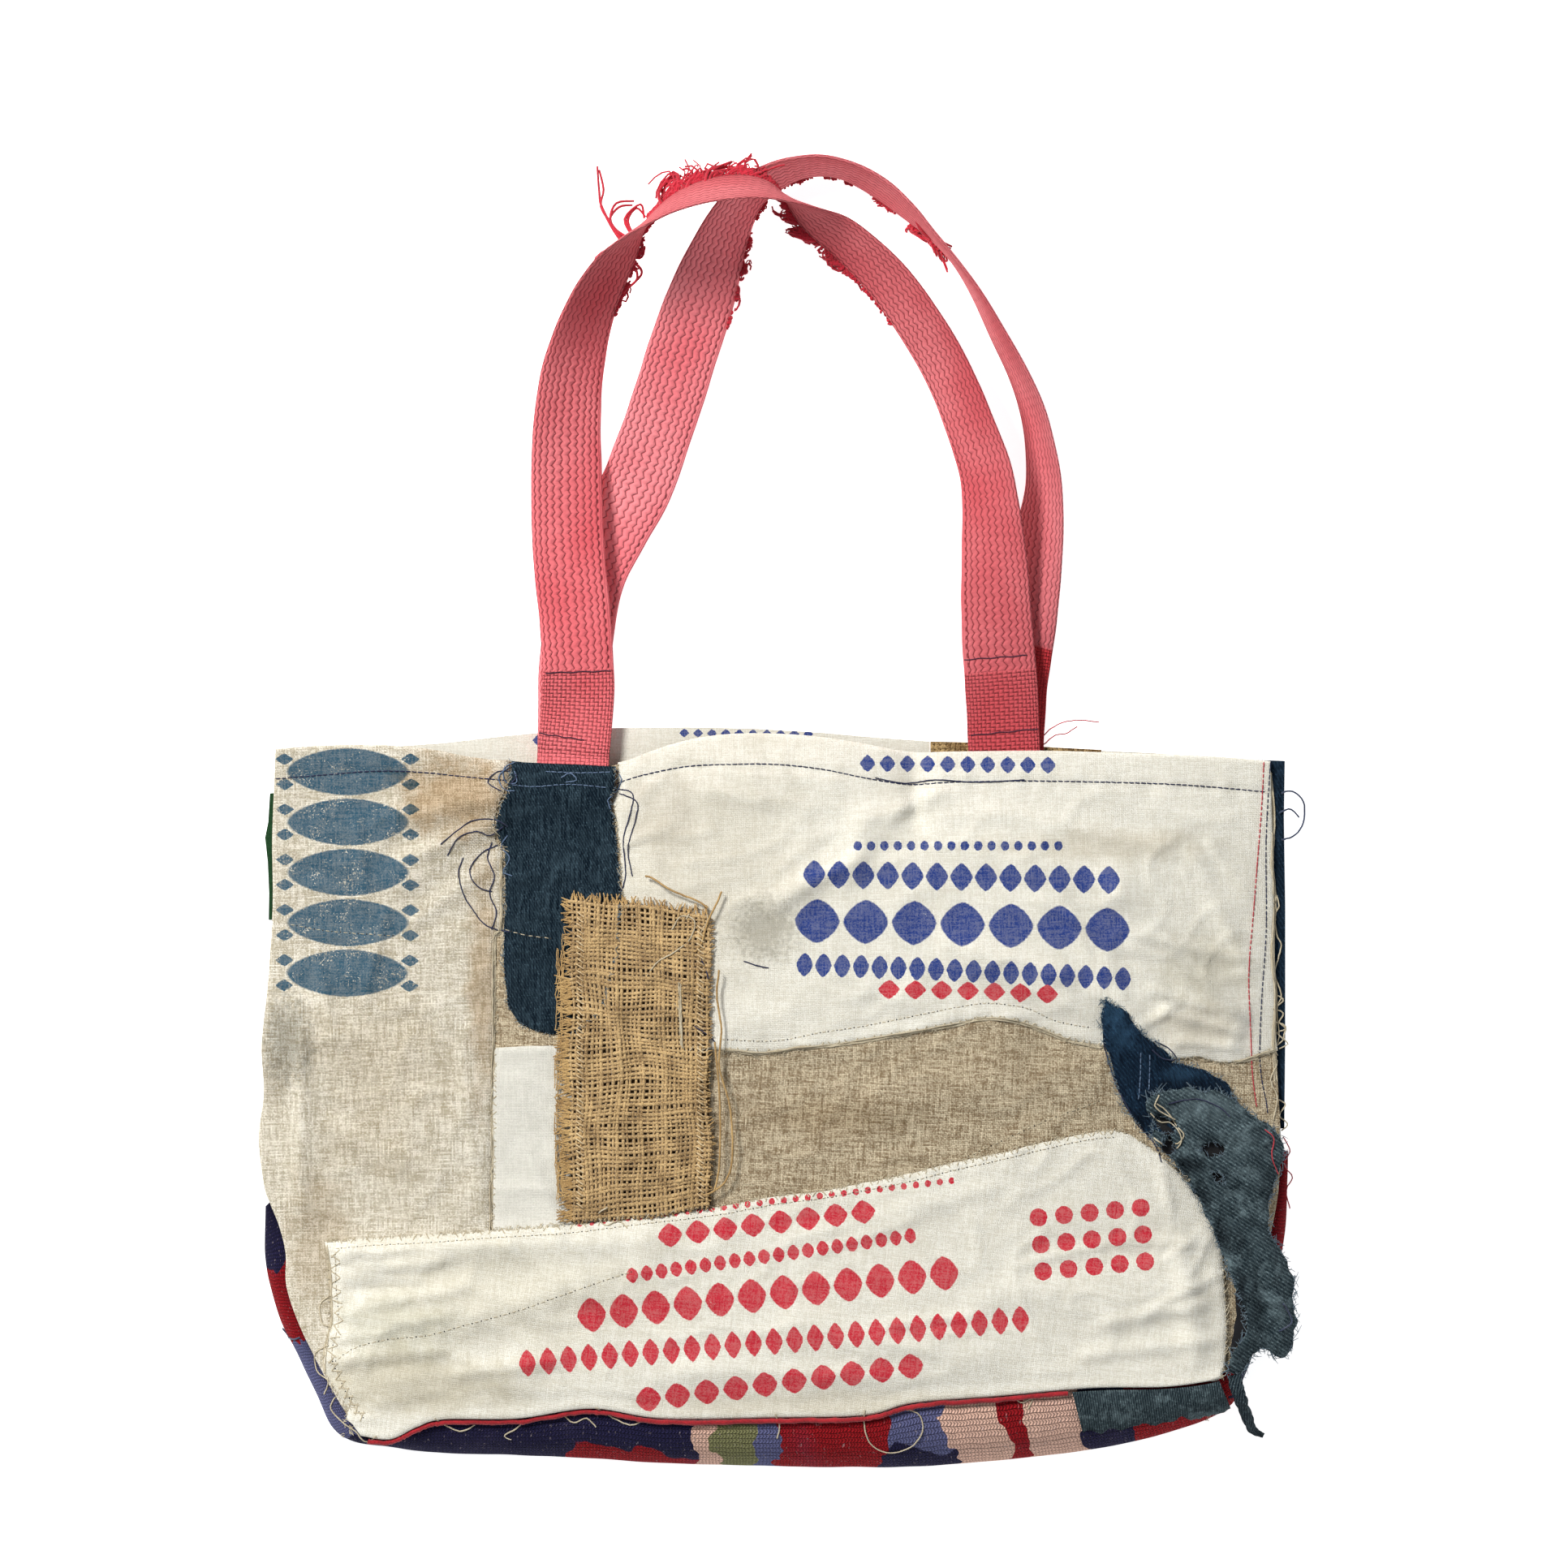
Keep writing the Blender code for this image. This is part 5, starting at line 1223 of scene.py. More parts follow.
class ToteColours(bpy.types.PropertyGroup):
    """Colours of the cloths, yarns and inks."""

    linen: screen_colour("Linen", (0.965, 0.94, 0.88))
    linen_shade: screen_colour("Linen shade", (0.72, 0.675, 0.575))
    cotton: screen_colour("Sack cotton", (0.975, 0.965, 0.92))
    cotton_shade: screen_colour("Sack cotton shade", (0.82, 0.79, 0.705))
    white: screen_colour("White cotton", (0.90, 0.89, 0.85))
    taupe: screen_colour("Taupe linen", (0.885, 0.825, 0.705))
    taupe_shade: screen_colour("Taupe linen shade", (0.56, 0.48, 0.37))
    teal_ink: screen_colour("Teal ink", (0.21, 0.35, 0.43))
    blue_ink: screen_colour("Blue ink", (0.16, 0.25, 0.53))
    red_ink: screen_colour("Red ink", (0.80, 0.16, 0.23))
    burlap: screen_colour("Burlap", (0.85, 0.725, 0.515))
    burlap_shade: screen_colour("Burlap shade", (0.46, 0.35, 0.215))
    denim_tab: screen_colour("Tab denim", (0.012, 0.075, 0.125))
    denim_dark: screen_colour("Dark denim", (0.015, 0.07, 0.135))
    denim_worn: screen_colour("Worn denim", (0.085, 0.14, 0.17))
    denim_pale: screen_colour("Rubbed denim", (0.53, 0.61, 0.63))
    webbing: screen_colour("Webbing", (0.96, 0.53, 0.55))
    webbing_deep: screen_colour("Deep webbing", (0.87, 0.37, 0.40))
    fray_red: screen_colour("Frayed webbing", (0.80, 0.16, 0.24))
    navy_thread: screen_colour("Navy thread", (0.14, 0.17, 0.32))
    pale_thread: screen_colour("Pale thread", (0.84, 0.80, 0.70))
    wool_navy: screen_colour("Navy wool", (0.15, 0.14, 0.27))
    wool_red: screen_colour("Red wool", (0.62, 0.10, 0.13))
    wool_lavender: screen_colour("Lavender wool", (0.40, 0.41, 0.57))
    wool_pink: screen_colour("Pink wool", (0.93, 0.76, 0.68))
    wool_olive: screen_colour("Olive wool", (0.52, 0.52, 0.36))


def settings():
    """The bag's sizes and colours."""
    return bpy.context.scene.tote_sizes, bpy.context.scene.tote_colours


def hem_line(x):
    """Height on the cloth of the top hem's seam."""
    if x < -118.0:
        return stepped_value(column(HEM_LINEN, "x"), column(HEM_LINEN, "y"), x)
    return stepped_value(column(HEM_SACK, "x"), column(HEM_SACK, "y"), x)


def hem_relief(x, y):
    """Doubled hem above the seam, drawn in along its stitches."""
    above = y - hem_line(x)
    pucker = 0.35 * math.sin(x / 2.1 + 1.3 * math.sin(x / 17.0)) * bump_at(above, 0.0, 4.0)
    return 0.55 * ease((above + 0.5) / 2.0) - 0.75 * bump_at(above, -0.4, 1.1) + pucker


def tab_relief(x, y):
    """The tab's folded top band stands over the end of the webbing."""
    step = 0.5 * ease((y - 143.2) / 1.2) - 0.5 * bump_at(y, 142.6, 1.3)
    return 3.7 * ease((y - 126.0) / 17.0) + step + 0.3 * math.sin(x / 3.3) * bump_at(y, 146.0, 5.0)


def seam_pull(table, width=5.0, depth=0.5, wave=2.4, swell=0.34):
    """Relief that dips along a seam and puckers beside it."""
    xs, ys = column(table, "x"), column(table, "y")
    rising = xs[-1] - xs[0] > abs(ys[-1] - ys[0])
    if not rising:
        order = sorted(zip(ys, xs))
        keys, values = [spot[0] for spot in order], [spot[1] for spot in order]
    else:
        keys, values = xs, ys

    def relief(x, y):
        place, off = (x, y) if rising else (y, x)
        if not keys[0] - 2.0 < place < keys[-1] + 2.0:
            return 0.0
        aside = off - stepped_value(keys, values, place)
        ripple = swell * math.sin(place / wave + 1.7 * math.sin(place / 13.0)) * bump_at(aside, 0.0, width)
        return ripple - depth * bump_at(aside, 0.0, 0.9)

    return relief


def summed(*reliefs):
    """Several reliefs added up."""
    return lambda x, y: sum(relief(x, y) for relief in reliefs)


CLOTHS = {}


class TOTE_OT_sack_cloths(bpy.types.Operator):
    """Build the ground cloth and the printed sack cloths, linen and white cotton of the front."""

    bl_idname = "tote.sack_cloths"
    bl_label = "Sack cloths"

    def execute(self, context):
        sizes, colours = settings()
        thick = sizes.cotton_thickness / MM
        teal, blue, red = tuple(colours.teal_ink), tuple(colours.blue_ink), tuple(colours.red_ink)
        grey, tan = (0.62, 0.61, 0.58), (0.78, 0.66, 0.50)

        taupe = weave_material(
            "taupe_linen", colours.taupe, colours.taupe_shade, 0.82, 0.05, 0.42, 1.0, stains_and_shade=(
                ((0.84, 0.80, 0.74), (30, -4), (56, 12), 9.0, 0.5),
            )
        )
        CLOTHS["ground"] = cut_cloth("front_ground_cloth", None, LEVELS["ground"], thick, taupe, wander=0.0)

        upright = math.pi / 2.0
        linen = weave_material(
            "left_linen", colours.linen, colours.linen_shade, 0.76, -0.02, 0.4, 0.95,
            rows=(
                (teal, (-192.5, 49), upright, 113.0, -0.6, 22.6, 10.6, 27.5, 1.75),
                (teal, (-221.0, 49), upright, 113.0, -0.4, 11.3, 2.6, 4.0, 1.2),
                (teal, (-164.0, 49), upright, 113.0, -0.4, 11.3, 2.6, 4.0, 1.2),
            ),
            stains_and_shade=(
                ((0.52, 0.53, 0.52), (-219, 30), (15, 26), 2.4, 0.6),
                ((0.72, 0.70, 0.66), (-226, 12), (10, 16), 3.0, 0.5),
                (tan, (-142, 140), (38, 24), 9.0, 0.7),
                (tan, (-131, 60), (9, 70), 10.0, 0.5),
                ((0.86, 0.80, 0.70), (-176, 10), (40, 60), 22.0, 0.25),
                ((0.80, 0.74, 0.66), (-205, -60), (20, 40), 8.0, 0.5),
            ),
            wear=0.42,
        )
        CLOTHS["linen"] = cut_cloth(
            "left_linen_cloth", LINEN_LEFT, LEVELS["first"], thick, linen, hem_relief, wander=0.5, seed=2.0
        )

        upper = weave_material(
            "upper_sack_cotton", colours.cotton, colours.cotton_shade, 0.62, -0.02, 0.26, 0.5,
            rows=(
                (blue, (34, 117.5), 0.0, 96.0, 0.0, 6.0, 1.9, 2.1, 2.0),
                (blue, (12, 105), -0.02, 143.0, 0.0, 11.0, 5.0, 6.2, 1.35),
                (blue, (8, 84), -0.03, 152.0, 0.7, 21.7, 10.0, 9.8, 1.5),
                (blue, (9, 64.5), -0.045, 151.0, 0.6, 8.4, 3.6, 5.2, 1.5),
                (red, (45, 53.4), -0.03, 83.0, 0.5, 11.8, 4.8, 4.2, 1.3),
                (blue, (37, 154.5), -0.01, 90.0, 0.0, 9.0, 3.4, 3.8, 1.3),
            ),
            stains_and_shade=(
                (grey, (-5, 80), (19, 18), 2.2, 0.6),
                # The marks at (-30, 110), (194, 62) and (-50, 130) are painted shade; the grey one is a stain
                ((0.90, 0.89, 0.87), (-30, 110), (60, 70), 18.0, 0.7),
                ((0.84, 0.81, 0.76), (150, 118), (60, 10), 9.0, 0.5),
                ((0.84, 0.80, 0.74), (190, 36), (26, 14), 7.0, 0.4),
                ((0.87, 0.86, 0.83), (194, 62), (26, 22), 9.0, 0.7),
                ((0.92, 0.91, 0.90), (-50, 130), (24, 28), 10.0, 0.7),
            ),
            wear=0.16,
        )
        CLOTHS["upper"] = cut_cloth(
            "upper_sack_cloth", FLOUR_UPPER, LEVELS["first"], thick, upper,
            summed(hem_relief, seam_pull(SEAM_UPPER)), wander=0.35, seed=3.0,
        )

        white = weave_material("white_cotton", colours.white, (0.78, 0.77, 0.72), 0.75, 0.0, 0.24, 0.5)
        CLOTHS["white"] = cut_cloth(
            "white_patch_cloth", WHITE_PATCH, LEVELS["first"], thick, white, wander=0.2, seed=4.0
        )

        lower = weave_material(
            "lower_sack_cotton", colours.cotton, colours.cotton_shade, 0.62, 0.11, 0.26, 0.55,
            rows=(
                (red, (-90, -51.5), 0.115, 171.0, 0.0, 5.4, 1.4, 1.5, 2.0),
                (red, (-53, -57), 0.12, 99.0, 0.0, 12.4, 5.4, 5.2, 1.4),
                (red, (-67, -74.5), 0.14, 131.0, 0.0, 6.6, 2.7, 3.4, 1.6),
                (red, (-89, -92.5), 0.117, 173.0, 0.0, 14.4, 6.4, 7.6, 1.5),
                (red, (-115, -113.5), 0.088, 230.0, 0.0, 9.2, 3.8, 6.0, 1.35),
                (red, (-63, -130), 0.125, 131.0, 0.0, 13.1, 5.6, 5.6, 1.5),
                (red, (112, -49), 0.09, 57.5, 0.0, 11.5, 4.0, 4.0, 2.0),
                (red, (113, -61), 0.09, 57.5, 0.0, 11.5, 4.0, 4.0, 2.0),
                (red, (114, -73), 0.09, 57.5, 0.0, 11.5, 4.0, 4.0, 2.0),
            ),
            stains_and_shade=(
                # The marks at (-160, -122) and (-168, -98) are painted shade on the lower left; the last two
                # darken broad areas softly
                ((0.88, 0.86, 0.81), (-160, -122), (60, 20), 14.0, 0.8),
                ((0.89, 0.89, 0.86), (-168, -98), (36, 20), 9.0, 0.8),
                ((0.92, 0.91, 0.88), (-120, -80), (90, 34), 14.0, 0.6),
                ((0.90, 0.88, 0.84), (40, -132), (120, 8), 14.0, 0.6),
            ),
            wear=0.14,
        )
        droop = lambda x, y: -1.1 * ease((x + 80.0) / 30.0) * ease((-118.0 - y) / 12.0)
        CLOTHS["lower"] = cut_cloth(
            "lower_sack_cloth", FLOUR_LOWER, LEVELS["lower"], thick, lower,
            summed(seam_pull(SEAM_LOWER_TOP), seam_pull(SEAM_LOWER_LEFT, 9.0, 0.5, 1.7, 0.75),
                   seam_pull(SEAM_LOWER_CROSS, 5.0, 0.3), droop),
            wander=0.35, seed=5.0, tuck=0.75,
        )
        for key, form in (("ground", "front_ground"), ("linen", "linen_left"), ("upper", "flour_upper"),
                          ("white", "white_patch"), ("lower", "flour_lower")):
            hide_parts(form)
        return {"FINISHED"}


WORN_HOLES = (
    ((170.6, -5.4), (175.4, -3.8), (179.6, -6.6), (179, -11.4), (174.6, -12), (171, -9.6)),
    ((172.6, -13.6), (176.6, -13.8), (179.6, -17.6), (178, -20.4), (174.4, -17.4)),
    ((190, -18.6), (195.4, -15), (202, -17), (201, -21), (195, -22)),
    ((195.6, -28.4), (200, -29.4), (202, -33.6), (197.4, -33.4)),
)
# Twisted folds of the torn denim: a ridge, or a valley where the rise is negative, between two points
WORN_FOLDS = (
    ("x0", "y0", "x1", "y1", "rise", "width"),
    (170, -16, 182, -31, 2.2, 1.8), (182, -31, 196, -54, 2.4, 2.0), (196, -54, 204, -78, 2.6, 2.0),
    (180, -22, 192, -38, -2.0, 1.8), (192, -38, 204, -64, -2.0, 2.0), (206, -70, 212, -104, 2.2, 2.2),
    (214, -62, 220, -104, -1.8, 2.4), (222, -66, 228, -104, 2.0, 2.2), (186, -22, 206, -27, 1.8, 1.9),
    (200, -30, 222, -38, 1.8, 2.0), (204, -44, 220, -52, 1.8, 2.0), (176, 2, 202, -2, 1.0, 1.8),
    (190, -10, 212, -14, 1.2, 1.8), (202, -8, 222, -26, 1.2, 1.9), (208, -84, 226, -88, 1.2, 2.0),
)
# Painted shadow: near-black sheets laid under the holes and beside the torn edge, where there is only shade
WORN_SHADOW_SHEETS = (
    ((168.4, -5), (175, -1.6), (181.6, -5), (182, -13), (182.6, -20), (178, -23), (171, -16.6), (168, -11)),
    ((189.6, -18.4), (195.4, -13.6), (203, -16.4), (201.6, -22.6), (192.4, -22.8)),
    ((194, -28), (199.8, -28), (203, -34), (195.2, -34.8)),
    ((206.4, -76), (212, -76), (214.6, -90), (213, -104), (206, -116), (202.8, -117), (204.6, -103),
     (206.6, -92)),
)


def worn_relief(x, y):
    """Crumpled folds of the torn denim: sharp ridges along it, with small puckers between."""
    long_fold = noise.noise(Vector((x / 9.0, y / 22.0, 5.0)))
    cross_fold = noise.noise(Vector((x / 7.0 + 0.6 * long_fold, y / 9.0, 9.0)))
    ridge = math.exp(-((long_fold / 0.10) ** 2))
    return 2.6 * abs(long_fold) + 1.4 * ridge + 2.0 * abs(cross_fold) + max(fold_rise(x, y, WORN_FOLDS), -2.0)


class TOTE_OT_denim_pieces(bpy.types.Operator):
    """Build the denim tab, the dark and worn denim at the right, its tail and the patch on the band."""

    bl_idname = "tote.denim_pieces"
    bl_label = "Denim pieces"

    def execute(self, context):
        sizes, colours = settings()
        thick = sizes.denim_thickness / MM
        tab = denim_material("tab_denim", colours.denim_tab, (0.43, 0.54, 0.60), 0.11, pitch=1.3)
        CLOTHS["tab"] = cut_cloth(
            "denim_tab_cloth", DENIM_TAB, LEVELS["first"], thick, tab, tab_relief, wander=0.45, seed=6.0
        )
        dark = denim_material(
            "dark_denim", colours.denim_dark, (0.24, 0.38, 0.50), 0.16, -0.2,
            # Painted shade at the left tip and under the worn denim's top edge; painted highlights near the
            # left tip and along the middle
            painted_shades=(((163, -6), (8, 8), 0.6), ((184, 10), (24, 4), 0.4)),
            lights=(((151, 43), (6, 8), 0.35), ((155, 33), (7, 9), 0.3), ((182, 15), (12, 4), 0.2)),
        )
        CLOTHS["dark"] = cut_cloth(
            "dark_denim_cloth", DENIM_DARK, LEVELS["dark"], thick, dark,
            lambda x, y: 1.3 * abs(noise.noise(Vector((x / 8.0, y / 5.0, 2.0)))), wander=0.9, seed=7.0,
        )
        worn = denim_material(
            "worn_denim", colours.denim_worn, colours.denim_pale, 0.41, -0.5,
            # Painted shade in the fold valleys and beside the holes; painted highlights on the upper part and
            # along a ridge
            painted_shades=(
                ((184, -25), (8, 6), 0.8), ((192, -40), (6, 8), 0.7), ((200, -56), (5, 10), 0.6),
                ((208, -84), (4, 14), 0.7), ((199, -31), (6, 4), 0.7), ((172, -2), (7, 5), 0.5),
                ((216, -84), (5, 22), 0.3), (
                    (206, -110), (7, 7), 0.35
                ), ((222, -36), (5, 10), 0.5), ((206, -60), (6, 8), 0.5),
            ),
            lights=(
                ((196, 0), (22, 8), 0.2), ((208, -16), (14, 10), 0.1),
                ((202, -72), (3, 16), 0.25),
            ),
        )
        CLOTHS["worn"] = cut_cloth(
            "worn_denim_cloth", DENIM_WORN, LEVELS["worn"], thick, worn,
            worn_relief,
            holes=WORN_HOLES, wander=1.7, seed=8.0, overhang=True,
        )
        for key, form in (("tab", "denim_tab"), ("dark", "denim_dark"), ("worn", "denim_worn")):
            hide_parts(form)
        # Near-black sheets under the holes and beside the torn edge are painted shadow
        below = yarn_material("dark_lining", (0.07, 0.07, 0.09), (0.03, 0.03, 0.04))
        CLOTHS["lining_parts"] = []
        for number, depth in enumerate(WORN_SHADOW_SHEETS):
            shadow_sheet = cut_cloth(
                f"worn_hole_lining_{number + 1}", (("x", "y"), *depth), 4.2, 0.3, below, wander=0.6
            )[0]
            CLOTHS["lining_parts"].append(shadow_sheet)

        last = len(TAIL) - 2

        def tail_place(across, along):
            position = last * along
            x, y, z, width = smooth_row(TAIL, ("x", "y", "z", "width"), position)
            ahead = Vector(smooth_row(TAIL, ("x", "y", "z"), min(position + 0.1, last)))
            behind = Vector(smooth_row(TAIL, ("x", "y", "z"), max(position - 0.1, 0.0)))
            run = (ahead - behind).normalized()
            side = Vector((run.y, -run.x, 0.0)).normalized()
            face = side.cross(run).normalized()
            torn = 1.0 + 0.3 * noise.noise(Vector((along * 14.0, round(across) * 3.0, 1.0)))
            curl = 0.8 * (across - 0.5) ** 2 * width * 0.35
            return Vector((x, y, z)) + side * width * (across - 0.5) * torn + face * curl, face, thick * 0.5

        strip = denim_material("torn_denim_strip", colours.denim_tab, colours.denim_pale, 0.30, 0.9, own=True)
        tail = cloth_strip("denim_tail_cloth", 8, 60, tail_place, (7.0, 44.0), strip)
        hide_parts("denim_tail")
        CLOTHS["tail"] = (tail, *TAIL_CUT)

        def patch_place(across, along):
            position = PATCH_START + (PATCH_END - PATCH_START) * along
            reach = stepped_value(column(BOTTOM_PATCH, "along"), column(BOTTOM_PATCH, "reach"), position)
            reach *= 1.0 + 0.12 * noise.noise(Vector((along * 17.0, 4.0, 1.0)))
            share = 0.03 + (reach - 0.03) * across
            middle = band_outer(position, share, PATCH_LIFT + thick * 0.5)
            outer = band_outer(position, share, PATCH_LIFT + thick * 0.5 + 1.0)
            ripple = 0.35 * noise.noise(Vector((along * 9.0, across * 3.0, 8.0)))
            return middle + (outer - middle) * (ripple + 0.3), (outer - middle).normalized(), thick * 0.5

        worn_patch = denim_material(
            "band_patch_denim", colours.denim_worn, colours.denim_pale, 0.36, 0.35, pitch=1.2
        )
        patch = cloth_strip("band_patch_cloth", 14, 44, patch_place, (16.0, 50.0), worn_patch)
        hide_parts("denim_bottom")
        CLOTHS["band_patch"] = (patch, *BAND_PATCH_CUT)
        return {"FINISHED"}


def band_row(position):
    """Rim point, outward direction, reach and height of the bottom band at a fractional row."""
    rim_x, rim_y, out_x, out_y, height = smooth_row(BAND, BAND[0], position)
    outward = Vector((out_x - rim_x, out_y - rim_y, 0.0))
    return Vector((rim_x, rim_y, 0.0)), outward.normalized(), outward.length, height


def band_marks():
    """Distance along the band's outermost line at even row steps."""
    rows = len(BAND) - 2
    names = ("out_x", "out_y")
    spots = [smooth_row(BAND, names, rows * index / BAND_STEPS) for index in range(BAND_STEPS + 1)]
    marks = [0.0]
    for before, here in zip(spots, spots[1:]):
        marks.append(marks[-1] + math.hypot(here[0] - before[0], here[1] - before[1]))
    return marks


BAND_MARKS = band_marks()
BAND_LENGTH = BAND_MARKS[-1]


def band_outer(position, place, lift):
    """Point on the bottom band's outer face at a share of its section, raised off it by lift."""
    rim, outward, reach, height = band_row(position)
    top = height - 0.6
    last = len(BAND_SECTION) - 2

    def spot(share):
        return Vector((
            smooth_value(column(BAND_SECTION, "out"), share * last) * reach,
            max(smooth_value(column(BAND_SECTION, "up"), share * last), 0.0) * top,
        ))

    here = spot(place)
    run = (spot(min(place + 0.02, 1.0)) - spot(max(place - 0.02, 0.0))).normalized()
    here += Vector((-run.y, run.x)) * lift
    return rim + outward * here.x + Vector((0.0, 0.0, here.y))


def band_colour(tree, spot, colours):
    """Wool colour fields along the band, with wandering edges."""
    drift = node(tree, "ShaderNodeTexNoise", {"Vector": spot, "Scale": 0.055, "Detail": 2.0})
    moved = node(
        tree, "ShaderNodeVectorMath", {0: drift.outputs["Color"], 1: (34.0, 26.0, 0.0), 2: spot},
        operation="MULTIPLY_ADD"
    )
    shifted = node(
        tree, "ShaderNodeVectorMath", {0: moved.outputs[0], 1: (-17.0, -13.0, 0.0)}, operation="ADD"
    )
    parts = node(tree, "ShaderNodeSeparateXYZ", {0: shifted.outputs[0]})
    fields = []
    for side in ("upper", "lower"):
        ramp = node(tree, "ShaderNodeValToRGB", {0: maths(tree, "DIVIDE", parts.outputs[0], BAND_LENGTH)})
        ramp.color_ramp.interpolation = "CONSTANT"
        ends = column(BAND_FIELDS, "until")
        kinds = column(BAND_FIELDS, side)
        points = ramp.color_ramp.elements
        points[0].position = 0.0
        points[0].color = linear(getattr(colours, "wool_" + kinds[0]))
        points[1].position = ends[0] / BAND_LENGTH
        points[1].color = linear(getattr(colours, "wool_" + kinds[1]))
        for start, kind in zip(ends[1:-1], kinds[2:]):
            made = points.new(start / BAND_LENGTH)
            made.color = linear(getattr(colours, "wool_" + kind))
        fields.append(ramp.outputs[0])
    lower = spread(tree, parts.outputs[1], 19.6, 20.4)
    return mixed(tree, lower, fields[0], fields[1])


# Wool colours of the band above and below its middle, by the distance along it from the left end
BAND_FIELDS = (
    ("until", "upper", "lower"),
    (27, "navy", "navy"), (64, "red", "red"), (112, "lavender", "lavender"), (130, "navy", "navy"),
    (214, "navy", "navy"), (269, "navy", "red"), (276, "pink", "pink"), (299, "olive", "olive"),
    (309, "lavender", "lavender"), (352, "red", "red"), (384, "lavender", "navy"), (412, "pink", "pink"),
    (422, "red", "red"), (449, "pink", "pink"), (469, "navy", "navy"), (520, "red", "red"),
    (560, "red", "navy"), (700, "red", "red"),
)


class TOTE_OT_bottom_band(bpy.types.Operator):
    """Build the looped wool band round the bottom and lower sides."""

    bl_idname = "tote.bottom_band"
    bl_label = "Bottom band"

    def execute(self, context):
        sizes, colours = settings()
        thick = sizes.tapestry_thickness / MM
        last = len(BAND) - 2

        def band_place(across, along):
            position = last * stepped_value(
                BAND_MARKS, [index / BAND_STEPS for index in range(BAND_STEPS + 1)], BAND_LENGTH * along
            )
            rim, outward, reach, height = band_row(position)
            half = min(max(0.15 * height, 0.55), thick * 0.5)
            if across < 0.1:
                tucked = rim - outward * 3.0 * (1.0 - across / 0.1)
                level = min(height - 0.6, WALL.height(tucked.x, tucked.y) - 0.6)
                return Vector((tucked.x, tucked.y, level - half)), Vector((0.0, 0.0, 1.0)), half
            if across > 0.92:
                share = (across - 0.92) / 0.08
                middle = band_outer(position, 1.0, -half) - outward * (6.0 + 0.88 * reach - reach) * share
                return Vector((middle.x, middle.y, half)), Vector((0.0, 0.0, -1.0)), half
            share = (across - 0.1) / 0.82
            middle = band_outer(position, share, -half)
            face = (band_outer(position, share, 1.0) - band_outer(position, share, 0.0)).normalized()
            lump = 0.5 * noise.noise(Vector((along * 40.0, across * 2.0, 1.0))) * bump_at(share, 0.45, 0.3)
            middle += face * lump
            middle.z = max(middle.z, half)
            return middle, face, half

        material, tree, shader = new_material("looped_wool_band", 1.0)
        spot = cloth_mm(tree)
        loops = effect(tree, "chain_stitch", {"Vector": spot, "Row": 1.9, "Loop": 1.5})
        colour = band_colour(tree, spot, colours)
        pale = mixed(
            tree, spread(tree, speckle(tree, spot, 26.0, 3.0), 0.5, 0.8), colour, linear((0.42, 0.38, 0.52))
        )
        colour = mixed(tree, 0.18, colour, pale)
        dark = mixed(tree, 1.0, colour, linear((0.53, 0.51, 0.52)), "MULTIPLY")
        colour = mixed(tree, spread(tree, loops["Tone"], 0.15, 0.75), dark, colour)
        flecks = spread(
            tree, speckle(tree, stretched(tree, spot, (1.0, 0.55, 1.0)), 1.5, 2.0, 0.7), 0.62, 0.72
        )
        colour = mixed(tree, maths(tree, "MULTIPLY", flecks, 0.42), colour, linear((0.76, 0.70, 0.70)))
        tree.links.new(colour, shader.inputs["Base Color"])
        bumped(tree, shader, loops["Height"], 0.8)
        band = cloth_strip("wool_band_cloth", 40, 400, band_place, (56.0, BAND_LENGTH), material)
        for face in band.data.uv_layers["cloth_mm"].data:
            face.uv = (face.uv[1], face.uv[0])
        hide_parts("tapestry_base")
        CLOTHS["band"] = (band, *BAND_CUT)
        return {"FINISHED"}


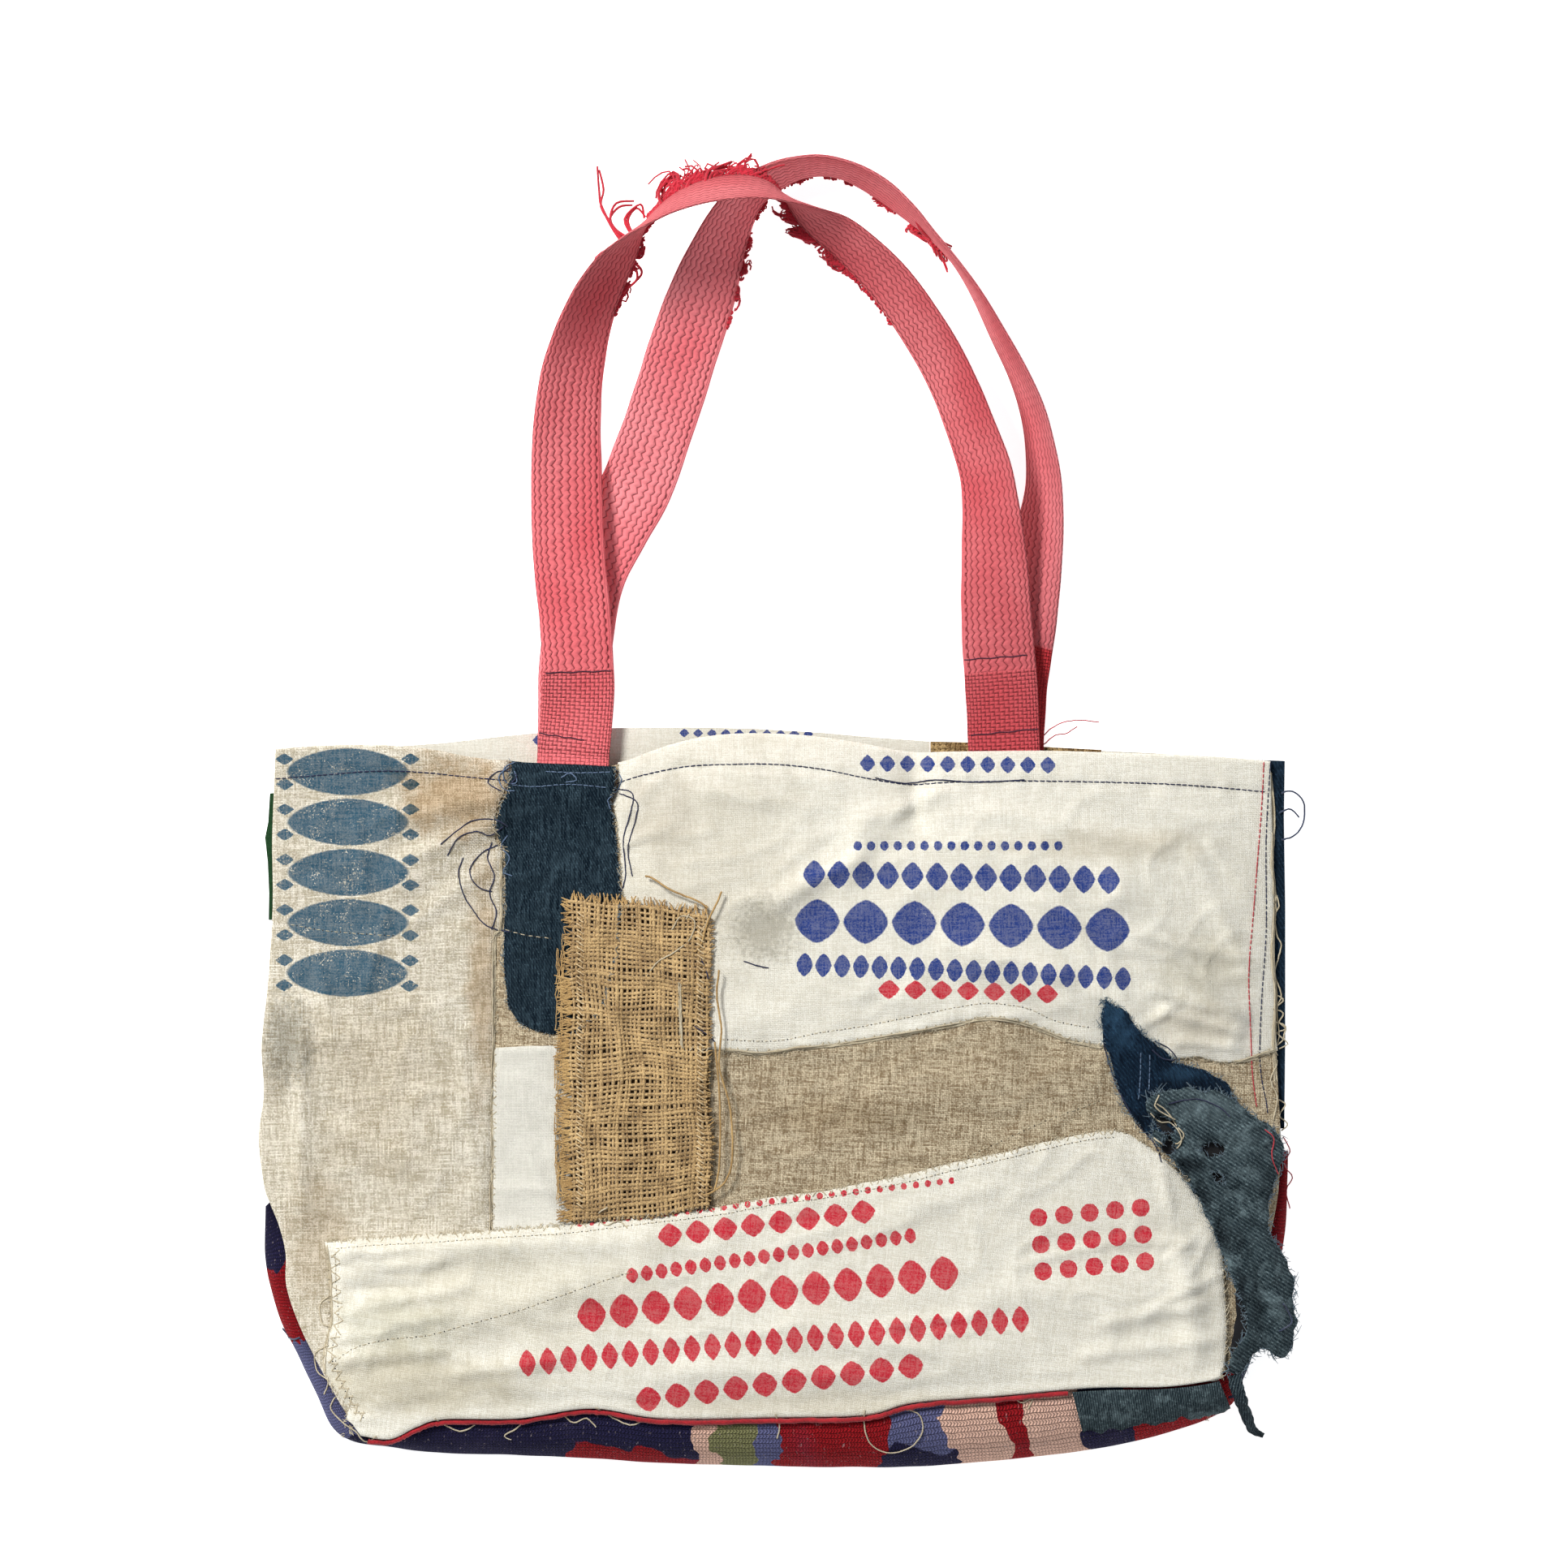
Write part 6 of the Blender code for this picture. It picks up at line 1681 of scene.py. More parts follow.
class TOTE_OT_back_panel(bpy.types.Operator):
    """Build the flat cloths of the back panel."""

    bl_idname = "tote.back_panel"
    bl_label = "Back panel"

    def execute(self, context):
        _, colours = settings()
        last = len(BAND) - 2
        lower = []
        for index in range(BACK_STEPS + 1):
            rim, outward, _, _ = band_row(last * (1.0 - index / BACK_STEPS))
            spot = rim - outward * 6.5
            lower.append((spot.x, spot.y))
        cotton = weave_material(
            "back_sack_cotton", colours.cotton, colours.cotton_shade, 0.52, 0.02, 0.2, 0.45,
            rows=(
                (tuple(colours.blue_ink), (-110, 165.0), -0.02, 26.0, 0.0, 6.5, 2.4, 2.6, 1.2),
                (tuple(colours.blue_ink), (-44, 168.2), -0.01, 62.0, 0.0, 6.2, 2.2, 1.9, 1.2),
            ),
        )
        denim = denim_material("back_denim_cloth", colours.denim_tab, (0.24, 0.34, 0.44), 0.2)
        green = weave_material("back_green_cloth", (0.16, 0.30, 0.18), (0.08, 0.17, 0.10), 0.6)
        burlap = weave_material("back_burlap_cloth", colours.burlap, colours.burlap_shade, 2.4, 0.0, 0.9, 1.0)
        pieces = (
            (
                "back_cotton_cloth", "back_cotton", (*BACK_COTTON_TOP[1:], *lower, *BACK_COTTON_LEFT[1:]),
                1.0, cotton
            ),
            ("back_denim_cloth", "back_denim", BACK_DENIM[1:], 1.0, denim),
            ("back_green_cloth", "back_green", BACK_GREEN[1:], 1.0, green),
            ("back_burlap_cloth", "back_burlap", BACK_BURLAP[1:], 1.6, burlap),
        )
        for name, form, outline, high, material in pieces:
            mesh = bmesh.new()
            mesh.faces.new([mesh.verts.new((x * MM, y * MM, 0.0)) for x, y in outline])
            raised = bmesh.ops.extrude_face_region(mesh, geom=mesh.faces[:])
            top = [item for item in raised["geom"] if isinstance(item, bmesh.types.BMFace)]
            bmesh.ops.translate(
                mesh, vec=Vector((0.0, 0.0, high * MM)), verts=list({v for f in top for v in f.verts})
            )
            area = sum(face.calc_area() for face in top)
            bmesh.ops.inset_region(mesh, faces=top, thickness=0.4 * MM, depth=0.0)
            bmesh.ops.recalc_face_normals(mesh, faces=mesh.faces[:])
            bmesh.ops.triangulate(mesh, faces=mesh.faces[:])
            thing = finished(name, mesh, material)
            thing.data.shade_flat()
            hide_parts(form)
            width = (max(s[0] for s in outline) - min(s[0] for s in outline)) * MM
            length = (max(s[1] for s in outline) - min(s[1] for s in outline)) * MM
            CLOTHS[form] = (thing, (width, length), area)
        return {"FINISHED"}


PATCH_CORNERS = {"top": ((-92.0, 93.0), (-30.0, 85.6)), "bottom": ((-91.2, -50.6), (-28.8, -43.6))}


def patch_spot(across, down):
    """Place in plan on the burlap patch, with its weave pulled out of true."""
    high, low = PATCH_CORNERS["top"], PATCH_CORNERS["bottom"]
    top = Vector(high[0]).lerp(Vector(high[1]), across)
    bottom = Vector(low[0]).lerp(Vector(low[1]), across)
    spot = top.lerp(bottom, down)
    spot.y += 1.5 * math.sin(across * math.pi) * (1.0 - down)
    pull_x = noise.noise(Vector((spot.x / 21.0, spot.y / 26.0, 31.0))) * 2.2
    pull_y = noise.noise(Vector((spot.x / 24.0, spot.y / 19.0, 41.0))) * 2.4
    return spot + Vector((pull_x, pull_y))


# Long soft ridges that stand up in the burlap, between two points
PATCH_RIDGES = (
    ("x0", "y0", "x1", "y1", "rise", "width"),
    (-82, 94, -79, 44, 1.3, 4.0), (-57, 90, -55, 34, 1.2, 4.2), (-78, 6, -62, -44, 1.2, 4.0),
    (-50, 14, -42, -30, 1.1, 4.0), (-36, 80, -38, 50, 0.9, 3.6),
)


def patch_height(spot):
    """Height of the middle of the burlap's yarns."""
    sag = 0.8 * noise.noise(Vector((spot.x / 16.0, spot.y / 20.0, 51.0)))
    return WALL.height(spot.x, spot.y) + LEVELS["burlap"] + 1.3 + sag + fold_rise(
        spot.x, spot.y, PATCH_RIDGES
    )


class TOTE_OT_burlap_patch(bpy.types.Operator):
    """Weave the burlap patch from separate yarns, with its fringed edges and pulled threads."""

    bl_idname = "tote.burlap_patch"
    bl_label = "Burlap patch"

    def execute(self, context):
        sizes, colours = settings()
        radius = sizes.yarn_radius / MM
        luck = random.Random(11)
        upright, level = 30, 66
        # A dark brown sheet under the yarns is painted shadow, seen through the gaps between them
        dark = (0.35, 0.27, 0.16)
        under = weave_material("burlap_shadow", dark, (0.26, 0.19, 0.11), 2.2)
        base, flat, area = cut_cloth(
            "burlap_backing", BURLAP_PATCH, LEVELS["burlap"] - 0.7, 0.4, under, wander=0.2, seed=9.0
        )
        yarn = yarn_material("burlap_yarn", colours.burlap, colours.burlap_shade)
        columns = [(index + 0.5 + luck.uniform(-0.16, 0.16)) / upright for index in range(upright)]
        rows = [(index + 0.5 + luck.uniform(-0.16, 0.16)) / level for index in range(level)]
        swell = 0.55 * radius
        paths = []
        for number, across in enumerate(columns):
            girth = luck.uniform(0.72, 1.28)
            lean = luck.uniform(-0.006, 0.006)
            path = []
            for step in range(2 * level + 1):
                down = step / (2.0 * level)
                spot = patch_spot(across + lean * math.sin(down * 9.0 + number), down)
                lift = 0.0 if step % 2 == 0 else swell * (1.0 if (number + step // 2) % 2 else -1.0)
                thick = radius * girth * (1.0 + 0.25 * noise.noise(Vector((number * 3.1, down * 18.0, 0.0))))
                path.append((Vector((spot.x, spot.y, patch_height(spot) + lift)), thick))
            paths.append(path)
        for number, down in enumerate(rows):
            girth = luck.uniform(0.72, 1.30)
            lean = luck.uniform(-0.003, 0.003)
            path = []
            for step in range(2 * upright + 1):
                across = step / (2.0 * upright)
                spot = patch_spot(across, down + lean * math.sin(across * 8.0 + number))
                lift = 0.0 if step % 2 == 0 else swell * (-1.0 if (number + step // 2) % 2 else 1.0)
                thick = radius * girth * (
                    1.0 + 0.25 * noise.noise(Vector((number * 2.7, across * 14.0, 9.0)))
                )
                path.append((Vector((spot.x, spot.y, patch_height(spot) + lift)), thick))
            paths.append(path)
        woven = strands("burlap_yarns", paths, yarn)
        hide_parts("burlap_patch")

        ends = []
        sides = (
            (rows, lambda share: (0.0, share), (-1.0, 0.0), 6.8, 7),
            (rows, lambda share: (1.0, share), (1.0, 0.05), 2.6, 2),
            (columns, lambda share: (share, 0.0), (0.06, 1.0), 4.6, 3),
            (columns, lambda share: (share, 1.0), (0.0, -1.0), 2.0, 2),
        )
        for places, edge, way, reach, splits in sides:
            for share in places:
                root = patch_spot(*edge(share))
                low_left = -0.55 if way[0] < 0.0 and share < 0.25 else 0.0
                for _ in range(splits):
                    length = reach * (luck.uniform(0.55, 1.25) + low_left * 0.8)
                    aside = Vector((-way[1], way[0])) * luck.uniform(-0.45, 0.45)
                    bend = Vector((-way[1], way[0])) * luck.uniform(-0.3, 0.3)
                    girth = radius * luck.uniform(0.36, 0.78)
                    path = []
                    for step in range(6):
                        out = step / 5.0
                        spot = root + Vector(way) * (length * out - 1.2) + (
                            aside * out + bend * out * out
                        ) * length
                        drop = -0.7 * out * out + luck.uniform(-0.15, 0.15)
                        path.append(
                            (Vector((spot.x, spot.y, patch_height(spot) + drop)), girth * (1.0 - 0.5 * out))
                        )
                    ends.append(path)
        whip = []
        for x, high, low in ((-87.2, 88, -46), (-33.4, 82, -42)):
            for index in range(int((high - low) / 2.6)):
                y = high - 2.6 * index
                path = []
                for step in range(5):
                    spot = Vector((x + 1.5 * (step / 2.0 - 1.0) + luck.uniform(-0.2, 0.2), y - 0.55 * step))
                    lift = radius + 0.55 + 0.5 * math.sin(math.pi * step / 4.0)
                    path.append((Vector((spot.x, spot.y, patch_height(spot) + lift)), radius * 0.42))
                whip.append(path)
        for table in LOOSE_BURLAP:
            ends.append(loose_thread(table, radius * 0.62, 2.0, LEVELS["burlap"] + 2.2, luck))
        for _ in range(46):
            root = Vector((-94.0 - luck.uniform(0.0, 4.5), luck.uniform(-44.0, 62.0)))
            run = luck.uniform(8.0, 22.0)
            path = []
            for step in range(7):
                spot = root + Vector((luck.uniform(-0.5, 0.5), run * step / 6.0))
                path.append((Vector((spot.x, spot.y, patch_height(spot) - 0.6)), radius * 0.3))
            ends.append(path)
        fringe = strands(
            "burlap_fringe_ends", ends,
            yarn_material("burlap_fringe_yarn", (0.78, 0.65, 0.43), (0.54, 0.41, 0.24))
        )
        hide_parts("burlap_fringe")
        whipped = strands(
            "burlap_whipping", whip, yarn_material("whipping_yarn", (0.90, 0.82, 0.66), (0.74, 0.62, 0.44))
        )
        CLOTHS["burlap"] = (base, flat, area)
        CLOTHS["burlap_parts"] = [woven, fringe, whipped]
        return {"FINISHED"}


# Pulled burlap yarns along the patch's right side and over its top right
LOOSE_BURLAP = (
    ((-25, 62), (-26, 50), (-24, 36), (-25, 20), (-22, 8), (-20, 0), (-19, -20), (-22, -32), (-30, -38)),
    ((-27, 30), (-25, 10), (-24.5, -8), (-25, -26), (-27, -36)),
    ((-58, 104), (-55, 103), (-47, 98), (-40, 95), (-35, 93), (-30, 90)),
    ((-36, 70), (-33, 74), (-30, 84), (-26, 92), (-24, 97)),
)


def loose_thread(table, radius, step, rise, luck, level=None):
    """Path of a thread that lies along smooth places in plan, over whatever is under it."""
    spots = []
    last = len(table) - 1
    xs, ys = [spot[0] for spot in table], [spot[1] for spot in table]
    length = sum(math.hypot(xs[i + 1] - xs[i], ys[i + 1] - ys[i]) for i in range(last))
    count = max(int(length / step), 3)
    for index in range(count + 1):
        position = last * index / count
        x = smooth_value(xs, position) + luck.uniform(-0.12, 0.12)
        y = smooth_value(ys, position) + luck.uniform(-0.12, 0.12)
        base = level if level is not None else top_height(x, y, rise)
        hump = 0.35 * math.sin(index * 0.7 + xs[0])
        spots.append((Vector((x, y, base + radius + max(hump, 0.0))), radius))
    return spots


TOPS = {}


def top_height(x, y, fallback=0.0):
    """Height of the uppermost cloth at a place in plan."""
    if "tree" in TOPS:
        hit = TOPS["tree"].ray_cast(Vector((x, y, 200.0)) * MM, Vector((0.0, 0.0, -1.0)))[0]
        if hit is not None:
            return hit.z / MM
        return 1.1 if y > -12.0 and abs(x) < 230.5 else 0.3
    return WALL.height(x, y) + fallback


def strap_frames(table, stations, foot_on_front, width_mm, thick_mm):
    """Centre, width direction and face direction at even steps along a handle, and its length."""
    last = len(table) - 2
    fine = 900
    names = ("x", "y", "low", "lean")
    samples = [smooth_row(table, names, last * index / fine) for index in range(fine + 1)]
    marks = [0.0]
    for index in range(1, fine + 1):
        here, before = samples[index], samples[index - 1]
        marks.append(marks[-1] + math.hypot(here[0] - before[0], here[1] - before[1]))
    centres, widths = [], []
    index = 0
    for station in range(stations + 1):
        wanted = marks[-1] * station / stations
        while index < fine - 1 and marks[index + 1] < wanted:
            index += 1
        share = (wanted - marks[index]) / (marks[index + 1] - marks[index])
        x, y, low, lean = [a + (b - a) * share for a, b in zip(samples[index], samples[index + 1])]
        if foot_on_front and y < 158.0 and x < 0.0:
            rest = max(WALL.height(x + aside, min(y, 153.0)) for aside in (-16.0, -8.0, 0.0, 8.0, 16.0))
            rest += 1.7
            low = rest + (low - rest) * ease((y - 154.5) / 5.0)
        before = samples[max(index - 6, 0)]
        after = samples[min(index + 7, fine)]
        along = Vector((after[0] - before[0], after[1] - before[1], 0.0)).normalized()
        tilt = math.radians(lean)
        width = Vector((-along.y, along.x, 0.0)) * math.cos(tilt) + Vector((0.0, 0.0, math.sin(tilt)))
        drop = 0.5 * width_mm * abs(math.sin(tilt)) + 0.5 * thick_mm * abs(math.cos(tilt))
        centres.append(Vector((x, y, low + drop)))
        widths.append(width)
    frames = []
    for station, centre in enumerate(centres):
        ahead = centres[min(station + 1, stations)] - centres[max(station - 1, 0)]
        along = ahead.normalized()
        width = (widths[station] - along * widths[station].dot(along)).normalized()
        frames.append((centre, width, along.cross(width)))
    return frames, marks[-1]


def fray_threads(frames, run, table, count, width_mm, seed):
    """Torn selvage threads in tangled clumps: each clump's threads leave together and curl their own way."""
    luck = random.Random(seed)
    paths = []
    last = len(frames) - 1
    for _ in range(count // 9):
        share = luck.uniform(0.0, 1.0)
        clump = luck.uniform(0.45, 1.35)
        heading = luck.uniform(-1.5, 1.5)
        turn, spin = luck.uniform(0.0, 6.3), luck.choice((-1.0, 1.0)) * luck.uniform(4.0, 10.0)
        for _ in range(9):
            position = (
                run[0] + (run[1] - run[0]) * min(max(share + luck.gauss(0.0, 0.006), 0.0), 1.0)
            ) * last
            centre, width, face = frames[int(position)]
            along = (
                frames[min(int(position) + 1, last)][0] - frames[max(int(position) - 1, 0)][0]
            ).normalized()
            reach = stepped_value(
                column(table, "along"), column(table, "length"), share
            ) * clump * luck.uniform(0.3, 1.0)
            reach *= 1.0 + 0.7 * ease((width.z - 0.8) / 0.12)
            outward = Vector((-width.x, -width.y, -width.z * 0.1)).normalized()
            root = centre - width * (width_mm * 0.5 - 0.8) + face * luck.uniform(-0.9, 0.9)
            lean = heading + luck.uniform(-0.35, 0.35)
            own = spin * luck.uniform(0.6, 1.4)
            girth = luck.uniform(0.44, 0.74)
            path = []
            for step in range(10):
                out = step / 9.0
                curl = reach * 0.55 * min(1.6 * out, 1.0)
                spot = root + outward * (reach * out * (1.0 - 0.25 * out)) + along * (lean * reach * out)
                spot += along * math.sin(turn + own * out) * curl + outward * math.cos(
                    turn + own * out
                ) * curl * 0.6
                spot += face * math.cos(turn * 1.7 + own * out) * curl * 0.5
                spot.z = max(spot.z, 0.5)
                path.append((spot, girth * (1.0 - 0.35 * out)))
            paths.append(path)
    return paths


# Long strays at the handles' torn selvages, as places with their height
STRAY_THREADS = (
    ((-66, 384, 30), (-72, 394, 26), (-78, 404, 20), (-77, 412, 15), (-79, 421, 12)),
    ((-64, 386, 30), (-70, 391, 26), (-74, 398, 22), (-70, 404, 18), (-64, 405, 16)),
    ((-68, 383, 30), (-76, 384, 24), (-80, 380, 18), (-74, 375, 14), (-70, 378, 12)),
    ((-62, 388, 31), (-66, 397, 28), (-62, 403, 26), (-58, 399, 26)),
    ((-70, 380, 28), (-74, 372, 20), (-72, 362, 14), (-75, 356, 10)),
    ((-50, 402, 34), (-52, 410, 30), (-46, 416, 28), (-40, 413, 28)),
    ((-30, 410, 40), (-28, 418, 36), (-20, 421, 34), (-12, 418, 34), (-8, 414, 36)),
    ((-40, 407, 38), (-38, 415, 34), (-30, 419, 32), (-24, 416, 32)),
    ((14, 400, 32), (22, 391, 26), (30, 380, 20), (38, 372, 16), (40, 366, 14)),
    ((-68, 381, 21), (-63, 377, 17), (-62, 372, 14), (-66, 368, 12)),
    ((62, 401, 20), (66, 393, 14), (74, 388, 10), (79, 386, 8)),
)


class TOTE_OT_handles(bpy.types.Operator):
    """Build the two webbing handles with their worn selvages."""

    bl_idname = "tote.handles"
    bl_label = "Webbing handles"

    def execute(self, context):
        sizes, colours = settings()
        width_mm, thick_mm = sizes.webbing_width / MM, sizes.webbing_thickness / MM
        stations = 330
        red = yarn_material("frayed_webbing_thread", colours.fray_red, (0.62, 0.10, 0.16), 2.0)
        plans = (
            ("strap_front", STRAP_FRONT, True, colours.webbing, colours.webbing_deep, colours.webbing_deep,
             0.22, FRONT_PAINTED_SHADES, FRONT_FRAY_RUN, FRONT_FRAY, 1000, 21),
            # The rear handle's deep red foot colour, strongly mixed in, is painted shade beside and under the
            # front handle; the front handle's deeper foot is unfaded dye
            ("strap_rear", STRAP_REAR, False, (0.985, 0.60, 0.62), (0.93, 0.46, 0.49), (0.90, 0.20, 0.28),
             0.75, REAR_PAINTED_SHADES, REAR_FRAY_RUN, REAR_FRAY, 400, 22),
        )
        for plan in plans:
            name, table, on_front, light, deep, foot_dye_and_shade, foot_share, painted_shades, run, fray, count, seed = plan
            frames, length = strap_frames(table, stations, on_front, width_mm, thick_mm)
            seams = (50.0, length - 66.0) if on_front else (-9.0, length - 76.0)
            material = webbing_material(name + "_webbing", light, deep, seams, foot_dye_and_shade, foot_share, painted_shades)

            def strap_place(across, along, frames=frames, seed=seed):
                position = along * stations
                low = min(int(position), stations - 1)
                share = position - low
                centre = frames[low][0].lerp(frames[low + 1][0], share)
                width = frames[low][1].lerp(frames[low + 1][1], share).normalized()
                face = frames[low][2].lerp(frames[low + 1][2], share).normalized()
                off = 2.0 * across - 1.0
                off = math.copysign(1.0 - (1.0 - abs(off)) ** 1.35, off)
                waver = 0.35 * noise.noise(Vector((along * 38.0, math.copysign(2.0, off), seed)))
                half = thick_mm * 0.5 * max((1.0 - abs(off) ** 9) ** 0.5, 0.12)
                return centre + width * off * (width_mm * 0.5 + waver * abs(off)), face, half

            strap = cloth_strip(name + "_cloth", 22, stations, strap_place, (width_mm, length), material)
            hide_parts(name)
            paths = fray_threads(frames, run, fray, count, width_mm, seed)
            if on_front:
                luck = random.Random(5)
                for stray in STRAY_THREADS:
                    for copy in range(2):
                        points = [
                            Vector(spot) + Vector(
                                (luck.uniform(-2, 2), luck.uniform(-2, 2), 0)
                            ) * copy for spot in stray
                        ]
                        last = len(points) - 1
                        path = []
                        for index in range(4 * last + 1):
                            spot = Vector(
                                [smooth_value([p[axis] for p in points], index / 4.0) for axis in range(3)]
                            )
                            path.append((spot, 0.8 * (1.0 - 0.4 * index / (4.0 * last))))
                        paths.append(path)
            threads = strands(name + "_fray_threads", paths, red)
            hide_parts(name + "_fray")
            CLOTHS[name] = (strap, (sizes.webbing_width, length * MM), sizes.webbing_width * length * MM)
            CLOTHS[name + "_parts"] = [threads]
        return {"FINISHED"}


# Loose sewing threads: which colour, and the places in plan that each passes
LOOSE_THREADS = (
    ("navy", ((-150, 118), (-143, 124), (-135, 129), (-125, 129), (-120, 126))),
    ("navy", ((-140, 112), (-142, 106), (-141, 100), (-139, 94), (-135, 88), (-131, 83), (-125, 80),
     (-119, 79))),
    ("navy", ((-127, 119), (-129, 112), (-126, 104), (-128, 96), (-125, 88), (-127, 80))),
    ("navy", ((-124, 118), (-132, 114), (-137, 106), (-133, 99), (-127, 97))),
    ("navy", ((-122, 126), (-128, 122), (-134, 124), (-142, 121), (-147, 113))),
    ("navy", ((-72, 143), (-64, 141), (-65, 132), (-68, 120), (-67, 105), (-69, 97))),
    ("navy", ((-70, 141), (-62, 137), (-63, 128), (-66, 116), (-64, 104))),
    ("navy", ((-121, 143), (-116, 149), (-124, 151), (-129, 146), (-123, 142))),
    ("red", ((220, -10), (224, -14), (223, -22), (226, -30))),
    ("grey", ((228, 141), (233, 142), (238, 137), (238, 128), (234, 122), (228, 120))),
    ("grey", ((227, 132), (232, 134), (236, 130))),
    ("pale", ((226, 95), (227, 90), (225, 86), (226, 77), (228, 73), (227, 68), (225, 60), (227, 54),
     (228, 49), (226, 44), (227, 33), (226, 28))),
    ("pale", ((222, 26), (226, 20), (223, 12), (226, 4), (224, -6))),
    ("pale", ((-152, -138), (-146, -142), (-140, -144), (-134, -141))),
    ("pale", ((224, 44), (229, 42), (227, 38), (230, 35), (226, 33), (229, 30), (225, 27))),
    ("pale", ((225, 38), (230, 36), (229, 31), (231, 28), (227, 26))),
    ("pale", ((226, 50), (229, 48), (226, 45))),
    ("pale", ((224, 4), (230, 1), (227, -4), (231, -8), (228, -11))),
    ("pale", ((-95, -136), (-90, -140), (-84, -138), (-80, -142))),
    ("pale", ((106, -128), (110, -131), (115, -129), (113, -134))),
    ("red", ((229, -14), (232, -20), (229, -26), (233, -32), (230, -38), (232, -46))),
    ("pale", ((-112, -139), (-116, -143), (-121, -146), (-118, -148))),
    ("pale", ((-80, -133), (-72, -138), (-64, -141), (-58, -138))),
    ("pale", ((0, -136), (2, -141), (1, -147))),
    ("pale", ((40, -134), (40, -142), (43, -150), (51, -154), (61, -151), (66, -143), (64, -136),
     (58, -134))),
    ("pale", ((-196, -128), (-199, -134), (-194, -140), (-188, -144), (-183, -149), (-178, -146))),
    ("pale", ((-200, -106), (-206, -110), (-205, -118), (-200, -122), (-202, -128))),
    ("pale", ((-199, -84), (-204, -88), (-203, -96), (-199, -98))),
    ("pale", ((-75, -44), (-79, -47), (-76, -52), (-70, -50), (-66, -53))),
    ("pale", ((-46, 80), (-42, 86), (-36, 84), (-38, 76), (-45, 70), (-52, 66), (-57, 60))),
    ("pale", ((-40, 84), (-36, 90), (-30, 86), (-33, 79))), ("navy", ((-36, 37), (-30, 33), (-27, 30))),
    ("navy", ((-33, 67), (-31, 63), (-30, 58))), ("navy", ((-14, 66), (-8, 64), (-3, 63))),
    ("navy", ((45, 148), (58, 145.5), (72, 147), (90, 146), (112, 147))),
    ("red", ((120, 166, 2), (124, 170, 2), (130, 173, 2), (138, 174, 2), (146, 173, 2))),
    ("red", ((121, 163, 2), (126, 167, 2), (131, 168, 2), (136, 171, 2))),
    ("grey", ((-222, -100), (-218, -104), (-213, -103))),
    ("blue", ((-117, 155), (-122, 152), (-121, 146), (-116, 146), (-117, 151))),
    ("blue", ((-119, 153), (-124, 149), (-122, 143), (-117, 142))),
    ("blue", ((-72, 152), (-69, 147), (-72, 141), (-75, 138), (-74, 134))),
    ("blue", ((-96, 148), (-92, 150), (-89, 147), (-94, 146))),
    ("blue", ((-120, 122), (-123, 117), (-119, 112), (-122, 106), (-118, 104))),
    ("navy", ((147, 30), (149, 22), (153, 10), (158, 0), (163, -8), (170, -16), (173, -24))),
    ("navy", ((170, 30), (176, 27), (180, 22), (174, 22), (169, 26))),
    ("pale", ((171, 2), (176, -2), (180, -8), (183, -12), (180, -16), (176, -14))),
    ("pale", ((168, -2), (172, -6), (178, -7), (182, -14), (178, -19), (172, -15), (168, -12))),
    ("pale", ((172, 6), (170, 1), (175, -3), (179, -5))),
    ("navy", ((176, 2), (188, 4), (198, 1), (204, -4))), ("grey", ((228, -88), (232, -96), (226, -100))),
)


# Raw edges where a few threads have worked loose and run beside the cloth
RAW_EDGES = (
    ((-122.8, 112), (-122.6, 98), (-123.2, 80), (-125.6, 76), (-126.0, 50), (-126.2, 34), (-126.4, 18),
     (-127.0, 0), (-126.6, -20), (-127.2, -36), (-127.0, -54)),
    ((-22, 26.4), (-10, 24.9), (0, 25.4), (10, 27), (20, 28), (40, 30.4), (60, 33.8), (80, 37.2), (91, 40),
     (100, 40), (110, 38.2), (120, 34.8), (130, 30.8), (140, 28.6), (146, 27.4)),
    ((207, 20.4), (213, 21.6), (218, 23.4), (224, 25.2)), ((-42.6, 56), (-42.4, 44), (-42, 28)),
    ((-201.2, -62), (-199.8, -72), (-199.4, -84), (-198.6, -96), (-201.4, -108), (-201.6, -118)),
    ((223.4, 150), (224.6, 130), (223.8, 110), (225.2, 90), (224.0, 70), (225.6, 50), (224.6, 30),
     (225.4, 12)),
)


# Edges whipped over with pale thread: path, step and stitch length
WHIPPED_EDGES = (
    (SEAM_LOWER_LEFT, 2.5, 4.0),
    ((("x", "y"), (-196, -59.6), (-160, -57.4), (-127, -54.8), (-92, -52.4), (-60, -48.4), (-28, -44.6),
     (0, -39.4), (20, -37.4), (40, -33.4), (60, -29.4), (80, -24.4), (100, -20.4), (120, -15.4),
     (140, -11.4), (152, -10.2)), 4.4, 2.4),
    ((("x", "y"), (-42, 27.2), (-23, 26.6), (0, 25.6), (20, 28.4), (40, 31), (60, 34.4), (80, 38),
     (95, 40.6), (110, 39), (120, 35.4), (130, 31.4), (146, 28)), 3.4, 2.2),
    ((("x", "y"), (-126.2, 24), (-126, 0), (-126.4, -30), (-127, -52)), 3.2, 2.6),
    ((("x", "y"), (-122.4, 112), (-122.2, 98), (-122.6, 82)), 3.0, 2.2),
)


# Dark threads laid across the handles' ends: x and y of both ends
THREAD_BARS = (
    ("x0", "y0", "x1", "y1"),
    (-103, 195, -74, 196), (-106, 168, -86, 165), (85, 201, 113, 203), (88, 167, 118, 170),
)


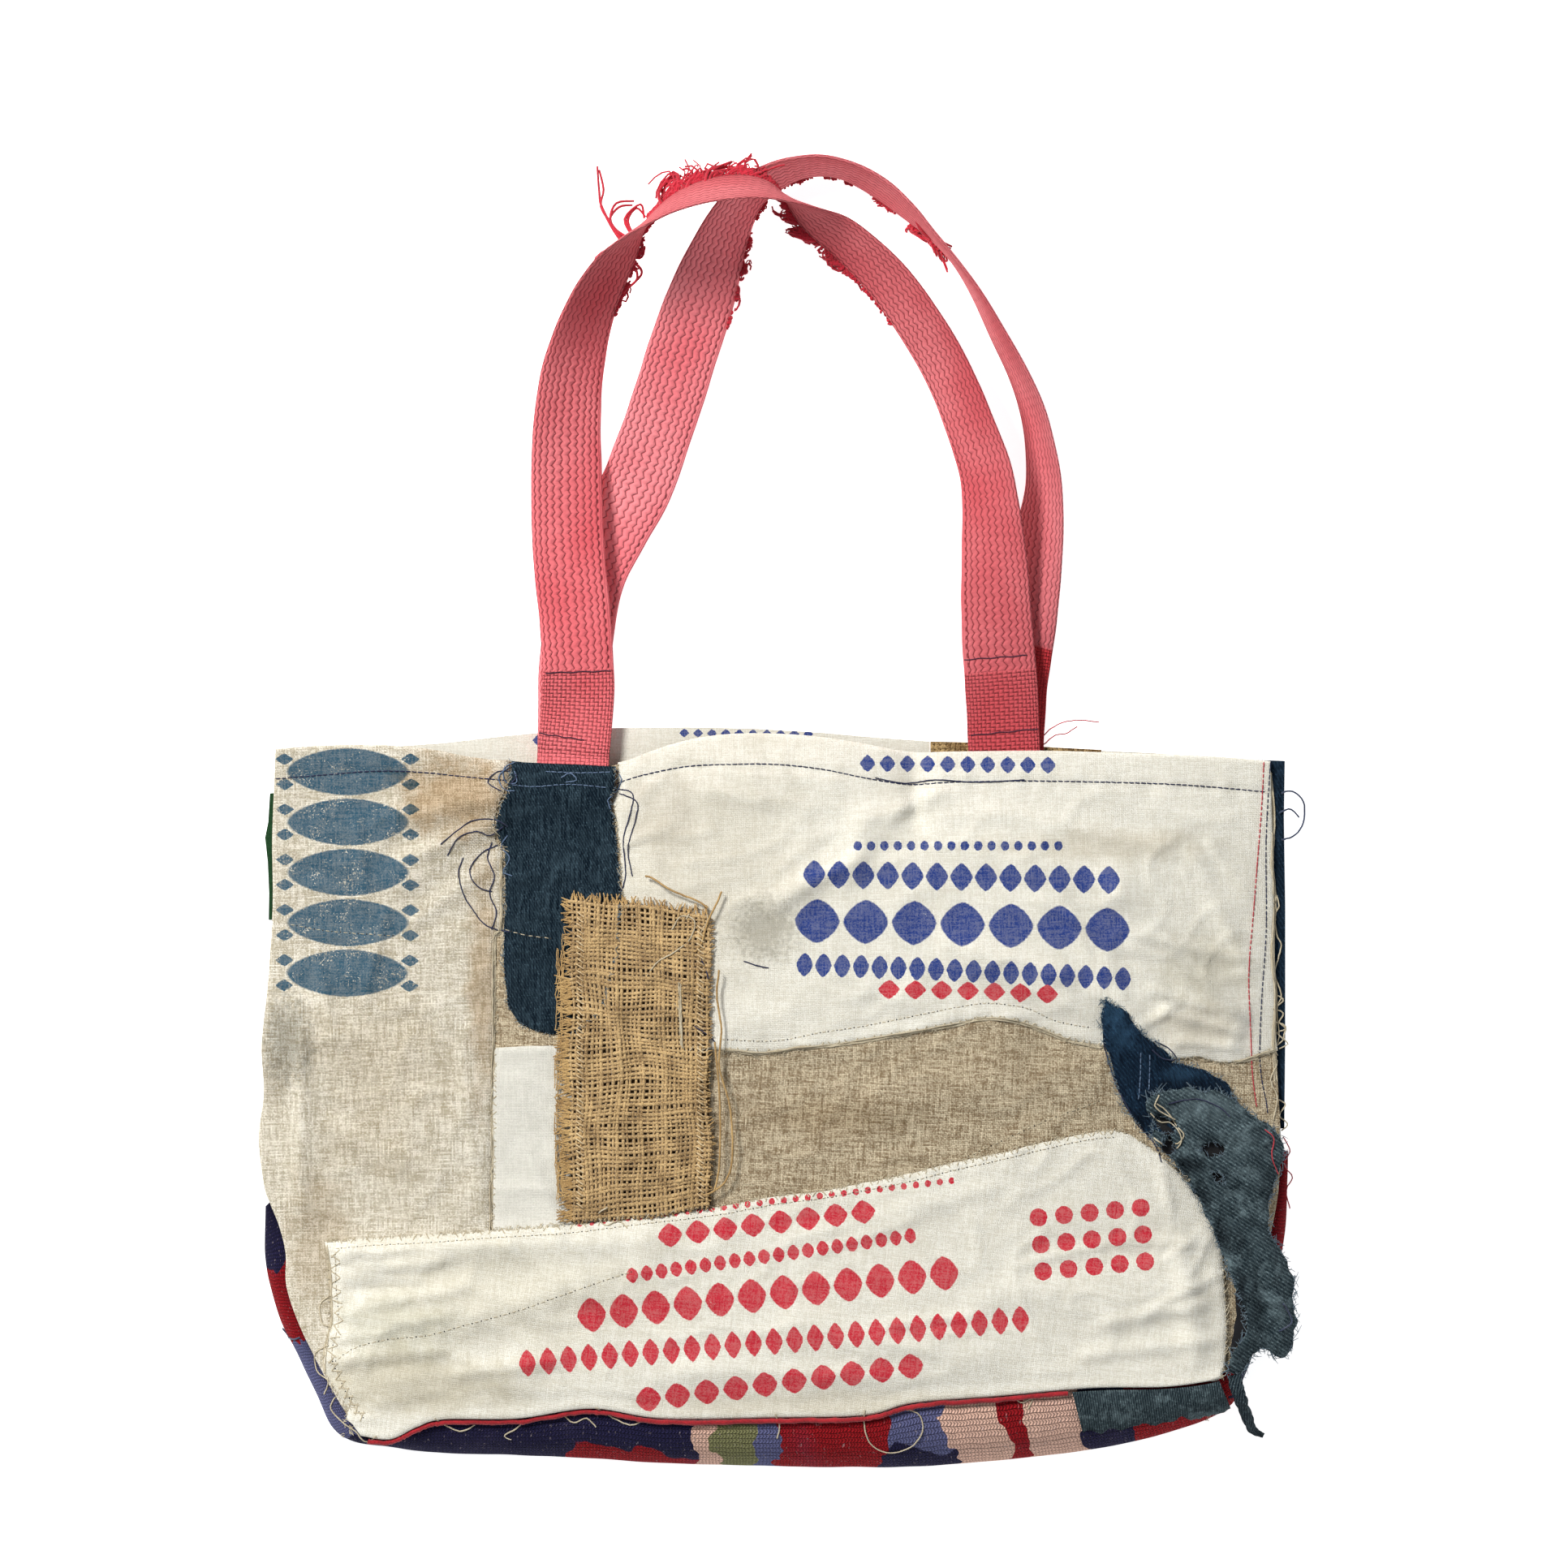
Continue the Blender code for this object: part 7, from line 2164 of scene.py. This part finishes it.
def sewn(path, pitch, length, radius, sink, luck, hole_shade_dots=None, waver=0.25):
    """Stitches along smooth places in plan, each rising out of the cloth and going back into it."""
    xs, ys = column(path, "x"), column(path, "y")
    last = len(xs) - 1
    fine = last * 24
    spots = [
        Vector(
            (smooth_value(xs, last * i / fine), smooth_value(ys, last * i / fine))
        ) for i in range(fine + 1)
    ]
    marks = [0.0]
    for before, here in zip(spots, spots[1:]):
        marks.append(marks[-1] + (here - before).length)

    def at(distance):
        share = stepped_value(marks, list(range(fine + 1)), distance)
        low = min(int(share), fine - 1)
        return spots[low].lerp(spots[low + 1], share - low)

    stitches = []
    start = 0.0
    while start + length < marks[-1]:
        points = []
        aside = luck.uniform(-waver, waver)
        for share, rise in ((0.0, -0.35), (0.2, 0.12), (0.5, 0.26), (0.8, 0.12), (1.0, -0.35)):
            spot = at(start + length * share) + Vector((0.0, aside * (share - 0.5)))
            height = top_height(spot.x, spot.y) - sink
            points.append((Vector((spot.x, spot.y, height + rise)), radius))
        stitches.append(points)
        # A dark dot in the needle hole between stitches is painted shade
        if hole_shade_dots is not None:
            spot = at(start + (pitch + length) * 0.5)
            level = top_height(spot.x, spot.y)
            hole_shade_dots.append(
                [
                    (Vector((spot.x, spot.y, level - 0.3)), 0.42),
                    (Vector((spot.x, spot.y, level + 0.06)), 0.34)
                ]
            )
        start += pitch * luck.uniform(0.93, 1.07)
    return stitches


def whipped(path, pitch, reach, radius, luck):
    """Slanted stitches that cross a cloth's edge, leaning alternately along it."""
    xs, ys = column(path, "x"), column(path, "y")
    last = len(xs) - 1
    length = sum(math.hypot(xs[i + 1] - xs[i], ys[i + 1] - ys[i]) for i in range(last))
    stitches = []
    for number in range(int(length / pitch)):
        position = last * (number + luck.uniform(0.3, 0.7)) * pitch / length
        spot = Vector((smooth_value(xs, position), smooth_value(ys, position)))
        ahead = Vector((smooth_value(xs, position + 0.1), smooth_value(ys, position + 0.1)))
        along = (ahead - spot).normalized() if (ahead - spot).length > 0.0 else Vector((1.0, 0.0))
        across = Vector((-along.y, along.x))
        slant = (0.75 if number % 2 else -0.75) * luck.uniform(0.6, 1.2)
        points = []
        for step in range(5):
            share = step / 4.0 - 0.5
            here = spot + (across + along * slant) * reach * share
            points.append((Vector((here.x, here.y, top_height(here.x, here.y) + 0.14)), radius))
        stitches.append(points)
    return stitches


def torn_fuzz(outline, count, reach, radius, luck, level, inward=False):
    """Short threads out of a torn or cut edge."""
    run = []
    for index, here in enumerate(outline):
        after = outline[(index + 1) % len(outline)]
        run.append((Vector(here), Vector(after)))
    total = sum((end - start).length for start, end in run)
    paths = []
    for _ in range(count):
        wanted = total * luck.uniform(0.0, 1.0)
        for start, end in run:
            length = (end - start).length
            if wanted <= length:
                break
            wanted -= length
        along = (end - start).normalized()
        root = start + along * wanted
        out = Vector((along.y, -along.x))
        if inside(root.x + out.x, root.y + out.y, outline) != inward:
            out = -out
        covered = top_height(root.x, root.y) > WALL.height(root.x, root.y) + level + 1.7
        bare = top_height(root.x - out.x * 1.2, root.y - out.y * 1.2) < 1.2
        if abs(root.x) > 236.0 or root.y > 158.0 or root.y < -149.0 or covered or bare:
            continue
        far = reach * luck.uniform(0.3, 1.2)
        lean = luck.uniform(-1.3, 1.3)
        bend = luck.uniform(-1.2, 1.2)
        base = top_height(root.x - out.x * 0.8, root.y - out.y * 0.8)
        path = []
        for step in range(5):
            share = step / 4.0
            spot = root + out * (far * share - 0.5) + along * (lean * share + bend * share * share) * far
            ground = top_height(spot.x, spot.y)
            rest = max(ground + 0.15, base - 0.1 - 0.9 * share * share)
            path.append((Vector((spot.x, spot.y, rest)), radius * (1.0 - 0.4 * share)))
        paths.append(path)
    return paths


class TOTE_OT_stitching(bpy.types.Operator):
    """Sew the seams and lay the loose threads and frayed edges."""

    bl_idname = "tote.stitching"
    bl_label = "Stitching and loose threads"

    def execute(self, context):
        sizes, colours = settings()
        long = sizes.stitch_length / MM
        joined = bmesh.new()
        for key in ("ground", "linen", "upper", "white", "lower", "tab", "dark", "worn", "burlap", "band"):
            joined.from_mesh(CLOTHS[key][0].data)
        joined.from_mesh(CLOTHS["burlap_parts"][0].data)
        TOPS["tree"] = BVHTree.FromBMesh(joined)
        joined.from_mesh(CLOTHS["strap_front"][0].data)
        webbing = BVHTree.FromBMesh(joined)
        joined.free()
        luck = random.Random(3)
        navy = yarn_material("navy_thread", colours.navy_thread, (0.07, 0.09, 0.20), 1.0)
        pale = yarn_material("pale_thread", colours.pale_thread, (0.68, 0.62, 0.50), 1.0)
        red = yarn_material("red_thread", (0.80, 0.25, 0.30), (0.62, 0.14, 0.18), 1.0)
        grey = yarn_material("grey_thread", (0.26, 0.30, 0.40), (0.16, 0.20, 0.29), 1.0)
        blue = yarn_material("blue_thread", (0.44, 0.53, 0.64), (0.26, 0.34, 0.46), 1.0)
        whisker = yarn_material("denim_whisker", (0.44, 0.52, 0.56), (0.20, 0.28, 0.35), 1.0)

        navy_paths, red_paths, pale_paths, grey_paths, hole_shade_dots = [], [], [], [], []
        for table in (HEM_LINEN, HEM_SACK):
            navy_paths += sewn(table, long * 1.12, long, 0.27, 0.0, luck)
        blue_paths = []
        for table in DENIM_SEAMS:
            blue_paths += sewn(table, long * 1.12, long, 0.24, 0.0, luck)
        navy_paths += sewn(SEAM_SIDE, long * 1.1, long, 0.25, 0.0, luck, waver=0.8)
        red_paths += sewn(SEAM_RED, long * 1.04, long, 0.26, 0.0, luck, waver=0.8)
        for table, pitch, length, radius in (
            (SEAM_LINEN, 1.7, 0.8, 0.20), (SEAM_TAB, 1.5, 0.9, 0.20), (SEAM_UPPER, 1.6, 0.8, 0.17),
            (SEAM_LOWER_TOP, 1.55, 0.85, 0.18), (SEAM_LOWER_LEFT, 1.5, 0.9, 0.18),
            (SEAM_LOWER_CROSS, 1.8, 1.0, 0.16), (SEAM_TAUPE, 2.2, 1.0, 0.18),
        ):
            pale_paths += sewn(table, long * pitch, long * length, radius, 0.0, luck, hole_shade_dots)
        for spots in RAW_EDGES:
            for _ in range(6):
                shifts = [(x + luck.uniform(-0.7, 0.7), y + luck.uniform(-0.7, 0.7)) for x, y in spots]
                pale_paths.append(loose_thread(shifts, luck.uniform(0.20, 0.34), 1.6, 0.0, luck))
        for table, pitch, reach in WHIPPED_EDGES:
            pale_paths += whipped(table, pitch, reach, 0.27, luck)
        bars = []
        for x0, y0, x1, y1 in THREAD_BARS[1:]:
            path = []
            for step in range(15):
                spot = Vector((x0, y0, 200.0)).lerp(Vector((x1, y1, 200.0)), step / 14.0)
                spot.y += 0.22 * math.sin(step * 1.3 + x0)
                hit = webbing.ray_cast(spot * MM, Vector((0.0, 0.0, -1.0)))[0]
                path.append((Vector((spot.x, spot.y, (hit.z / MM if hit else 1.0) + 0.2)), 0.26))
            bars.append(path)
        bins = {
            "navy": navy_paths, "red": red_paths, "pale": pale_paths, "grey": grey_paths, "blue": blue_paths
        }
        for kind, spots in LOOSE_THREADS:
            level = spots[0][2] if len(spots[0]) == 3 else None
            girth = {"grey": 0.40, "pale": 0.33}.get(kind, 0.27)
            bins[kind].append(loose_thread([spot[:2] for spot in spots], girth, 1.5, 0.0, luck, level))
        pale_paths += torn_fuzz(FLOUR_UPPER[1:], 900, 2.2, 0.19, luck, LEVELS["first"])
        pale_paths += torn_fuzz(LINEN_LEFT[1:], 700, 2.4, 0.19, luck, LEVELS["first"])
        pale_paths += torn_fuzz(FLOUR_LOWER[1:], 900, 2.0, 0.19, luck, LEVELS["lower"])
        whiskers = torn_fuzz(DENIM_TAB[1:], 260, 2.0, 0.17, luck, LEVELS["first"] + 3.0)
        whiskers += torn_fuzz(DENIM_DARK[1:], 190, 2.6, 0.18, luck, LEVELS["dark"])
        whiskers += torn_fuzz(DENIM_WORN[1:], 420, 2.6, 0.17, luck, LEVELS["worn"] + 6.0)
        for hole in WORN_HOLES:
            whiskers += torn_fuzz(hole, 26, 2.0, 0.16, luck, LEVELS["worn"] + 6.0, True)
        binding = []
        for index in range(BINDING_STEPS + 1):
            rim, outward, _, height = band_row(BINDING_START + BINDING_ROWS * index / BINDING_STEPS)
            spot = rim + outward * (1.5 + 0.6 * noise.noise(Vector((index / 7.0, 1.0, 0.0))))
            spot.z = height + 1.1
            binding.append((spot, 1.15 + 0.35 * noise.noise(Vector((index / 2.2, 5.0, 0.0)))))
        made = {
            "navy_stitching": strands("navy_stitching", navy_paths, navy),
            "red_stitching": strands("red_stitching", red_paths, red),
            "pale_stitching": strands("pale_stitching", pale_paths, pale, 0),
            "grey_loose_thread": strands("grey_loose_thread", grey_paths, grey),
            "blue_stitching": strands("blue_stitching", blue_paths, blue),
            "denim_whiskers": strands("denim_whiskers", whiskers, whisker, 0),
            "thread_bars": strands(
                "thread_bars", bars, yarn_material("maroon_thread", (0.34, 0.12, 0.22), (0.18, 0.07, 0.15))
            ),
            "red_binding": strands(
                "red_binding", [binding],
                yarn_material("red_binding_wool", (0.74, 0.15, 0.19), (0.50, 0.08, 0.11))
            ),
            # Dark dots in the needle holes are painted shade
            "needle_holes": strands(
                "needle_holes", hole_shade_dots, yarn_material("needle_hole", (0.20, 0.17, 0.13), (0.12, 0.10, 0.08))
            ),
        }
        CLOTHS["thread_parts"] = made
        return {"FINISHED"}


class TOTE_OT_declare(bpy.types.Operator):
    """Bound each cloth's built area between a least share of its flat box and the box; the bounded area is
    not kept.
    """

    bl_idname = "tote.declare"
    bl_label = "State the cloths"

    def execute(self, context):
        for key, value in CLOTHS.items():
            if key.endswith("_parts"):
                continue
            thing, flat, area = value
            area = min(max(area, LEAST_AREA_SHARE * flat[0] * flat[1]), flat[0] * flat[1])
        return {"FINISHED"}


# Round lamps: place and size in metres, power in watts
LAMPS = (
    ("name", "spot", "size", "power", "colour"),
    ("key_light", (-1.45, 1.65, 2.2), 0.85, 110.0, (1.0, 0.985, 0.96)),
    ("fill_light", (1.6, -1.0, 2.4), 1.8, 8.0, (0.95, 0.97, 1.0)),
)
# Place in plan that the lamps face, the camera's own place in plan, its sensor and its lens
LAMP_AIM = (0.0, 0.1, 0.0)
CAMERA_PLACE = (0.004, 0.1452)
SENSOR_WIDTH = 36.0
LENS_LENGTH = 203.8
FLOOR_GLOW = 0.80
ROOM_LIGHT = 0.30


class TOTE_OT_stage(bpy.types.Operator):
    """Set the pale floor, the soft studio light and the camera straight above the bag."""

    bl_idname = "tote.stage"
    bl_label = "Stage, light and camera"

    def execute(self, context):
        sizes, _ = settings()
        scene = context.scene
        mesh = bmesh.new()
        bmesh.ops.create_grid(mesh, x_segments=1, y_segments=1, size=4.0)
        data = bpy.data.meshes.new("pale_floor")
        mesh.to_mesh(data)
        mesh.free()
        floor = bpy.data.objects.new("pale_floor", data)
        scene.collection.objects.link(floor)
        material, _, shader = new_material("pale_floor_paper", 1.0)
        shader.inputs["Base Color"].default_value = (0.92, 0.92, 0.92, 1.0)
        shader.inputs["Specular IOR Level"].default_value = 0.0
        shader.inputs["Emission Color"].default_value = (1.0, 1.0, 1.0, 1.0)
        shader.inputs["Emission Strength"].default_value = FLOOR_GLOW
        data.materials.append(material)

        world = bpy.data.worlds.new("soft_room")
        world.use_nodes = True
        room = world.node_tree.nodes["Background"]
        room.inputs["Color"].default_value = (0.93, 0.96, 1.0, 1.0)
        room.inputs["Strength"].default_value = ROOM_LIGHT
        scene.world = world
        for name, spot, size, power, colour in LAMPS[1:]:
            lamp = bpy.data.lights.new(name, "AREA")
            lamp.shape = "DISK"
            lamp.size = size
            lamp.energy = power
            lamp.color = colour
            holder = bpy.data.objects.new(name, lamp)
            holder.location = spot
            holder.rotation_euler = (
                Vector(LAMP_AIM) - Vector(spot)
            ).to_track_quat("-Z", "Y").to_euler()
            scene.collection.objects.link(holder)

        lens = bpy.data.cameras.new("photo_camera")
        lens.sensor_width = SENSOR_WIDTH
        lens.lens = LENS_LENGTH
        lens.clip_end = 30.0
        camera = bpy.data.objects.new("photo_camera", lens)
        camera.location = (*CAMERA_PLACE, sizes.camera_height)
        scene.collection.objects.link(camera)
        scene.camera = camera
        scene.view_settings.view_transform = "Standard"
        return {"FINISHED"}


OPERATORS = (
    TOTE_OT_stage, TOTE_OT_sack_cloths, TOTE_OT_denim_pieces, TOTE_OT_bottom_band, TOTE_OT_back_panel,
    TOTE_OT_burlap_patch, TOTE_OT_handles, TOTE_OT_stitching, TOTE_OT_declare,
)


class TOTE_PT_panel(bpy.types.Panel):
    """Sizes, colours and building steps of the bag."""

    bl_idname = "TOTE_PT_panel"
    bl_label = "Patchwork tote bag"
    bl_space_type = "VIEW_3D"
    bl_region_type = "UI"
    bl_category = "Tote bag"

    def draw(self, context):
        layout = self.layout
        for group in (context.scene.tote_sizes, context.scene.tote_colours):
            box = layout.box()
            for name in group.bl_rna.properties.keys():
                if name not in {"rna_type", "name"}:
                    box.prop(group, name)
        for operator in OPERATORS:
            layout.operator(operator.bl_idname)


CLASSES = (ToteSizes, ToteColours, *OPERATORS, TOTE_PT_panel)


def register():
    """Add the bag's settings, steps and panel."""
    for kind in CLASSES:
        bpy.utils.register_class(kind)
    bpy.types.Scene.tote_sizes = PointerProperty(type=ToteSizes)
    bpy.types.Scene.tote_colours = PointerProperty(type=ToteColours)


def unregister():
    """Take the bag's settings, steps and panel away."""
    del bpy.types.Scene.tote_colours
    del bpy.types.Scene.tote_sizes
    for kind in reversed(CLASSES):
        bpy.utils.unregister_class(kind)


def main():
    """Build the whole bag."""
    register()
    for operator in OPERATORS:
        getattr(bpy.ops.tote, operator.bl_idname.split(".")[1])()


if __name__ == "__main__":
    main()
